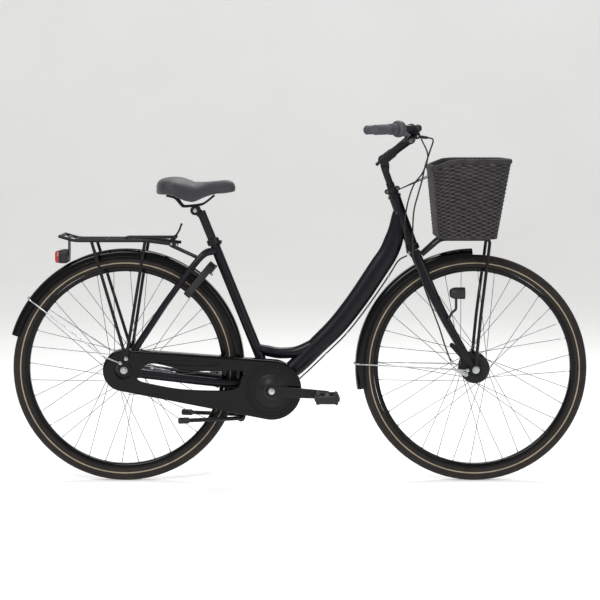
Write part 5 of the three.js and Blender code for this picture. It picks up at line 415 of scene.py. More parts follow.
def piece(name, surfaces, body, finish, replaces=(), sharp=40, ride=True):
    # one named piece; its finish is a material and a slot name, and the slot name is not used
    whole = merged(surfaces if isinstance(surfaces, list) else [surfaces])
    obj = meshObject(name, whole, finish[0])
    layer = obj.data.uv_layers.new(name="surface")
    layer.data.foreach_set("uv", np.array([pair for poly in whole["uvs"] for pair in poly], float).ravel())
    obj.data.set_sharp_from_angle(angle=math.radians(sharp))
    if replaces:
        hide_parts(*replaces)
    if ride:
        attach(obj, body)
    return obj


# Materials
BAND = 0.32  # scale of a wave texture with one band in each metre


def linear(hexCode):
    parts = [int(hexCode[k:k + 2], 16) / 255 for k in (0, 2, 4)]
    return [c / 12.92 if c <= 0.04045 else ((c + 0.055) / 1.055) ** 2.4 for c in parts] + [1]


def addNode(tree, kind, values=None, links=None, **settings):
    node = tree.nodes.new(kind)
    for key, value in settings.items():
        setattr(node, key, value)
    for key, value in (values or {}).items():
        node.inputs[key].default_value = value
    for key, socket in (links or {}).items():
        tree.links.new(socket, node.inputs[key])
    return node


def newMaterial(name, **shader):
    material = bpy.data.materials.new(name)
    material.use_nodes = True
    tree = material.node_tree
    bsdf = tree.nodes["Principled BSDF"]
    for key, value in shader.items():
        bsdf.inputs[key.replace("_", " ")].default_value = value
    return material, tree, bsdf, addNode(tree, "ShaderNodeTexCoord").outputs


def texture(tree, kind, values, vector, **settings):
    return addNode(tree, "ShaderNodeTex" + kind, values, {"Vector": vector}, **settings).outputs


def noise(tree, coords, sizeMm, detail=4.0, rough=0.55):
    values = {"Scale": 1 / (sizeMm * MM), "Detail": detail, "Roughness": rough}
    return texture(tree, "Noise", values, coords["Object"])["Fac"]


def stretched(tree, vector, scale):
    return addNode(tree, "ShaderNodeMapping", {"Scale": scale}, {"Vector": vector}).outputs["Vector"]


def calc(tree, operation, a, b=0.5):
    # a maths node; b is a number or a socket
    values, links = ({1: b}, {0: a}) if isinstance(b, float) else (None, {0: a, 1: b})
    return addNode(tree, "ShaderNodeMath", values, links, operation=operation).outputs[0]


def mapped(tree, source, **values):
    values = {key.replace("_", " "): value for key, value in values.items()}
    return addNode(tree, "ShaderNodeMapRange", values, {"Value": source}).outputs["Result"]


def ramp(tree, source, shades, low=0.3, high=0.7):
    node = addNode(tree, "ShaderNodeValToRGB", None, {"Fac": source})
    for element, position, shade in zip(node.color_ramp.elements, (low, high), shades):
        element.position, element.color = position, linear(shade)
    return node.outputs["Color"]


def tint(tree, bsdf, source, shades, low=0.3, high=0.7):
    tree.links.new(ramp(tree, source, shades, low, high), bsdf.inputs["Base Color"])


def gloss(tree, bsdf, source, low, high):
    tree.links.new(mapped(tree, source, To_Min=low, To_Max=high), bsdf.inputs["Roughness"])


def bump(tree, bsdf, height, depthMm, strength):
    values = {"Strength": strength, "Distance": depthMm * MM}
    node = addNode(tree, "ShaderNodeBump", values, {"Height": height})
    tree.links.new(node.outputs["Normal"], bsdf.inputs["Normal"])


def paint(name, shades, roughLow, roughHigh, coat, shine, rippleMm=2.2, rippleDepth=0.05):
    # base colour drifts between two shades over 60 mm, orange peel ripples the clear coat,
    # and a faint uneven film of handling marks changes its gloss
    values = {"Coat_Weight": coat, "Coat_Roughness": 0.08, "Specular_IOR_Level": shine}
    material, tree, bsdf, coords = newMaterial(name, **values)
    tint(tree, bsdf, noise(tree, coords, 60, 3), shades, 0.35, 0.65)
    gloss(tree, bsdf, noise(tree, coords, 18, 6, rough=0.7), roughLow, roughHigh)
    bump(tree, bsdf, noise(tree, coords, rippleMm, 2), rippleDepth, 0.5)
    return material


def metal(name, shades, roughLow, roughHigh, grainMm=0.5):
    # plated or blackened metal: fine grain in its gloss and a cloudy tint
    material, tree, bsdf, coords = newMaterial(name, Metallic=1.0)
    tint(tree, bsdf, noise(tree, coords, 25, 4), shades)
    grain = texture(tree, "Noise", {"Scale": 1 / (grainMm * MM), "Detail": 5.0}, coords["Object"])["Fac"]
    gloss(tree, bsdf, grain, roughLow, roughHigh)
    bump(tree, bsdf, grain, 0.02, 0.3)
    return material


def mouldedPlastic(name, shades, roughLow=0.45, roughHigh=0.65, grainMm=0.7, depth=0.06):
    # spark-eroded mould grain: small voronoi pits, with a slow drift of tone
    material, tree, bsdf, coords = newMaterial(name, Specular_IOR_Level=0.45)
    drift = noise(tree, coords, 35, 3)
    tint(tree, bsdf, drift, shades)
    pits = texture(tree, "Voronoi", {"Scale": 1 / (grainMm * MM)}, coords["Object"])
    gloss(tree, bsdf, drift, roughLow, roughHigh)
    bump(tree, bsdf, pits["Distance"], depth, 0.5)
    return material


TYRE = {
    "outerRadius": 350, "halfWidth": 18.8, "halfDepth": 19.2, "beadRadius": 311.8, "beadHalf": 11.6,
    "bedHalf": 9.5, "stripeRadius": 325, "stripeHalf": (1.4, 2.0), "treadPitch": 7.0,
    "treadRadii": (336, 342),
}


def tyreRubber(name, axle):
    # brown-black rubber with a cream stripe on each sidewall and a grooved tread.
    # Radius from the axle drives the bands; the tread's grooves follow the surface's own UV.
    material, tree, bsdf, coords = newMaterial(name, Specular_IOR_Level=0.35)
    parts = addNode(tree, "ShaderNodeSeparateXYZ", None, {"Vector": coords["Object"]}).outputs
    links = {key: calc(tree, "SUBTRACT", parts[key], axle[k]) for key, k in (("X", 0), ("Z", 2))}
    flat = addNode(tree, "ShaderNodeCombineXYZ", None, links)
    length = addNode(tree, "ShaderNodeVectorMath", None, {0: flat.outputs[0]}, operation="LENGTH")
    radius = length.outputs["Value"]
    offset = calc(tree, "ABSOLUTE", calc(tree, "SUBTRACT", radius, TYRE["stripeRadius"] * MM))
    inner, outer = TYRE["stripeHalf"]
    stripe = mapped(tree, offset, From_Min=inner * MM, From_Max=outer * MM, To_Min=1.0, To_Max=0.0)
    drift = noise(tree, coords, 30, 5)
    shades = {0: stripe, 6: ramp(tree, drift, ("15110f", "241d1a")),
              7: ramp(tree, drift, ("857b69", "a0957f"))}
    blend = addNode(tree, "ShaderNodeMix", None, shades, data_type="RGBA")
    tree.links.new(blend.outputs[2], bsdf.inputs["Base Color"])
    gloss(tree, bsdf, noise(tree, coords, 6, 5), 0.62, 0.9)
    low, high = TYRE["treadRadii"]
    crown = mapped(tree, radius, From_Min=low * MM, From_Max=high * MM)
    values = {"Scale": BAND / (TYRE["treadPitch"] * MM), "Distortion": 0.0}
    wave = texture(tree, "Wave", values, coords["UV"], wave_type="BANDS", bands_direction="DIAGONAL")
    groove = calc(tree, "MULTIPLY", wave["Fac"], crown)
    fine = calc(tree, "MULTIPLY", noise(tree, coords, 0.8, 2), 0.15)
    bump(tree, bsdf, calc(tree, "ADD", groove, fine), 1.2, 0.8)
    return material


def lens(name, hexCode, ribMm=2.4):
    # clear moulded lens with fine prismatic ribs that catch the light
    values = {"Base_Color": linear(hexCode), "Roughness": 0.08, "Transmission_Weight": 0.35}
    material, tree, bsdf, coords = newMaterial(name, **values, IOR=1.49, Coat_Weight=0.5)
    scale = {"Scale": BAND / (ribMm * MM)}
    ribs = [texture(tree, "Wave", scale, coords["Object"], bands_direction=way)["Fac"] for way in ("Y", "Z")]
    bump(tree, bsdf, calc(tree, "ADD", *ribs), 0.4, 0.6)
    return material


def cane(name):
    # dark stained willow: long fibres along each strand, a painted highlight that makes the outer crowns
    # paler and painted shade that makes the hollows almost black
    values = {"Specular_IOR_Level": 0.4, "Coat_Weight": 0.08, "Coat_Roughness": 0.35}
    material, tree, bsdf, coords = newMaterial(name, **values)
    vector = stretched(tree, coords["UV"], (14, 1, 1))
    fibre = texture(tree, "Noise", {"Scale": 90.0, "Detail": 6.0}, vector)["Fac"]
    drift = noise(tree, coords, 22, 5, rough=0.7)
    # painted highlight and shade: the weave's wave at each point, lighter where a strand bulges out, darker
    # in the hollows between
    crown_highlight_and_shade = addNode(tree, "ShaderNodeAttribute", attribute_name="crown_highlight_and_shade").outputs["Fac"]
    crown = calc(tree, "MULTIPLY", crown_highlight_and_shade, 0.13)
    shade = calc(tree, "ADD", calc(tree, "MULTIPLY", fibre, drift), crown)
    tint(tree, bsdf, shade, ("080707", "474243"), 0.12, 0.48)
    gloss(tree, bsdf, drift, 0.55, 0.8)
    bump(tree, bsdf, fibre, 0.25, 0.6)
    return material


def saddleVinyl(name):
    # soft-touch vinyl with a pebbled leather grain
    values = {"Specular_IOR_Level": 0.4, "Sheen_Weight": 0.15, "Sheen_Roughness": 0.5}
    material, tree, bsdf, coords = newMaterial(name, **values)
    drift = noise(tree, coords, 40, 4)
    tint(tree, bsdf, drift, ("232328", "313137"))
    grain = texture(tree, "Voronoi", {"Scale": 1 / (1.3 * MM)}, coords["Object"], feature="SMOOTH_F1")
    gloss(tree, bsdf, drift, 0.5, 0.68)
    bump(tree, bsdf, grain["Distance"], 0.18, 0.6)
    return material


def ribbedRubber(name, shades, ribMm, axis):
    # soft matt rubber with shallow ribs across its UV
    material, tree, bsdf, coords = newMaterial(name, Specular_IOR_Level=0.35, Sheen_Weight=0.1)
    drift = noise(tree, coords, 20, 4)
    tint(tree, bsdf, drift, shades)
    gloss(tree, bsdf, drift, 0.65, 0.85)
    ribs = texture(tree, "Wave", {"Scale": BAND / (ribMm * MM)}, coords["UV"], bands_direction=axis)
    bump(tree, bsdf, ribs["Fac"], 0.8, 0.8)
    return material


def plaster(name, shades, glow):
    # pale floor and wall with broad patches, which give off a little light of their own
    material, tree, bsdf, coords = newMaterial(name, Roughness=0.9, Emission_Strength=glow)
    colour = ramp(tree, noise(tree, coords, 900, 5), shades)
    for socket in ("Base Color", "Emission Color"):
        tree.links.new(colour, bsdf.inputs[socket])
    bump(tree, bsdf, noise(tree, coords, 3, 4), 0.3, 0.3)
    return material


# Finishes: each is a material and a slot name
lacquer = paint("gloss black lacquer", ("050506", "08080a"), 0.1, 0.2, 0.15, 0.12, 3.0, 0.03)
greyShell = mouldedPlastic("moulded grey plastic", ("35353a", "44444a"))
framePaint = paint("satin black frame paint", ("09080e", "0f0d16"), 0.3, 0.42, 0.1, 0.18), "frame_paint"
glossCover, glossMetal = (lacquer, "gloss_cover"), (lacquer, "black_metal")
glossPlastic = lacquer, "black_plastic"
powderCoat = paint("black powder coat", ("0b0b0e", "131316"), 0.4, 0.55, 0.05, 0.24, 0.9, 0.06), "black_metal"
zinc = metal("bright zinc plate", ("a4a6a8", "c6c8ca"), 0.22, 0.38), "silver_metal"
spokeSteel = metal("galvanised spoke wire", ("54575a", "74777a"), 0.25, 0.4, 0.4), "silver_metal"
hubAlloy = metal("dark anodised alloy", ("232426", "343538"), 0.3, 0.45, 0.8), "silver_metal"
darkSteel = metal("oiled chain steel", ("4e4a46", "77736d"), 0.3, 0.5), "silver_metal"
blackPlastic = mouldedPlastic("moulded black plastic", ("0d0d0f", "161618")), "black_plastic"
greyPlastic, greyGrip = (greyShell, "black_plastic"), (greyShell, "grip_rubber")
cableSheath = mouldedPlastic("cable sheath", ("141416", "1c1c1f"), 0.35, 0.5, 1.2, 0.03), "cable_cover"
gripRubber = ribbedRubber("ribbed grip rubber", ("3a3a3f", "4a4a50"), 4.0, "Y"), "grip_rubber"
pedalRubber = ribbedRubber("pedal tread rubber", ("18181a", "232326"), 5.0, "X"), "grip_rubber"
saddleCover = saddleVinyl("grained saddle vinyl"), "saddle_cover"
basketCane = cane("dark stained cane"), "wicker"
redLens = lens("red reflector lens", "b3120e"), "red_lens"
clearLens = lens("clear headlamp lens", "e8ecee", 3.0), "clear_lens"
rearTyreRubber = tyreRubber("rear tyre rubber", rearAxle), "tyre_rubber"
frontTyreRubber = tyreRubber("front tyre rubber", frontAxle), "tyre_rubber"
print("materials ready")

# Frame tubes
HEAD_TUBE = {"radius": 18, "bore": 14, "cupRadius": 20.8, "cupHeight": 9}
DOWN_TUBE = {
    "width": 44, "depth": 62,
    "runShares": [0.03, 0.203, 0.368, 0.536, 0.705, 0.868, 0.958, 1.012, 1.035],
    "riseShares": [0.03, 0.11, 0.214, 0.321, 0.459, 0.614, 0.703, 0.798, 0.9],
    "widthShares": [1, 1, 1, 1, 1, 0.95, 0.88, 0.8, 0.76],
    "depthShares": [0.78, 0.9, 0.94, 0.98, 1, 1.02, 1.02, 0.95, 0.62],
}
BRACE = {
    "radius": 17.2, "rootRadii": [15, 15.6],
    "runShares": [-0.12, 0.023, 0.105, 0.187, 0.253, 0.36],
    "riseShares": [0.199, 0.178, 0.175, 0.18, 0.194, 0.228],
}
SEAT_TUBE = {"radius": 15.5, "bore": 14, "length": 472.2}
SEAT_STAY = {
    "radius": 10, "rootRadius": 8.6, "tipWidth": 7, "tipDepth": 10.5, "spread": 60.5, "bridgeRadius": 8,
    "bridgeHalf": 37,
    "runShares": [-0.03, 0.137, 0.495, 0.725, 0.893, 0.955],
    "riseShares": [0.084, 0.135, 0.453, 0.686, 0.858, 0.93],
    "spreadShares": [0.28, 0.62, 0.83, 0.95, 1, 1],
}
CHAIN_STAY = {
    "width": 16.5, "depth": 26, "tipWidth": 12, "tipDepth": 24, "spread": 61, "bridgeShare": 0.13,
    "bridgeHalf": 30, "runShares": [0.03, 0.179, 0.384, 0.892, 0.945],
    "riseShares": [0.03, 0.19, 0.33, 0.8, 0.88],
    "spreadShares": [0.38, 0.565, 0.77, 0.955, 1],
}
DROPOUT = {"aside": 65, "thickness": 6, "radius": 18, "rise": 30, "tipRadius": 12}
STAND = {
    "pivot": (-180, 0, 197), "pinRadius": 6, "blockRadius": 13, "blockWidth": 38, "legRadius": 6.2,
    "rootRadius": 7.4, "rootY": 30, "kneeRun": -34, "kneeY": 42, "legRun": -190, "footY": 78,
    "footLength": 34,
}
stayBridge = between(seatTop, rearAxle, SEAT_STAY["runShares"][1], SEAT_STAY["riseShares"][1])


def ovalSizes(values, count):
    shares = ((values["widthShares"], values["width"]), (values["depthShares"], values["depth"]))
    return [shareAt(share, count) * size / 2 for share, size in shares]


def makeHeadTube():
    radius, lip, cup = HEAD_TUBE["radius"], HEAD_TUBE["cupRadius"], HEAD_TUBE["cupHeight"]
    rows = [[0.1, HEAD_TUBE["bore"]], [0.1, lip - 1], [1, lip], [cup - 2, lip], [cup, radius + 0.7],
            [cup + 0.7, radius]]
    rows = bothEnds(np.linalg.norm(headTop - headBottom) / MM, rows)
    piece("headTube", spindle(headBottom, steerAxis, rows, 56), "frame", framePaint, ["head_tube"])


def makeDownTube():
    spots = curveBetween(bracket, headTop, DOWN_TUBE, 100)
    piece("downTube", domed(spots, *ovalSizes(DOWN_TUBE, 100), 48), "frame", framePaint, ["down_tube"])


def makeBraceTube():
    spots = curveBetween(bracket, headTop, BRACE, 60)
    radii = eased(60, [0, 0.09, 0.16, 1], BRACE["rootRadii"] + [BRACE["radius"]] * 2)
    piece("braceTube", tube(spots, radii, sides=40), "frame", framePaint, ["brace_tube"])


def makeSeatTube():
    radius, last = SEAT_TUBE["radius"], SEAT_TUBE["length"]
    rows = [[2, radius - 0.5], [2.5, radius], [last - 1.2, radius], [last, radius - 0.5],
            [last, SEAT_TUBE["bore"]]]
    weld = [[-0.5, 20.5], [16, 18.6], [22, 16.6], [28, radius]]
    bead = spindle(along(bracket, seatAxis, 18), seatAxis, weld, 40)
    piece("seatTube", [spindle(bracket, seatAxis, rows, 44), bead], "frame", framePaint, ["seat_tube"])


def makeBracketShell():
    shell = revolve(bracket, bothSides([[17, 35], [20, 35], [21, 34]]), 56)
    piece("bracketShell", shell, "frame", framePaint, ["bottom_bracket_shell"])
    cup = [[9.2, 35.4], [20, 35.4], [20.8, 36.2], [20.8, 37.4], [20, 38], [13, 38], [12, 37], [9.2, 37]]
    rings = [revolve(bracket, [[radius, side * y] for radius, y in cup[::side]], 56) for side in SIDES]
    piece("bracketBearing", rings, "frame", zinc, ["bottom_bracket_bearing"])


def dropoutPlates(side):
    # an upright plate with the stay's eyelet, and a thinner one that reaches to the chain stay
    radius, half = DROPOUT["radius"], DROPOUT["thickness"] / 2
    tip = between(bracket, rearAxle, CHAIN_STAY["runShares"][3], CHAIN_STAY["riseShares"][3])
    near, far = side * DROPOUT["aside"] - half, side * DROPOUT["aside"] + half
    up = beltLoop(rearAxle, radius, rearAxle + at(0, 0, DROPOUT["rise"]), radius - 0.01, 24)
    reach = beltLoop(rearAxle, radius - 0.2, tip, DROPOUT["tipRadius"], 24)
    return [plate(up, near, far, 0.8), plate(reach, near + 0.2, far - 0.2, 0.8)]


def makeSeatStays():
    radius, root = SEAT_STAY["radius"], SEAT_STAY["rootRadius"]
    sizes = ([root, radius, radius, SEAT_STAY[tip]] for tip in ("tipWidth", "tipDepth"))
    wide, deep = (eased(70, [0, 0.03, 0.9, 1], size) for size in sizes)
    stays = [domed(curveBetween(seatTop, rearAxle, SEAT_STAY, 70, side), wide, deep) for side in SIDES]
    bridge = crossBar(stayBridge, -SEAT_STAY["bridgeHalf"], SEAT_STAY["bridgeHalf"],
                      SEAT_STAY["bridgeRadius"])
    piece("seatStays", stays + [bridge], "frame", framePaint, ["seat_stays"])


def makeChainStays():
    v = CHAIN_STAY
    wide = eased(60, [0, 0.92, 1], [v["width"] / 2, v["width"] / 2, v["tipWidth"] / 2])
    deep = eased(60, [0, 0.92, 1], [v["depth"] / 2, v["depth"] / 2, v["tipDepth"] / 2])
    surfaces = []
    for side in SIDES:
        surfaces.append(domed(curveBetween(bracket, rearAxle, v, 60, side), wide, deep, 32))
        surfaces.extend(dropoutPlates(side))
    bridge = between(bracket, rearAxle, v["bridgeShare"], v["bridgeShare"])
    surfaces.append(crossBar(bridge, -v["bridgeHalf"], v["bridgeHalf"], SEAT_STAY["bridgeRadius"]))
    pivot, half = at(*STAND["pivot"]), STAND["blockWidth"] / 2
    web = beltLoop(pivot, STAND["blockRadius"], bridge, SEAT_STAY["bridgeRadius"], 24)
    surfaces.append(plate(web, -half, half, 1.2, [circleLoop(pivot, STAND["pinRadius"] + 0.5, 32)]))
    piece("chainStays", surfaces, "frame", framePaint, ["chain_stays"])


def makeSeatClamp():
    rows = [[0, 15.7], [0, 18.8], [0.9, 19.6], [8.4, 19.6], [8.8, 19.2], [9.2, 19.6], [16.6, 19.6],
            [17.4, 18.8], [17.4, SEAT_TUBE["bore"]]]
    ring = spindle(along(seatTop, seatAxis, -14), seatAxis, rows, 48)
    ear = along(seatTop, seatAxis, -7)
    lug = softBlock(ear + at(19.5, 0, 0), 13, 11, 13, 2, turn=-0.36)
    spot = ear + at(20.5, 0, 0)
    bolt = [crossBar(spot, -14, 13, 2.8), crossBar(spot, -14, -9, 4.6, 24, 0.8)]
    piece("seatClamp", [ring, lug] + bolt, "frame", hubAlloy, ["seat_clamp"])


makeHeadTube()
makeDownTube()
makeBraceTube()
makeSeatTube()
makeBracketShell()
makeSeatStays()
makeChainStays()
makeSeatClamp()
print("frame tubes ready")

# Chaincase and chain
CASE = {
    "frontRadius": 91, "rearRadius": 64, "near": -76, "far": -34,
    "slotRun": [0.9045, 0.831, 0.5586, 0.226, 0.213, 0.2577, 0.542, 0.7446],
    "slotSide": [-0.213, 0.3455, 0.284, 0.502, 0.297, -0.141, -0.348, -0.347],
    "lensRun": [0.8, 0.66, 0.5, 0.36, 0.5, 0.66],
    "lensSide": [0.46, 0.56, 0.64, 0.66, 0.5, 0.44],
    "ringRadii": (70, 78.5), "axleHole": 27, "crankHole": 15,
    "creaseX": (-525, -417), "creaseZ": 277.5, "bolt": (-450, 0, 359),
}
CHAIN = {
    "line": -47, "pitch": 12.7, "frontTeeth": 38, "rearTeeth": 18, "plateHeight": 4.2, "rollerRadius": 3.8,
    "plateAsides": (2.1, 3.1), "plateHalf": 0.5, "rollerHalf": 1.6,
}
TOOTH = {"root": 7.5, "height": 3.3, "halfWidth": 1.3, "windows": 5, "windowReach": 44, "windowRadius": 13}


def caseLoop(runShares, sideShares):
    # a closed curve on the case's face; sides are shares of its front radius from the line of the axles
    line = rearAxle - bracket
    aside = np.array([-line[2], 0, line[0]]) / np.linalg.norm(line) * -CASE["frontRadius"] * MM
    spots = [bracket + line * run + aside * side for run, side in zip(runShares, sideShares)]
    return smoothPath(spots, 120, closed=True)[:, [0, 2]]


def offFace(rows, face=CASE["near"]):
    return [[reach, face + y] for reach, y in rows]


def makeChaincase():
    near, far = CASE["near"], CASE["far"]
    outline = beltLoop(bracket, CASE["frontRadius"], rearAxle, CASE["rearRadius"], 64)
    wall = offFace([[-7, 0.1], [-4, 0.25], [-1.6, 1], [-0.5, 2.2], [0, 4]])
    wall += offFace([[0, -3], [-0.8, -0.8], [-3, 0], [-15, 0], [-15, -2], [-3.4, -2.4], [-2.5, -4]], far)
    wall += offFace([[-2.5, 4.5], [-7, 2.5]])
    slot, lensSpot = caseLoop(CASE["slotRun"], CASE["slotSide"]), caseLoop(CASE["lensRun"], CASE["lensSide"])
    holes = [resized(slot, 1.5), lensSpot, circleLoop(rearAxle, CASE["axleHole"]),
             circleLoop(bracket, CASE["crankHole"])]
    face = plate(resized(outline, -6), near + 0.1, near + 2.5, 0.5, holes)
    lip = offFace([[0, 2.2], [0.2, 0.9], [1.2, 0.05], [2.6, 0.1], [3.4, 0.9], [2, 2.4], [0.8, 8], [0, 8]])
    dip = plate(resized(lensSpot, 0.5), near + 1.3, near + 2.5, 0.2)
    brow = offFace([[-0.2, 0.8], [0.3, -0.4], [1.2, -0.5], [1.8, 0.6], [0, 2]])
    dish = offFace([[26.6, 7], [26.6, 1.5], [27.4, 0.4], [29, 0.05], [29.6, 0.6], [29.6, 2.4], [28.4, 3],
                    [28, 7]])
    crease = [at(x, near + 0.35, CASE["creaseZ"]) for x in CASE["creaseX"]]
    surfaces = [loopSweep(outline, wall), face, loopSweep(slot, lip), dip, loopSweep(lensSpot, brow),
                revolve(rearAxle, dish, 72), rod(*crease, 0.7, sides=12)]
    for r in CASE["ringRadii"]:
        bead = offFace([[r - 1.6, 0.5], [r - 0.7, -0.7], [r + 0.7, -0.7], [r + 1.6, 0.5]])
        surfaces.append(revolve(bracket, bead, 128))
    piece("chaincase", surfaces, "frame", glossCover, ["chaincase"], sharp=35)
    bolt = at(*CASE["bolt"])
    screws = [crossBar(bolt, near, near + 2, 4.6, 24, 0.9), crossBar(bolt, near, near + 1, 2, 6, 0.3)]
    piece("chaincaseBolt", screws, "frame", zinc)


def pitchRadius(teeth):
    return CHAIN["pitch"] / (2 * math.sin(math.pi / teeth))


def chainPath():
    # the pins' places, a whole even number of links round both pitch circles
    loop = beltLoop(bracket, pitchRadius(CHAIN["frontTeeth"]), rearAxle, pitchRadius(CHAIN["rearTeeth"]), 200)
    closed = np.vstack([loop, loop[:1]])
    last = lengthAlong(closed)[-1]
    links = int(round(last / (CHAIN["pitch"] * MM) / 2) * 2)
    return sampled(closed, np.linspace(0, last, links + 1))


def makeChain():
    spots = np.insert(chainPath(), 1, 0, axis=1)
    line, height = CHAIN["line"], CHAIN["plateHeight"]
    surfaces = []
    for k, (start, end) in enumerate(zip(spots[:-1], spots[1:])):
        loop = np.insert(beltLoop(start, height - 0.01, end, height - 0.02, 6), 1, 0, axis=1)
        for side in SIDES:
            middle = line + side * CHAIN["plateAsides"][k % 2]
            faces = [loop + at(0, middle + CHAIN["plateHalf"] * way, 0) for way in (1, -1)]
            surfaces.append(grid(np.array(faces)))
        half = CHAIN["rollerHalf"]
        surfaces.append(crossBar(start, line - half, line + half, CHAIN["rollerRadius"], 10, 0.3))
    piece("chain", surfaces, "frame", darkSteel, ["chain"], sharp=30)


def toothed(centre, teeth, bore, windows=0):
    # rounded teeth: the radius rises and falls as a power of a cosine wave
    turn = np.linspace(0, TURN, teeth * 8, endpoint=False)
    wave = 0.5 + 0.5 * np.cos(turn * teeth)
    outline = arcLoop(centre, pitchRadius(teeth) - TOOTH["root"] + TOOTH["height"] * wave ** 0.8, turn)
    holes = [circleLoop(centre, bore)]
    for k in range(windows):
        holes.append(circleLoop(around(centre, TOOTH["windowReach"], 360 / windows * k),
                                TOOTH["windowRadius"], 28))
    return plate(outline, CHAIN["line"] - TOOTH["halfWidth"], CHAIN["line"] + TOOTH["halfWidth"], 0.4, holes)


makeChaincase()
makeChain()
chainring = toothed(bracket, CHAIN["frontTeeth"], 13.4, TOOTH["windows"])
piece("chainring", chainring, "crank", darkSteel, ["chainring"])
piece("sprocket", toothed(rearAxle, CHAIN["rearTeeth"], 16.9), "sprocket", darkSteel, ["rear_sprocket"])
print("chaincase ready")

# Wheels
RIM_HALF = [[298, 6], [299.2, 9], [302, 11.4], [306, 12.2], [310.4, 12.4], [311, 11.8], [310.6, 10.4],
            [308, 9]]
WHEEL = {
    "rimInner": 298, "bedRadius": 307.6, "holes": 36, "firstHole": 7.5, "lean": 60, "flangeCircle": 42,
    "spokeRadius": 0.95, "spokeStep": 1.2, "headRadius": 1.7, "holeY": 2.5, "spokeY": 3,
    "flangeRadius": 46, "barrelRadius": 33,
    "seat": [[0, 2], [0.4, 3], [1.4, 3.4]],
    "nipple": [[0, 2.1], [1.5, 2.1], [2, 1.8], [10.5, 1.7], [12, 1.2]],
}


def makeTyre(name, axle, body, rubber, node):
    turn = np.radians(np.linspace(-128, 128, 45))
    rise = np.sign(np.cos(turn)) * np.abs(np.cos(turn)) ** 0.92
    high = TYRE["outerRadius"] - TYRE["halfDepth"] + TYRE["halfDepth"] * rise
    outer = np.column_stack([high, TYRE["halfWidth"] * np.sin(turn)])
    inner = bothSides([[TYRE["beadRadius"], TYRE["beadHalf"]],
                       [TYRE["beadRadius"] + 1, TYRE["bedHalf"]]])[::-1]
    piece(name, revolve(axle, np.vstack([outer, inner]), 200), body, rubber, [node], sharp=50)


def spokeHoles():
    # side and angle of each spoke hole in the rim
    pitch = 360 / WHEEL["holes"]
    return [(SIDES[k % 2], WHEEL["firstHole"] + pitch * k) for k in range(WHEEL["holes"])]


def makeRim(name, axle, body, node):
    inner = WHEEL["rimInner"]
    rows = [[inner, -6]] + RIM_HALF + [[WHEEL["bedRadius"], 0]]
    rows += [[radius, -y] for radius, y in RIM_HALF[:0:-1]]
    seats = []
    for side, turn in spokeHoles():
        spot = around(axle, inner - 1.1, turn, side * WHEEL["holeY"])
        seats.append(spindle(spot, around(np.zeros(3), 1, turn), WHEEL["seat"], 10))
    piece(name, [revolve(axle, rows[::-1], 180)] + seats, body, glossMetal, [node], sharp=38)


def makeHub(name, axle, body, spread, nearEnd, nearRadius, farEnd, node):
    y, r, b = spread / 2, WHEEL["flangeRadius"], WHEEL["barrelRadius"]
    rows = [[5.4, -nearEnd], [nearRadius - 1, -nearEnd], [nearRadius, -nearEnd + 1], [nearRadius, -y - 2]]
    rows += bothSides([[r - 1, y + 2], [r, y + 1.2], [r, y - 1.2], [r - 1, y - 2], [b + 3, y - 2], [b, y - 5],
                       [b - 3, y - 12]])
    rows += [[16, y + 2], [14, y + 4], [14, farEnd - 1], [13, farEnd], [5.4, farEnd]]
    piece(name + "Hub", revolve(axle, rows, 72), body, hubAlloy, [node], sharp=32)
    spokes, nipples = [], []
    for k, (side, hole) in enumerate(spokeHoles()):
        lean = 1 if (k + 3) % 4 < 2 else -1
        step = lean * WHEEL["spokeStep"]
        rootTurn = hole + lean * WHEEL["lean"]
        root = around(axle, WHEEL["flangeCircle"], rootTurn, side * (y + step))
        rim = around(axle, WHEEL["rimInner"] - 0.4, hole, side * (WHEEL["spokeY"] + step))
        head = around(axle, WHEEL["flangeCircle"], rootTurn, side * (y + step * 1.9))
        spokes.append(rod(root, rim, WHEEL["spokeRadius"], sides=8, bevel=0.2))
        spokes.append(ball(head, WHEEL["headRadius"], 8))
        nipples.append(spindle(rim, root - rim, WHEEL["nipple"], 8))
    piece(name + "Spokes", spokes, body, spokeSteel, sharp=60)
    piece(name + "Nipples", nipples, body, zinc, sharp=50)


makeTyre("frontTyre", frontAxle, "front_wheel", frontTyreRubber, "front_tyre")
makeTyre("rearTyre", rearAxle, "rear_wheel", rearTyreRubber, "rear_tyre")
makeRim("frontRim", frontAxle, "front_wheel", "front_rim")
makeRim("rearRim", rearAxle, "rear_wheel", "rear_rim")
makeHub("front", frontAxle, "front_wheel", 56, 31.2, 33, 46, "front_hub_spokes")
makeHub("rear", rearAxle, "rear_wheel", 58, 51, 16.5, 44, "rear_hub_spokes")
print("wheels ready")

# Mudguards, wire stays, rack and tail light. A section's rows are the drop from the guard's crown and the
# lateral place, and a wire's bends are the reach from the axle and the lateral place.
GUARD = {
    "radius": 369.5, "half": 26, "wall": 2, "beadRadius": 1.4,
    "section": [[26, 26], [16, 26], [12.4, 25.7], [8.4, 24.4], [5.2, 21.6], [2.8, 17.4], [1.0, 11.8],
                [0.3, 6], [0, 0]],
}
WIRE = {"radius": 2.3, "rootReach": 76, "bends": [(343.5, 28.7), (363.5, 29.8), (373.3, 11.7)]}
RACK = {
    "tube": 5, "bar": 4, "half": 62, "slatY": 21,
    "rail": [(-735, 760), (-690, 747), (-473, 747), (-371, 734)], "legX": (-638.5, -473), "legZ": 747,
    "footY": 84, "span": 364, "bars": (0.12, 0.38, 0.66, 0.92), "plateX": -714, "screwX": (-375, -392),
    "strutY": 21, "strutRadius": 3.8, "earY": (34, 38),
}
rackFoot = rearAxle + at(9, 0, 38)
CLIP = {"pivot": (-386, 0, 754.4), "reach": 150, "half": 30, "rodHalf": 41, "wire": 3, "coilTurns": 6}
clipPivot = at(*CLIP["pivot"])
LAMP = {"x": -720, "z": 695, "width": 84, "height": 40, "corner": 10, "hanger": (3, 42)}


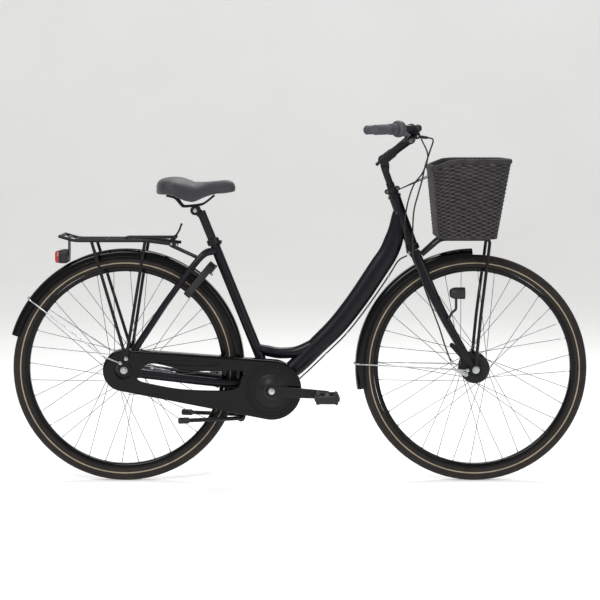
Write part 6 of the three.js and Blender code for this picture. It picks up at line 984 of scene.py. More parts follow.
def makeMudguard(name, axle, startTurn, endTurn, body, node):
    radius, half, wall, section = (GUARD[key] for key in ("radius", "half", "wall", "section"))
    drop, y = np.array([[drop, -y] for drop, y in section[:-1]] + section[::-1]).T
    outer = np.column_stack([radius - drop, y])
    inner = np.column_stack([radius - drop - wall * (drop < 15), y * (half - wall) / half])[::-1]
    surfaces = [revolve(axle, np.vstack([outer, inner]), 150, startTurn / 360, endTurn / 360)]
    reach = radius - section[0][0] + 1.2
    for side in SIDES:
        turns = np.linspace(startTurn, endTurn, 150)
        edge = [around(axle, reach, turn, side * (half - 1.1)) for turn in turns]
        surfaces.append(tube(edge, GUARD["beadRadius"], sides=10))
    piece(name, surfaces, body, glossCover, [node])


def makeGuardStay(name, axle, bolt, boltY, rootY, turn, body, node):
    # one wire from bolt to bolt, over the mudguard
    bends = [(WIRE["rootReach"], boltY)] + WIRE["bends"]
    half = [bolt - at(0, boltY, 0)] + [around(axle, reach, turn, -y) for reach, y in bends]
    other = [spot * [1, -1, 1] for spot in half[::-1]]
    surfaces = [tube(straightPath(half + other, 60, 8), WIRE["radius"], sides=14)]
    for hand in SIDES:
        surfaces.append(crossBar(bolt, hand * (boltY - 2.5), hand * (boltY + 2.5), 5.6, 28, 0.8))
        surfaces.append(crossBar(bolt, hand * (boltY + 2.5), hand * (boltY + 6), 4.6, 6, 0.8))
        surfaces.append(crossBar(bolt, hand * rootY, hand * boltY, 3, 16, 0.2))
    piece(name, surfaces, body, zinc, [node])


def onRack(x, y=0):
    return at(x, y, np.interp(x, *zip(*RACK["rail"])))


def onBar(k, y=0):
    return onRack(RACK["rail"][0][0] + RACK["span"] * RACK["bars"][k], y)


def makeRack():
    half, size = RACK["half"], RACK["tube"]
    surfaces = []
    for side in SIDES:
        rail = [at(x, side * half, z) for x, z in RACK["rail"]]
        surfaces.append(tube(straightPath(rail, 60, 14), size, sides=18))
        for x in RACK["legX"]:
            end = rackFoot + at(0, side * RACK["footY"], 0)
            leg = straightPath([at(x, side * half, RACK["legZ"]), end], 12)
            spots = [0, 0.93, 0.97, 1]
            wide = eased(len(leg), spots, [size, size, 3, 2.6])
            deep = eased(len(leg), spots, [size, size, 7, 7.5])
            surfaces.append(tube(leg, wide, deep, 16))
        surfaces.append(crossBar(rackFoot, side * 59, side * 90, 3, 16, 0.3))
    for k in range(len(RACK["bars"])):
        surfaces.append(crossBar(onBar(k), -half, half, RACK["bar"], 18))
    rear = RACK["rail"][0][0]
    surfaces.append(crossBar(onRack(rear), -half, half, size, 20))
    for y in (-RACK["slatY"], RACK["slatY"]):
        surfaces.append(rod(onBar(0, y), onBar(2, y), RACK["bar"]))
    for side in SIDES:
        near, far = (side * y for y in RACK["earY"])
        ear = beltLoop(onBar(3), 6, clipPivot, 5.99, 16)
        surfaces.append(plate(ear, near, far, 0.6, [circleLoop(clipPivot, 3.5, 24)]))
    top, low = onRack(RACK["plateX"]), at(RACK["plateX"], 0, LAMP["z"])
    surfaces.append(softBlock((top + low) / 2, *LAMP["hanger"], (top - low)[2] / MM, 2))
    surfaces.append(crossBar(top, -half, half, RACK["bar"], 18))
    piece("rack", surfaces, "frame", powderCoat, ["rack"])
    caps = [ball(onRack(rear, side * half), 5.4, 20) for side in SIDES]
    piece("rackEndCaps", caps, "frame", blackPlastic)
    screws = []
    for side in SIDES:
        screws.append(crossBar(rackFoot, side * 86.6, side * 89.4, 6.2, 28, 0.6))
        screws.append(crossBar(rackFoot, side * 89, side * 92, 5, 6, 0.8))
    for x in RACK["screwX"]:
        screws.append(crossBar(onRack(x), -69, -66.6, 3.6, 6, 0.6))
    piece("rackScrews", screws, "frame", zinc)


def makeRackStrut():
    low, top, aside = stayBridge - at(12.2, 0, 0), onBar(3) - at(0, 0, 8.2), at(0, RACK["strutY"], 0)
    loop = straightPath([low, low - aside, top - aside, top + aside, low + aside, low], 50, 8)
    piece("rackStrut", tube(loop, RACK["strutRadius"], sides=16), "frame", powderCoat, ["rack_strut"])


def makeTailLight():
    front = LAMP["x"] + 4.3
    w, h, c = LAMP["width"] / 2, LAMP["height"] / 2, LAMP["corner"]
    rows = [[-26, w - 0.8, h - 0.8, c], [-23, w - 0.8, h - 0.8, c], [-22, w, h, c], [-8, w, h, c],
            [-4, w - 0.3, h - 0.3, c], [-1.2, w - 1.6, h - 1.6, c - 1.6], [0, w - 4, h - 4, c - 4]]
    body = blockLoft(at(front, 0, LAMP["z"]), rows)
    piece("tailLightBody", body, "frame", blackPlastic, ["tail_light_body"], sharp=45)
    rows = [[-12, w - 8, h - 8, c - 3], [-11.2, w - 4.4, h - 4.4, c - 2], [-9, w - 2.3, h - 2.3, c - 1],
            [-6, w - 1.5, h - 1.5, c], [0, w - 1.5, h - 1.5, c]]
    glass = blockLoft(at(front - 26.4, 0, LAMP["z"]), rows)
    piece("tailLightLens", glass, "frame", redLens, ["tail_light_lens"], sharp=45)


frontBolt = frontAxle + at(-26, 0, -1)
rearBolt = rearAxle + at(-9, 0, 24)
makeMudguard("mudguardRear", rearAxle, -12, 163.6, "frame", "mudguard_rear")
makeMudguard("mudguardFront", frontAxle, 91, 190.5, "fork", "mudguard_front")
makeGuardStay("mudguardRearStay", rearAxle, rearBolt, 82, 65, 144.4, "frame", "mudguard_rear_stay")
makeGuardStay("mudguardFrontStay", frontAxle, frontBolt, 63, 53, 178, "fork", "mudguard_front_stay")
makeRack()
makeRackStrut()
makeTailLight()
print("mudguards and rack ready")

# Ring lock and rear axle
LOCK = {
    "turn": 50, "centre": 338, "inner": 46, "outer": 61, "top": 422, "thickness": 22, "mouth": 44,
    "ring": 53.5, "rise": 23, "slotHalf": 5, "slotTurns": (64, 186), "length": 150, "travel": 108,
    "knobTurn": 26, "blockHalf": 23, "blockHeight": 30, "lift": 5, "keyRadius": 4, "lugReach": 366,
    "lugTurns": (50, 56.3), "lugY": 46,
}
lockTurn = math.radians(LOCK["turn"])
lockRadial = np.array([math.cos(lockTurn), 0, math.sin(lockTurn)])
lockNormal = np.array([lockRadial[2], 0, -lockRadial[0]])


def lockArc(radius, startTurn, endTurn, count=60, lift=0.0):
    # an arc in the lock's own plane; points beyond the centre are lifted outwards
    turn = np.radians(np.linspace(startTurn, endTurn, count))
    reach = LOCK["centre"] - radius * np.cos(turn)
    return np.column_stack([radius * np.sin(turn), reach + lift * (reach > LOCK["centre"])]) * MM


def onLock(surface):
    return placed(surface, rearAxle, LATERAL, lockRadial, lockNormal)


def lockSpot(turn):
    side, reach = lockArc(LOCK["ring"], turn, turn, 1)[0]
    return rearAxle + LATERAL * side + lockRadial * reach


def makeRingLock():
    mouth, half, ring, slotHalf = LOCK["mouth"], LOCK["thickness"] / 2, LOCK["ring"], LOCK["slotHalf"]
    low, high = LOCK["slotTurns"]
    outer = lockArc(LOCK["outer"], mouth, 360 - mouth, 90, LOCK["rise"])
    inner = lockArc(LOCK["inner"], 360 - mouth, mouth, 70)
    slot = np.vstack([lockArc(ring + slotHalf, -high, -low, 40), lockArc(ring - slotHalf, -low, -high, 40)])
    key = at(0, 0, LOCK["top"] - LOCK["blockHeight"] / 2)
    block = roundedRing(LOCK["blockHalf"], LOCK["blockHeight"] / 2, 6) * MM + key[[0, 2]]
    surfaces = {
        "Housing": plate(np.vstack([outer, inner]), -half, half, 2.6),
        "Track": plate(slot, half - 0.6, half + 0.25, 0.2),
        "Block": plate(block, half - 2, half + LOCK["lift"], 1.4, [circleLoop(key, LOCK["keyRadius"], 32)]),
    }
    piece("ringLockHousing", onLock(surfaces["Housing"]), "frame", blackPlastic, ["ring_lock_housing"])
    piece("ringLockTrack", onLock(surfaces["Track"]), "frame", glossPlastic)
    piece("ringLockBlock", onLock(surfaces["Block"]), "frame", greyPlastic)
    rows = [[half - 1, 3.9], [half + 2.6, 3.9], [half + 3, 3.4], [half + 3, 1.2], [half + 1.5, 1]]
    piece("ringLockBarrel", spindle(rearAxle + lockRadial * key[2], lockNormal, rows, 32), "frame", zinc)
    lugs = []
    for side in SIDES:
        ends = [around(rearAxle, LOCK["lugReach"], turn, side * LOCK["lugY"]) for turn in LOCK["lugTurns"]]
        lugs.append(rod(*ends, 5, sides=20))
    piece("ringLockLugs", lugs, "frame", powderCoat)


def makeShackle():
    start, half = -LOCK["mouth"], LOCK["thickness"] / 2
    spots = [lockSpot(turn) for turn in np.linspace(start, start - LOCK["length"], 60)]
    root = lockSpot(start - LOCK["knobTurn"] - LOCK["travel"])
    rows = [[0, 2.6], [half + 3.5, 2.6], [half + 4.5, 3.8], [half + 11, 3.9], [half + 12, 3]]
    bar = tube(spots, [2.6, 3.5] + [4.0] * 56 + [3.5, 2.6], sides=20)
    piece("lockShackle", [bar, spindle(root, lockNormal, rows, 28)], "lock_shackle", zinc, ["lock_shackle"])


def wheelAxle(axle, half, face, nut):
    # a spindle with a nut on each of its ends
    surfaces = [crossBar(axle, -half, half, 4.9, 24, 1)]
    for way in (1, -1):
        surfaces += hexNut(axle, way * face, way * (face + nut), 9.5)
    return surfaces


def makeRearAxle():
    surfaces = wheelAxle(rearAxle, 80, 68.5, 11) + [crossBar(rearAxle, 46, 54, 9.4, 6, 0.6)]
    arm = np.linspace(rearAxle + at(8, 50, 0), rearAxle + at(150, 36, -26), 20)
    surfaces.append(tube(arm, 1.9, np.linspace(8.6, 5.6, 20), 20))
    piece("rearAxle", surfaces, "frame", zinc, ["rear_axle"], sharp=32)


makeRingLock()
makeShackle()
makeRearAxle()
print("lock and rear axle ready")

# Fork and its fittings
FORK = {
    "width": 20, "depth": 30, "spread": 51,
    "runShares": [0.051, 0.135, 0.361, 0.634, 0.907, 0.975],
    "riseShares": [0.06, 0.162, 0.427, 0.697, 0.932, 0.985],
    "spreadShares": [0.78, 0.9, 0.97, 1, 1.02, 1.04],
    "widthShares": [1, 1, 0.95, 0.9, 0.8, 0.65], "depthShares": [1, 1, 0.95, 0.88, 0.78, 0.6],
    "crownDepth": 36, "crownHeight": 26.4, "crownHalf": 49.5, "tipY": 53, "domeHeight": 2.5,
}
STEM = {"pivot": (262, 0, 994), "clamp": (344.5, 0, 1059), "radius": 10.8, "clampRadius": 16.4,
        "discRadius": 16.4}
BRACKET = {"height": 8.4, "earRadius": 16.7, "half": 11, "wireEnd": (401, 44, 943), "wireRadius": 1.6}
CARRIER = {
    "tube": 5, "bar": 4.6, "strutY": 61, "topY": 52, "footZ": 366, "middle": (557, 508), "frontX": 588,
    "rearX": 436, "lastX": 573, "deckZ": 750.7, "tie": (18.3, 39.8), "eye": (11, 5),
}
HEADLIGHT = {"spot": (479, -92, 589), "stalk": 4, "drop": 50, "kneeY": -83}


def makeFork():
    surfaces = []
    steps = np.radians([88, 70, 45, 20, 0])
    wide, deep = ovalSizes(FORK, 60)
    for side in SIDES:
        spots = curveBetween(headBottom, frontAxle, FORK, 60, side)
        surfaces.append(domed(spots, wide, deep, 32))
        cap = spots[0] + unit(spots[0] - spots[1]) * (np.sin(steps) * FORK["domeHeight"] * MM)[:, None]
        surfaces.append(tube(cap, wide[0] * np.cos(steps), deep[0] * np.cos(steps), 32))
    seat = along(headBottom, steerAxis, -0.3)
    race = [[-8, 17], [-8, 20], [-7.2, 20.8], [-1, 20.8], [-0.3, 20], [-0.3, 14]]
    surfaces.append(spindle(seat, steerAxis, race, 48))
    height, half = FORK["crownHeight"], FORK["crownHalf"]
    turn = np.linspace(0, TURN, 48, endpoint=False)
    ahead, up = FORK["crownDepth"] / 2 * MM * np.cos(turn), height / 2 * MM * np.sin(turn)
    c, s = math.cos(headLean), math.sin(headLean)
    middle = along(seat, steerAxis, -6 - height / 2)
    oval = np.column_stack([ahead * c - up * s, ahead * s + up * c]) + middle[[0, 2]]
    surfaces.append(plate(oval, -half, half, 4))
    steerer = [[-2, 12], [0.3, 12.7], [39, 12.7], [40, 12], [40, 11.2]]
    surfaces.append(spindle(headTop, steerAxis, steerer, 40))
    nut = [[0.4, 16], [0.4, 17], [7.4, 17], [8, 16], [8, 12.5]]
    surfaces.append(spindle(headTop, steerAxis, nut, 8))
    start = between(headBottom, frontAxle, FORK["runShares"][4], FORK["riseShares"][4])
    for side in SIDES:
        middle = side * FORK["tipY"]
        surfaces.append(plate(beltLoop(frontAxle, 14, start, 7, 20), middle - 3, middle + 3, 0.8))
        surfaces.append(plate(beltLoop(frontAxle, 13.8, frontBolt, 7, 20), middle - 2.8, middle + 2.8, 0.8))
    piece("fork", surfaces, "fork", framePaint, ["fork"])


def makeStemQuill():
    pivot, radius = at(*STEM["pivot"]), STEM["radius"]
    quill = spindle(along(headTop, steerAxis, 30), steerAxis, [[0, radius], [49, radius]], 36)
    neck = np.linspace(along(headTop, steerAxis, 76), along(pivot, steerAxis, -10.5), 24)
    wide, deep = (eased(24, [0, 0.5, 1], [radius] + sizes) for sizes in ([7.8, 7.6], [13.5, 14.2]))
    tongue = revolve(pivot, bothSides([[4.4, 8], [14, 8], [15, 7]]), 48)
    piece("stemQuill", [quill, tube(neck, wide, deep, 32), tongue], "fork", powderCoat, ["stem_quill"])


def makeStem():
    pivot, clamp, radius = at(*STEM["pivot"]), at(*STEM["clamp"]), STEM["clampRadius"]
    heading = unit(clamp - pivot)
    cheek = beltLoop(pivot, 15, along(pivot, heading, 34), 14.6, 28)
    surfaces = [plate(cheek, side * 8.4, side * 16, 1.6) for side in SIDES]
    arm = np.linspace(along(pivot, heading, 26), clamp, 24)
    wide, deep = (eased(24, [0, 0.4, 1], sizes) for sizes in ([16, 14.5, 15.6], [13.5, 12.8, 14.6]))
    surfaces.append(tube(arm, wide, deep, 36))
    rows = bothSides([[11.4, 16], [15.4, 16], [radius, 15], [radius, 0.8]])
    rows.insert(4, [radius - 0.7, 0])
    surfaces.append(revolve(clamp, rows, 56))
    bolts = []
    for side in SIDES:
        surfaces.append(crossBar(pivot, side * 15, side * 18, STEM["discRadius"], 48, 1.1))
        bolts.append(crossBar(pivot, side * 17, side * 18.8, 6.4, 28, 0.6))
        bolts.append(crossBar(along(clamp, [0.55, 0, -0.83], 12), side * 5, side * 12, 3.2, 6, 0.6))
    piece("stemExtension", surfaces, "handlebar", powderCoat, ["stem_extension"])
    piece("stemBolts", bolts, "handlebar", hubAlloy)


def makeHeadsetBracket():
    bottom, half = along(headTop, steerAxis, BRACKET["height"]), BRACKET["half"]
    middle = along(bottom, steerAxis, 8)
    surfaces = [spindle(bottom, steerAxis, bothEnds(16, [[0, 13], [0, 16], [0.8, 17]]), 40)]
    ears = [around(middle, way * BRACKET["earRadius"], math.degrees(headLean)) for way in SIDES]
    surfaces += [crossBar(spot, -half, half, 8, 28, 1.2) for spot in ears]
    x, y, z = BRACKET["wireEnd"]
    for side in SIDES:
        start, end = middle + at(BRACKET["earRadius"], 0, 0), at(x, side * y, z)
        knee = (start + end) / 2 * [1, 0, 1] + at(0, side * y / 2, 0)
        surfaces.append(tube(straightPath([start, knee, end], 24, 10), BRACKET["wireRadius"], sides=10))
    piece("headsetBracket", surfaces, "fork", powderCoat, ["headset_bracket"])
    screws = [crossBar(spot, -half, -half - 1.6, 4.4, 6, 0.7) for spot in ears]
    piece("headsetBracketScrews", screws, "fork", darkSteel)


def makeCarrier():
    surfaces = []
    crown = between(headBottom, frontAxle, FORK["runShares"][0], FORK["riseShares"][0])
    foot = at(frontAxle[0] / MM, 0, CARRIER["footZ"])
    middleX, middleZ = CARRIER["middle"]
    for side in SIDES:
        y, top, deckZ = side * CARRIER["strutY"], side * CARRIER["topY"], CARRIER["deckZ"]
        tieX, tieY = CARRIER["tie"]
        spots = [foot + at(0, y, 0), at(middleX, y, middleZ), at(CARRIER["frontX"], top, deckZ),
                 at(CARRIER["rearX"], top, deckZ), crown + at(tieX, side * tieY, 0)]
        surfaces.append(tube(straightPath(spots, 60, 16), CARRIER["tube"], sides=18))
        eyeRadius, footRadius = CARRIER["eye"]
        surfaces.append(plate(beltLoop(frontAxle, eyeRadius, foot, footRadius, 24), y - 1.5, y + 1.5, 0.5))
    for x in np.linspace(CARRIER["rearX"], CARRIER["lastX"], 3):
        spot = at(x, 0, CARRIER["deckZ"])
        surfaces.append(crossBar(spot, -CARRIER["topY"], CARRIER["topY"], CARRIER["bar"], 18))
    piece("frontCarrier", surfaces, "fork", powderCoat, ["front_carrier"])


def makeHeadlight():
    spot = at(*HEADLIGHT["spot"])
    rows = [[-20, 7], [-19.6, 9], [-18, 11.6], [-14, 14.6], [-8, 17], [-4, 17.7], [4, 18], [9, 18],
            [9.4, 17.6], [10, 17.6], [10.4, 18], [24, 18], [26.6, 17.6], [27, 17], [26.6, 16.2], [16, 15.8]]
    end = spot - at(0, 0, HEADLIGHT["drop"])
    blade = between(headBottom, frontAxle, 0.55, 0.59, -FORK["spread"] * MM)
    knee = np.array([(end[0] + blade[0]) / 2, HEADLIGHT["kneeY"] * MM, end[2] - 9 * MM])
    path = straightPath([spot - at(0, 0, 9), end, knee, blade - at(0, 9, 0)], 30, 12)
    stalk = tube(path, HEADLIGHT["stalk"], sides=16)
    body = [spindle(spot, [1, 0, 0], rows, 48), stalk]
    piece("headlightBody", body, "fork", blackPlastic, ["headlight_body"])
    rows = [[15.6, 10], [15.6, 15.5], [17, 15.6], [19, 14.6], [20.4, 11.4], [21.2, 6.8], [21.6, 2],
            [21.65, 0.3]]
    piece("headlightLens", spindle(spot, [1, 0, 0], rows, 48), "fork", clearLens, ["headlight_lens"])


def makeDrumBrake():
    rows = [[0.4, -50], [12, -49.7], [12, -42], [14, -41.2], [22, -40.4], [23, -41], [25, -41], [26, -40.4],
            [33.6, -41], [38, -39.6], [42, -37.5], [42.2, -36], [42, -32], [40, -31.5], [0.4, -31.5]]
    end = frontAxle + at(-72, 0, 74)
    strut = plate(beltLoop(frontAxle, 12, end, 7, 24), -43.5, -38.4, 0.8)
    stop = crossBar(end, -44.6, -42.6, 4.2, 20, 0.6)
    surfaces = [revolve(frontAxle, rows, 72), strut, stop]
    piece("drumBrakePlate", surfaces, "fork", powderCoat, ["drum_brake_plate"])
    cam, tip = frontAxle + at(-29, 0, -16), frontAxle + at(-64, 0, -2)
    lever = plate(beltLoop(cam, 7, tip, 3.5, 20), -47.1, -43.7, 0.7)
    pins = [crossBar(cam, -48.6, -32, 3.8, 24, 0.6), crossBar(tip, -50.4, -42.6, 3.6, 20, 0.7)]
    piece("drumBrakeArm", [lever] + pins, "drum_arm", zinc, ["drum_brake_arm"])


makeFork()
makeStemQuill()
makeStem()
makeHeadsetBracket()
piece("frontAxle", wheelAxle(frontAxle, 73.5, 62.8, 10), "fork", zinc, ["front_axle"], sharp=32)
makeCarrier()
makeHeadlight()
makeDrumBrake()
print("fork and fittings ready")

# Basket, woven strand by strand
BASKET = {
    "bottomZ": 756, "rimZ": 1001, "rearRimZ": 979, "bottomX": (423, 603), "topX": (403, 647),
    "half": (150, 172), "cornerShare": 0.32, "dipShares": [1, 0.55, 0.12, 0, 0, 0, 0, 0, 0, 0],
    "stakes": 58, "rowPitch": 6.0, "firstRow": 8, "rimHeight": 18, "strand": 2.4, "stake": 1.9,
    "weave": 1.9, "inset": 4, "braids": [{"share": 0.962, "inset": 4.2, "size": 5.2, "height": 4.8},
               {"share": 0.02, "inset": 4.6, "size": 3.8, "height": 3.0}],
    "floorZ": 762, "floorPitch": 12.0, "floorY": 138, "floorStep": 5.6, "floorStrand": 2.2,
}
basketRise = BASKET["rimZ"] - BASKET["bottomZ"]


def basketLoop(share, inset, count):
    # rounded rectangle at a share of the height, evenly spaced, with its rear let down near the rim
    mix = lambda low, high: low + (high - low) * share
    rear, front = (mix(*pair) for pair in zip(BASKET["bottomX"], BASKET["topX"]))
    rear, front, half = rear + inset, front - inset, mix(*BASKET["half"]) - inset
    corner = max(half * BASKET["cornerShare"] - inset * 0.3, 4)
    ring = roundedRing((front - rear) / 2, half, corner, 14) + np.array([(front + rear) / 2, 0])
    closed = np.vstack([ring, ring[:1]])
    x, y = sampled(closed, np.linspace(0, lengthAlong(closed)[-1], count, endpoint=False)).T
    run = np.clip((x - rear) / (front - rear), 0, 1)
    dip = np.interp(run, np.linspace(0, 1, 10), BASKET["dipShares"]) * (BASKET["rimZ"] - BASKET["rearRimZ"])
    return np.column_stack([x, y, BASKET["bottomZ"] + basketRise * share - dip * share]) * MM


def pushed(loop, amount):
    # a near-level loop whose points move outwards by the amount in millimetres
    outward = np.column_stack([outwardOf(loop[:, :2]), np.zeros(len(loop))])
    return loop + outward * (amount * MM)[:, None]


def makeWeave():
    # each row runs in and out round the stakes, half a wave on from the row below
    count = BASKET["stakes"] * 6
    phase = np.arange(count) / count * BASKET["stakes"] * math.pi
    rows = int((basketRise - BASKET["rimHeight"]) / BASKET["rowPitch"])
    surfaces, crowns = [], []
    for k in range(rows):
        wave = np.sin(phase + math.pi * (k % 2))
        share = (BASKET["firstRow"] + k * BASKET["rowPitch"]) / basketRise
        loop = pushed(basketLoop(share, BASKET["inset"], count), wave * BASKET["weave"])
        loop[:, 2] += 0.25 * MM * np.sin(phase * 0.31 + k * 1.7)
        surfaces.append(tube(loop, BASKET["strand"], BASKET["strand"] * 1.4, 6, closed=True))
        # the wave also colours the strands: a painted highlight on the outer crowns and painted shade in the
        # hollows
        crowns.append(np.repeat(wave, 6))
    weave = piece("basketWeave", surfaces, "fork", basketCane, ["basket"], sharp=80)
    # point attribute that carries the painted highlight and shade to the cane material
    crown_highlight_and_shade = weave.data.attributes.new("crown_highlight_and_shade", "FLOAT", "POINT")
    crown_highlight_and_shade.data.foreach_set("value", np.concatenate(crowns))


def makeStakes():
    count = BASKET["stakes"] * 2
    columns = np.array([basketLoop(share, BASKET["inset"], count) for share in np.linspace(0.01, 0.94, 14)])
    stakes = [tube(columns[:, k], BASKET["stake"], sides=6) for k in range(0, count, 2)]
    piece("basketStakes", stakes, "fork", basketCane, sharp=80)


def makeBraids():
    # four strands twist round each other along the rim and the foot
    count = BASKET["stakes"] * 14
    turn = np.arange(count) / count * TURN * BASKET["stakes"]
    surfaces = []
    for braid in BASKET["braids"]:
        base = basketLoop(braid["share"], braid["inset"], count)
        for strand in range(4):
            angle = turn * 0.5 + strand * math.pi / 2
            spots = pushed(base, np.cos(angle) * braid["size"] * 0.62)
            spots[:, 2] += np.sin(angle) * braid["height"] * MM * 1.1
            surfaces.append(tube(spots, braid["size"] * 0.62, sides=7, closed=True))
    piece("basketBraid", surfaces, "fork", basketCane, sharp=80)


def makeBasketFloor():
    rear, front = BASKET["bottomX"]
    pitch, z, half = BASKET["floorPitch"], BASKET["floorZ"], BASKET["floorY"]
    xs = np.arange(rear + 12, front - 8, pitch)
    floor = []
    for j, y in enumerate(np.arange(-half, half + 1, BASKET["floorStep"])):
        run = np.linspace(rear + 8, front - 8, 90)
        lift = 1.5 * np.sin((run - xs[0]) / pitch * math.pi + math.pi * (j % 2))
        if np.abs(y) > half - 20:
            run = np.linspace(rear + 26, front - 26, 90)
        spots = np.column_stack([run, np.full(90, y), z + lift]) * MM
        floor.append(tube(spots, BASKET["floorStrand"], sides=6))
    for x in xs:
        floor.append(tube(np.linspace(at(x, -half - 2, z), at(x, half + 2, z), 12), BASKET["stake"], sides=6))
    piece("basketFloor", floor, "fork", basketCane, sharp=80)


makeWeave()
makeStakes()
makeBraids()
makeBasketFloor()
print("basket ready")

# Handlebar, grips and brake lever
BAR = {
    "clamp": STEM["clamp"], "radius": 11.1, "centreY": 40, "riseY": 105, "bend": (336, 172, 1091),
    "start": (322, 194, 1091), "end": (222, 300, 1087), "gripRadius": 15.5, "gripLength": 118,
    "rightLength": 66, "twistRadius": 17, "twistLength": 28,
}
LEVER = {
    "pivot": (348, -164, 1068), "tip": (224, -284, 987), "ahead": 24,
    "runShares": [0, 0.14, 0.34, 0.5, 0.7, 0.88, 1], "dropShares": [0, 0.06, 0.17, 0.27, 0.49, 0.77, 1],
    "aheadShares": [0, 0.08, 0.75, 1, 0.8, 0.5, 0.3],
    "band": [[0, 11.9], [0, 15], [1, 16]], "hub": [[0, 8], [0.8, 8.9]],
    "pin": [[0, 2.6], [0.6, 3.4], [1.6, 3.6]], "ear": [[0, 8.2], [0.4, 9], [4.4, 9], [5.4, 7.6]],
    "outlet": [[0, 5], [26, 5], [27, 4.4], [28.5, 4.4], [29.5, 5], [33, 4.6], [39, 3]],
}


def gripLine(side):
    start, end = at(*BAR["start"]) * [1, side, 1], at(*BAR["end"]) * [1, side, 1]
    return start, end, unit(end - start), np.linalg.norm(end - start) / MM


def barRise(side):
    # the middle of the rise, and the bend at its outer end
    (clampX, _, clampZ), (x, y, z) = BAR["clamp"], BAR["bend"]
    return at((clampX + x) / 2, side * BAR["riseY"], (clampZ + z) / 2), at(x, side * y, z)


def barArm(side):
    start, end, heading, _ = gripLine(side)
    root = at(*BAR["clamp"]) + at(0, side * BAR["centreY"], 0)
    return [root, *barRise(side), start, along(start, heading, 40), along(end, heading, -5.6)]


def makeHandlebar():
    spots = barArm(1)[::-1] + [at(*BAR["clamp"])] + barArm(-1)
    surface = tube(smoothPath(spots, 180), BAR["radius"], sides=32)
    piece("handlebar", surface, "handlebar", powderCoat, ["handlebar"])


def ribbedSleeve(side, first, last, radius, ribs, closed=True):
    # rubber sleeve whose radius rises and falls in ribs along the bar
    start, _, heading, _ = gripLine(side)
    steps = np.linspace(0, 1, ribs * 6 + 1)
    wave = 0.5 - 0.5 * np.cos(steps * ribs * TURN)
    swell = 0.5 * np.sin(steps * math.pi)
    body = np.column_stack([first + 3 + steps * (last - first - 6), radius - 1.5 + 0.9 * wave + swell])
    lead = [[first, 11.8], [first, radius - 1], [first + 1, radius], [first + 2.4, radius]]
    end = [[last - 2, radius], [last, radius - 0.6]]
    if closed:
        end += [[last + 2.2, radius - 2], [last + 3.5, radius - 5.2], [last + 3.7, 0.4]]
    else:
        end += [[last, 11.8]]
    return spindle(start, heading, lead + body.tolist() + end, 48)


def makeGrips():
    start, _, heading, span = gripLine(-1)
    left = ribbedSleeve(1, span - BAR["gripLength"], span, BAR["gripRadius"], 18)
    right = ribbedSleeve(-1, span - BAR["rightLength"], span, BAR["gripRadius"], 10)
    piece("gripLeft", left, "handlebar", gripRubber, ["grip_left"])
    piece("gripRight", right, "handlebar", gripRubber, ["grip_right"])
    end = span - BAR["rightLength"] - 0.4
    middle = end - BAR["twistLength"]
    sleeve = ribbedSleeve(-1, middle, end, BAR["twistRadius"], 5, closed=False)
    rows = [[-24, 12], [-24, 20], [-23, 22.5], [-20, 24.6], [-14, 25.4], [-8, 25], [-7.4, 24.4], [-6.8, 25],
            [-2, 22.6], [-0.4, 19.4], [-0.4, 17]]
    piece("twistGrip", sleeve, "shifter", gripRubber, ["twist_grip"])
    piece("twistBody", spindle(along(start, heading, middle), heading, rows, 56), "shifter", greyGrip)


def makeLever():
    before, spot = barRise(-1)
    heading = unit(spot - before)
    surfaces = [spindle(along(spot, heading, -26), heading, bothEnds(26, LEVER["band"]), 44)]
    middle = along(spot, heading, -13)
    pivot, tip = at(*LEVER["pivot"]), at(*LEVER["tip"])
    flat = unit((tip - pivot) * [1, 1, 0])
    axis = np.array([flat[1], -flat[0], 0])
    level = middle * [1, 1, 0] + pivot * [0, 0, 1]
    surfaces.append(rod(middle, level + at(24, 0, 0), 11.5, 8.6, 32, 1.4))
    surfaces.append(spindle(level + at(13, 0, 0), [39, 0, -4.5], LEVER["outlet"], 28))
    surfaces += [spindle(along(pivot, axis, side * 6.6), axis * side, LEVER["ear"], 32) for side in SIDES]
    piece("leverBracket", surfaces, "handlebar", powderCoat, ["lever_bracket"])
    piece("gearDome", ball(middle + at(20.8, 0, 4), 12, 36), "handlebar", blackPlastic)
    spots = []
    for run, drop, push in zip(LEVER["runShares"], LEVER["dropShares"], LEVER["aheadShares"]):
        base = pivot + (tip - pivot) * [run, run, drop]
        spots.append(base - axis * LEVER["ahead"] * push * MM)
    wide = eased(60, [0, 0.2, 0.8, 1], [4.6, 4.4, 4.3, 4.2])
    surfaces = [tube(smoothPath(spots, 60), wide, np.full(60, 4.4), 24)]
    surfaces.append(spindle(along(pivot, axis, -6), axis, bothEnds(12, LEVER["hub"]), 36))
    surfaces.append(ball(spots[-1], 5.5, 24))
    piece("brakeLever", surfaces, "brake_lever", powderCoat, ["brake_lever"])
    pin = spindle(along(pivot, axis, -13), axis, bothEnds(26, LEVER["pin"]), 20)
    piece("leverPin", pin, "handlebar", zinc)


makeHandlebar()
makeGrips()
makeLever()
print("handlebar ready")

# Cranks and pedals; each row of a pedal's blocks is length, width, height and corner
CRANK = {
    "length": 168.3, "turn": -3.9, "faceY": 84, "thick": 13, "rootDepth": 34, "tipDepth": 25,
    "dish": [[0.3, -90.5], [14, -90.5], [22, -89.4], [28, -86.6], [36, -82.6], [42, -80.6], [48, -79],
             [50, -78], [50, -76.6], [49, -76.4], [15, -76.4]],
    "boss": [[0, 14.6], [1, 15.6], [10, 15.4], [26, 13]],
    "ring": [[20, -90.9], [24.6, -90.2], [26, -88.4], [24, -88], [18, -90]],
}
PEDAL = {
    "innerY": 102, "width": 94, "axleEnd": 193, "barrel": 10.6, "barX": 27.4, "reflectorX": 33.2,
    "side": (66, 9.6, 24, 4.5), "bar": (80, 10, 20, 2), "stud": (12, 4.6, 4.6, 1.1), "studPitch": 8.2,
    "studZ": 11.6, "strip": (76, 12.4, 3.6, 1), "stripZ": 9.6, "reflector": (44, 1.4, 12, 0.5),
}
HANDS = ((-1, "Right"), (1, "Left"))


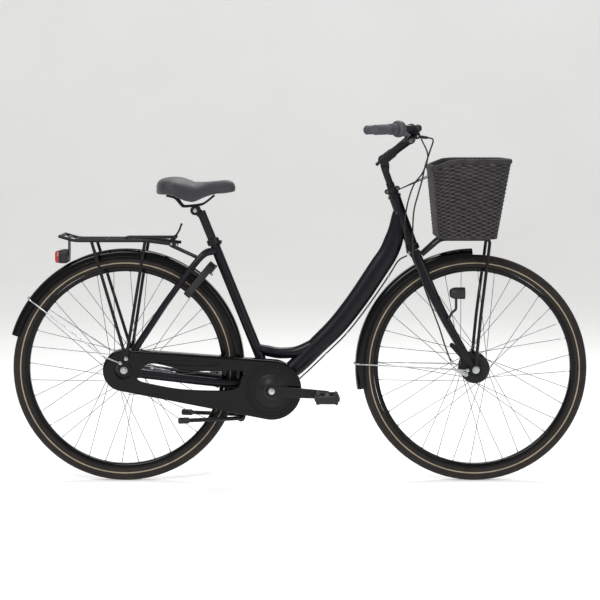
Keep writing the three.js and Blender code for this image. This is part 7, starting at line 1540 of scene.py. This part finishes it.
def crankTip(side):
    return around(bracket, CRANK["length"], CRANK["turn"] + (0 if side < 0 else 180))


def makeCrankArm(side, name):
    tip = crankTip(side)
    near, far = side * CRANK["faceY"], side * (CRANK["faceY"] + CRANK["thick"])
    arm = plate(beltLoop(bracket, CRANK["rootDepth"] / 2, tip, CRANK["tipDepth"] / 2, 40), near, far, 3.6)
    heading = unit(tip - bracket)
    groove = beltLoop(along(bracket, heading, 34), 6.4, along(tip, heading, -28), 4.6, 20)
    surfaces = [arm, plate(groove, far - side * 0.6, far + side * 0.2, 0.3)]
    if side < 0:
        surfaces.append(revolve(bracket, CRANK["dish"], 96))
        surfaces.append(crossBar(bracket, -84, -49.6, 12.8, 32, 0.4))
    else:
        surfaces.append(spindle(bracket + at(0, 71, 0), LATERAL, CRANK["boss"], 40))
    piece("crank" + name, surfaces, "crank", powderCoat, ["crank_" + name.lower()])
    axle = [crossBar(tip, near + side, side * PEDAL["axleEnd"], 4.8, 24, 0.8)]
    axle.append(crossBar(tip, far, far + side * 3.4, 7.4, 24, 0.7))
    piece("pedalAxle" + name, axle, "crank", zinc)


def makeCrankAxle():
    end = CRANK["faceY"] + CRANK["thick"]
    surfaces = [crossBar(bracket, -end - 0.2, end + 0.2, 8.2, 28, 0.4)]
    for side in SIDES:
        surfaces.append(crossBar(bracket, side * end, side * (end + 1.4), 9.6, 36, 0.5))
        surfaces.append(crossBar(bracket, side * (end + 1), side * (end + 4), 7.8, 6, 1.2))
    piece("crankAxle", surfaces, "crank", zinc, ["crank_axle"])
    piece("crankRing", revolve(bracket, CRANK["ring"], 72), "crank", blackPlastic)


def makePedal(side, name):
    middle = PEDAL["innerY"] + PEDAL["width"] / 2
    tip = crankTip(side)
    centre = tip + at(0, side * middle, 0)
    body = [crossBar(tip, side * middle - 35, side * middle + 35, PEDAL["barrel"], 28, 1)]
    treads = []
    for way in SIDES:
        bar = centre + at(way * PEDAL["barX"], 0, 0)
        body.append(softBlock(centre + at(0, way * (PEDAL["width"] / 2 - 5), 0), *PEDAL["side"]))
        body.append(softBlock(bar, *PEDAL["bar"], axis="y"))
        for lift in SIDES:
            for k in range(-4, 5):
                spot = bar + at(0, k * PEDAL["studPitch"], lift * PEDAL["studZ"])
                treads.append(softBlock(spot, *PEDAL["stud"]))
            treads.append(softBlock(bar + at(0, 0, lift * PEDAL["stripZ"]), *PEDAL["strip"], axis="y"))
        treads.append(softBlock(centre + at(way * PEDAL["reflectorX"], 0, 0), *PEDAL["reflector"], axis="y"))
    node = "pedal_" + name.lower()
    piece("pedal" + name, body, node, blackPlastic, [node])
    piece("pedalTread" + name, treads, node, pedalRubber)


for side, name in HANDS:
    makeCrankArm(side, name)
makeCrankAxle()
for side, name in HANDS:
    makePedal(side, name)
print("cranks ready")

# Seat post and saddle
SADDLE = {
    "rearX": -442, "noseX": -195, "topZ": 942, "depth": 80, "half": 105,
    "runShares": [0, 0.03, 0.09, 0.17, 0.26, 0.37, 0.47, 0.57, 0.67, 0.78, 0.88, 0.95, 0.985, 1],
    "topShares": [0.25, 0.1, 0.03, 0, 0.01, 0.09, 0.19, 0.21, 0.19, 0.16, 0.14, 0.18, 0.28, 0.45],
    "bottomShares": [0.67, 0.69, 0.69, 0.69, 0.78, 0.93, 0.98, 0.86, 0.74, 0.67, 0.66, 0.66, 0.64, 0.6],
    "widthShares": [0.42, 0.68, 0.9, 0.99, 1, 0.86, 0.66, 0.49, 0.39, 0.33, 0.3, 0.26, 0.19, 0.1],
    "sideShares": [0, 0.45, 0.8, 0.98, 1, 0.9, 0.72, 0],
    "heightShares": [1, 0.97, 0.86, 0.62, 0.34, 0.08, 0, 0.06], "pressure": 4.0, "remesh": 5.0, "cap": 3.0,
    "frames": 20, "inset": 1.4,
}
RAIL = {
    "runShares": [0.72, 0.6, 0.52, 0.35, 0.31, 0.235, 0.13],
    "dropShares": [0.731, 1.02, 1.1, 1.15, 1.08, 0.815, 0.718],
    "spreadShares": [0.5, 0.85, 1, 1, 1.1, 1.5, 1.8], "half": 22, "radius": 3.5,
    "clamp": [[0, 13.8], [0, 14.4], [0.8, 15], [3, 15], [3.6, 14.2], [4.2, 15], [11, 15], [12, 14.2],
              [12, 5]],
}
POST = {"cradle": (-322, 0, 838), "radius": 13.5, "below": -60, "bendZ": 88.7}


def spline(values, count, spots):
    # smooth shares along their list, through every one of them
    path = smoothPath(np.column_stack([spots, values, np.zeros(len(values))]), 400)
    return np.interp(np.linspace(spots[0], spots[-1], count), path[:, 0], path[:, 1])


def saddleShell(inset, count=90, across=40):
    v = SADDLE
    sizes = (v[name] for name in ("topShares", "bottomShares", "widthShares"))
    top, low, wide = (spline(shares, count, v["runShares"])[:, None] for shares in sizes)
    spots = np.linspace(0, 1, len(v["sideShares"]))
    side, lift = (np.clip(spline(v[name], across, spots), 0, 1) for name in ("sideShares", "heightShares"))
    x = v["rearX"] + inset + (v["noseX"] - v["rearX"] - 2 * inset) * np.linspace(0, 1, count)[:, None]
    topZ, lowZ = v["topZ"] - v["depth"] * top - inset, v["topZ"] - v["depth"] * low + inset
    y = (v["half"] * wide - inset) * side
    z = lowZ + (topZ - lowZ) * lift
    right = np.stack([np.broadcast_to(x, y.shape), y, z], -1)
    left = right[:, 1:-1][:, ::-1] * [1, -1, 1]
    return grid(np.concatenate([right, left], 1)[:, ::-1] * MM)


def pressCover(obj):
    # cloth with a little pressure fills the cover; its points may move no further than the cap
    v = SADDLE
    remesh = obj.modifiers.new("remesh", "REMESH")
    remesh.mode, remesh.voxel_size = "VOXEL", v["remesh"] * MM
    obj.data = evaluatedMesh(obj)
    obj.modifiers.clear()
    rest = vectorsOf(obj.data)
    low = rest[:, 2] < np.percentile(rest[:, 2], 30)
    held = obj.vertex_groups.new(name="held")
    held.add([int(k) for k in np.nonzero(low)[0]], 1.0, "REPLACE")
    cloth = obj.modifiers.new("cloth", "CLOTH")
    cloth.settings.use_pressure, cloth.settings.uniform_pressure_force = True, v["pressure"]
    cloth.settings.effector_weights.gravity = 0
    cloth.settings.vertex_group_mass = "held"
    cloth.settings.quality = 5
    cloth.point_cache.frame_end = v["frames"]
    for step in range(1, v["frames"] + 1):
        scene.frame_set(step)
    evaluated = obj.evaluated_get(bpy.context.evaluated_depsgraph_get())
    shift = vectorsOf(evaluated.data) - rest
    size = np.linalg.norm(shift, axis=1)[:, None]
    shift *= np.minimum(1, v["cap"] * MM / np.maximum(size, 1e-9))
    obj.modifiers.clear()
    obj.data.vertices.foreach_set("co", (rest + shift).ravel())
    scene.frame_set(1)


def saddleSeams(mesh):
    # sewn channel between the top panel and the skirt, and a shallow relief groove along the middle:
    # depth = size * exp(-(distance / width)^2), pushed inwards along the vertex normal
    v = SADDLE
    spots, normal = vectorsOf(mesh), vectorsOf(mesh, "normal")
    x, y, z = spots.T / MM
    run = np.clip((x - v["rearX"]) / (v["noseX"] - v["rearX"]), 0, 1)
    sizes = (v[name] for name in ("topShares", "bottomShares"))
    top, low = (v["topZ"] - v["depth"] * np.interp(run, v["runShares"], shares) for shares in sizes)
    height = (z - low) / (top - low)
    seam = 1.3 * np.exp(-((height - 0.5) * (top - low) / 2.2) ** 2)
    relief = 2.2 * np.exp(-(y / 9) ** 2) * (height > 0.7) * np.exp(-((run - 0.45) / 0.3) ** 4)
    spots -= normal * ((seam + relief) * MM)[:, None]
    mesh.vertices.foreach_set("co", spots.ravel())


def makeSaddle():
    shell = saddleShell(SADDLE["inset"])
    cover = piece("saddleCover", shell, "saddle", saddleCover, ["saddle"], sharp=180, ride=False)
    pressCover(cover)
    soften = cover.modifiers.new("soften", "SMOOTH")
    soften.factor, soften.iterations = 0.5, 3
    grow = cover.modifiers.new("grow", "SUBSURF")
    grow.levels = grow.render_levels = 1
    finished = evaluatedMesh(cover)
    cover.modifiers.clear()
    cover.data = finished
    finished.materials.clear()
    finished.materials.append(saddleCover[0])
    saddleSeams(finished)
    finished.polygons.foreach_set("use_smooth", np.ones(len(finished.polygons), bool))
    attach(cover, "saddle")


def makeSeatPost():
    cradle, radius = at(*POST["cradle"]), POST["radius"]
    bottom = along(seatTop, seatAxis, POST["below"])
    top = along(seatTop, seatAxis, POST["bendZ"] / seatAxis[2])
    length = np.linalg.norm(top - bottom) / MM
    post = spindle(bottom, seatAxis, [[0, radius - 0.5], [1, radius], [length, radius]], 40)
    neck = rod(along(top, seatAxis, -radius), cradle, radius, 10.8, 36, 1.5)
    drum = revolve(cradle, bothSides([[4.4, 14], [11, 14], [12, 13]]), 48)
    piece("seatPost", [post, neck, drum], "seat_post", powderCoat, ["seat_post"])


def makeSaddleRails():
    v, cradle = SADDLE, at(*POST["cradle"])
    rails, bolt = [], [crossBar(cradle, -26, 26, 3.9, 20, 0.4)]
    for side in SIDES:
        rows = zip(RAIL["runShares"], RAIL["dropShares"], RAIL["spreadShares"])
        spots = [at(v["rearX"] + (v["noseX"] - v["rearX"]) * run, side * RAIL["half"] * spread,
                    v["topZ"] - v["depth"] * drop) for run, drop, spread in rows]
        rails.append(tube(smoothPath(spots, 70), RAIL["radius"], sides=18))
        rails.append(spindle(cradle + at(0, side * 14.4, 0), LATERAL * side, RAIL["clamp"], 24))
        bolt.append(crossBar(cradle, side * 25.4, side * 29.4, 6.8, 6, 1))
    piece("saddleRails", rails, "saddle", powderCoat, ["saddle_rails"], sharp=32)
    piece("saddleBolt", bolt, "saddle", zinc)


makeSeatPost()
makeSaddleRails()
makeSaddle()
print("saddle ready")


# Stand and rack clip
def makeStand():
    pivot = at(*STAND["pivot"])
    legs, feet = [crossBar(pivot, -STAND["rootY"], STAND["rootY"], STAND["pinRadius"], 24)], []
    rows = [[0, 6.4], [0.6, 8.4], [3, 9.4], [8, 9.5], [9, 8.9], [10, 9.5], [16, 9.5], [17, 8.9], [18, 9.5],
            [30, 9.4], [33, 8.4], [STAND["footLength"], 6]]
    for side in SIDES:
        root = pivot + at(0, side * STAND["rootY"], 0)
        knee = pivot + at(STAND["kneeRun"], side * STAND["kneeY"], 0)
        foot = pivot + at(STAND["legRun"], side * STAND["footY"], 0)
        legs.append(tube(straightPath([root, knee, foot], 40, 14), STAND["legRadius"], sides=22))
        legs.append(ball(root, STAND["rootRadius"], 22))
        heading = unit(foot - knee)
        feet.append(spindle(along(foot, heading, -STAND["footLength"]), heading, rows, 32))
    piece("standLegs", legs, "kickstand", powderCoat, ["kickstand_legs"])
    piece("standFeet", feet, "kickstand", blackPlastic)


def makeClip():
    half, rodHalf, wire, rear = CLIP["half"], CLIP["rodHalf"], CLIP["wire"], -CLIP["reach"]
    corners = [clipPivot + at(x, y, 0) for x, y in ((0, -half), (rear, -half), (rear, half), (0, half))]
    handle = [clipPivot, clipPivot + at(13.3, 0, 20), clipPivot + at(20, 0, 40)]
    turn = np.linspace(0, 1, 160)
    angle = turn * TURN * CLIP["coilTurns"]
    coil = np.column_stack([4.4 * np.cos(angle), 6 + 16 * turn, 4.4 * np.sin(angle)]) * MM + clipPivot
    surfaces = [tube(straightPath(corners, 50, 12), wire, sides=16)]
    surfaces.append(rod(clipPivot - at(0, rodHalf, 0), clipPivot + at(0, rodHalf, 0), wire))
    surfaces.append(tube(straightPath(handle, 20, 10), wire, sides=16))
    surfaces.append(tube(coil, 0.9, sides=8))
    piece("rackClip", surfaces, "rack_clip", powderCoat, ["rack_clip"])
    piece("rackClipTip", ball(clipPivot + at(20, 0, 39), 4, 20), "rack_clip", blackPlastic)


makeStand()
makeClip()
print("stand and clip ready")

# Cables
CABLE = {"radius": 2.4, "splitZ": 880, "clips": (2, 3, 4, 5, 6)}
BRAKE_ROUTE = [
    (388, -168, 1064), (404, -150, 1056), (396, -118, 1020), (384, -92, 975), (377, -72, 935),
    (366, -54, 890), (354, -44, 840), (350, -42, 780), (350, -51, 728), (352, -64, 690), (372, -66, 638),
    (400, -66, 560), (430, -66, 480), (446, -62, 430), (470, -52, 366),
]
SHIFT_UPPER = [
    (368, -150, 1061), (390, -124, 1010), (378, -89, 958.5), (352, -58, 918), (334, -44, 860),
    (326, -40, 800), (328, -38, 750), (334, -34, 706),
]
SHIFT_LOWER = [
    (333, -32, 699), (307, -14, 681), (278, 0, 633), (214, 0, 540), (148, 0, 455.5), (82, 0, 390.5),
    (16, 0, 327.5), (-42, 10, 276), (-84, 24, 264.6), (-130, 28, 270), (-180, 38, 286), (-258, 47, 294),
    (-400, 50, 302), (-470, 48, 313), (-505, 45, 322), (-522, 40, 332),
]


def routeCurve(route, count):
    return smoothPath(np.array(route, float) * MM, count)


def cablePiece(name, curve, body, replaces=(), ride=False):
    return piece(name, tube(curve, CABLE["radius"], sides=14), body, cableSheath, replaces, ride=ride)


def makeCables():
    # three lengths of cable along their routes; only the lower one is attached to the frame
    brake, upper = routeCurve(BRAKE_ROUTE, 220), routeCurve(SHIFT_UPPER, 160)
    cable = cablePiece("brakeCable", brake, "fork", ["brake_cable"])
    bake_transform(cable)
    split = int(np.argmin(np.abs(upper[:, 2] - CABLE["splitZ"] * MM)))
    first = cablePiece("shiftCableUpper", upper[:split + 1], "fork", ["shift_cable_upper"])
    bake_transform(first)
    second = cablePiece("shiftCableMiddle", upper[split:], "fork")
    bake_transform(second)
    cablePiece("shiftCableLower", routeCurve(SHIFT_LOWER, 300), "frame", ["shift_cable_lower"], ride=True)
    clips = []
    for k in CABLE["clips"]:
        spot, ahead = at(*SHIFT_LOWER[k]), unit(at(*SHIFT_LOWER[k]) - at(*SHIFT_LOWER[k - 1]))
        clips.append(spindle(along(spot, ahead, -4), ahead, bothEnds(8, [[0, 2.6], [0.4, 3.3]]), 16))
    piece("cableClips", clips, "frame", zinc)
    heading = unit(brake[-1] - brake[-2])
    rows = [[0, 2.6], [0.5, 3.4], [10, 3.4], [11, 2.6], [12, 1.2]]
    piece("brakeFerrule", spindle(along(brake[-1], heading, -12), heading, rows, 20), "fork", zinc)


makeCables()
print("cables ready")

# Floor, backdrop, camera and lights, in metres
STAGE = {"floor": "e6e6e5", "wall": "eaeaea", "wallY": 9.0, "reach": 12.0, "bend": 3.0, "top": 6,
         "glow": 0.38}
CAMERA = {"spot": (0.0026, -5.0, 1.084), "sensor": 36, "focal": 96.5, "shiftY": -0.2817}
LIGHTS = {
    "key": {"spot": (-1.6, -2.8, 3.4), "aim": (0, 0, 0.5), "size": 2.4, "power": 120},
    "fill": {"spot": (2.6, -2.6, 1.8), "aim": (0, 0, 0.5), "size": 2.6, "power": 30},
    "rim": {"spot": (0.4, 1.4, 3.2), "aim": (0, 0, 0.4), "size": 2.0, "power": 70},
}
SKY = {"colour": "f2f2f0", "strength": 0.42}


def makeStage():
    # the floor runs back and bends up into the wall in a quarter circle
    bend, wallY, reach = STAGE["bend"], STAGE["wallY"], STAGE["reach"]
    turn = np.radians(np.linspace(0, 90, 16))
    y = np.concatenate([[-reach], wallY - bend + bend * np.sin(turn), [wallY]])
    z = np.concatenate([[0], bend - bend * np.cos(turn), [STAGE["top"]]])
    x = np.linspace(-reach, reach, 30)
    points = np.stack(np.broadcast_arrays(x[None, :], y[:, None], z[:, None]), -1)
    sweep = grid(points[:, ::-1], closeAcross=False, caps=False)
    material = plaster("pale plaster", (STAGE["floor"], STAGE["wall"]), STAGE["glow"])
    meshObject("backdrop", sweep, material)


def aimed(obj, spot, aim):
    place = np.array(spot, float)
    heading = unit(np.array(aim, float) - place)
    side = unit(np.cross(heading, [0, 0, 1.0]))
    rows = np.column_stack([side, np.cross(side, heading), -heading, place])
    obj.matrix_world = Matrix(np.vstack([rows, [0, 0, 0, 1]]).tolist())


def makeCamera():
    data = bpy.data.cameras.new("camera")
    data.sensor_width, data.lens, data.shift_y = CAMERA["sensor"], CAMERA["focal"], CAMERA["shiftY"]
    data.dof.use_dof = False
    scene.camera = linked(bpy.data.objects.new("camera", data))
    x, y, z = CAMERA["spot"]
    aimed(scene.camera, (x, y, z), (x, 0, z))


def makeLights():
    for name, values in LIGHTS.items():
        data = bpy.data.lights.new(name, "AREA")
        data.shape, data.size, data.energy = "DISK", values["size"], values["power"]
        aimed(linked(bpy.data.objects.new(name, data)), values["spot"], values["aim"])
    world = bpy.data.worlds.new("world")
    world.use_nodes = True
    background = world.node_tree.nodes["Background"].inputs
    background["Color"].default_value = linear(SKY["colour"])
    background["Strength"].default_value = SKY["strength"]
    scene.world = world
    scene.view_settings.view_transform = "Standard"


makeStage()
makeCamera()
makeLights()
print("stage, camera and lights ready")
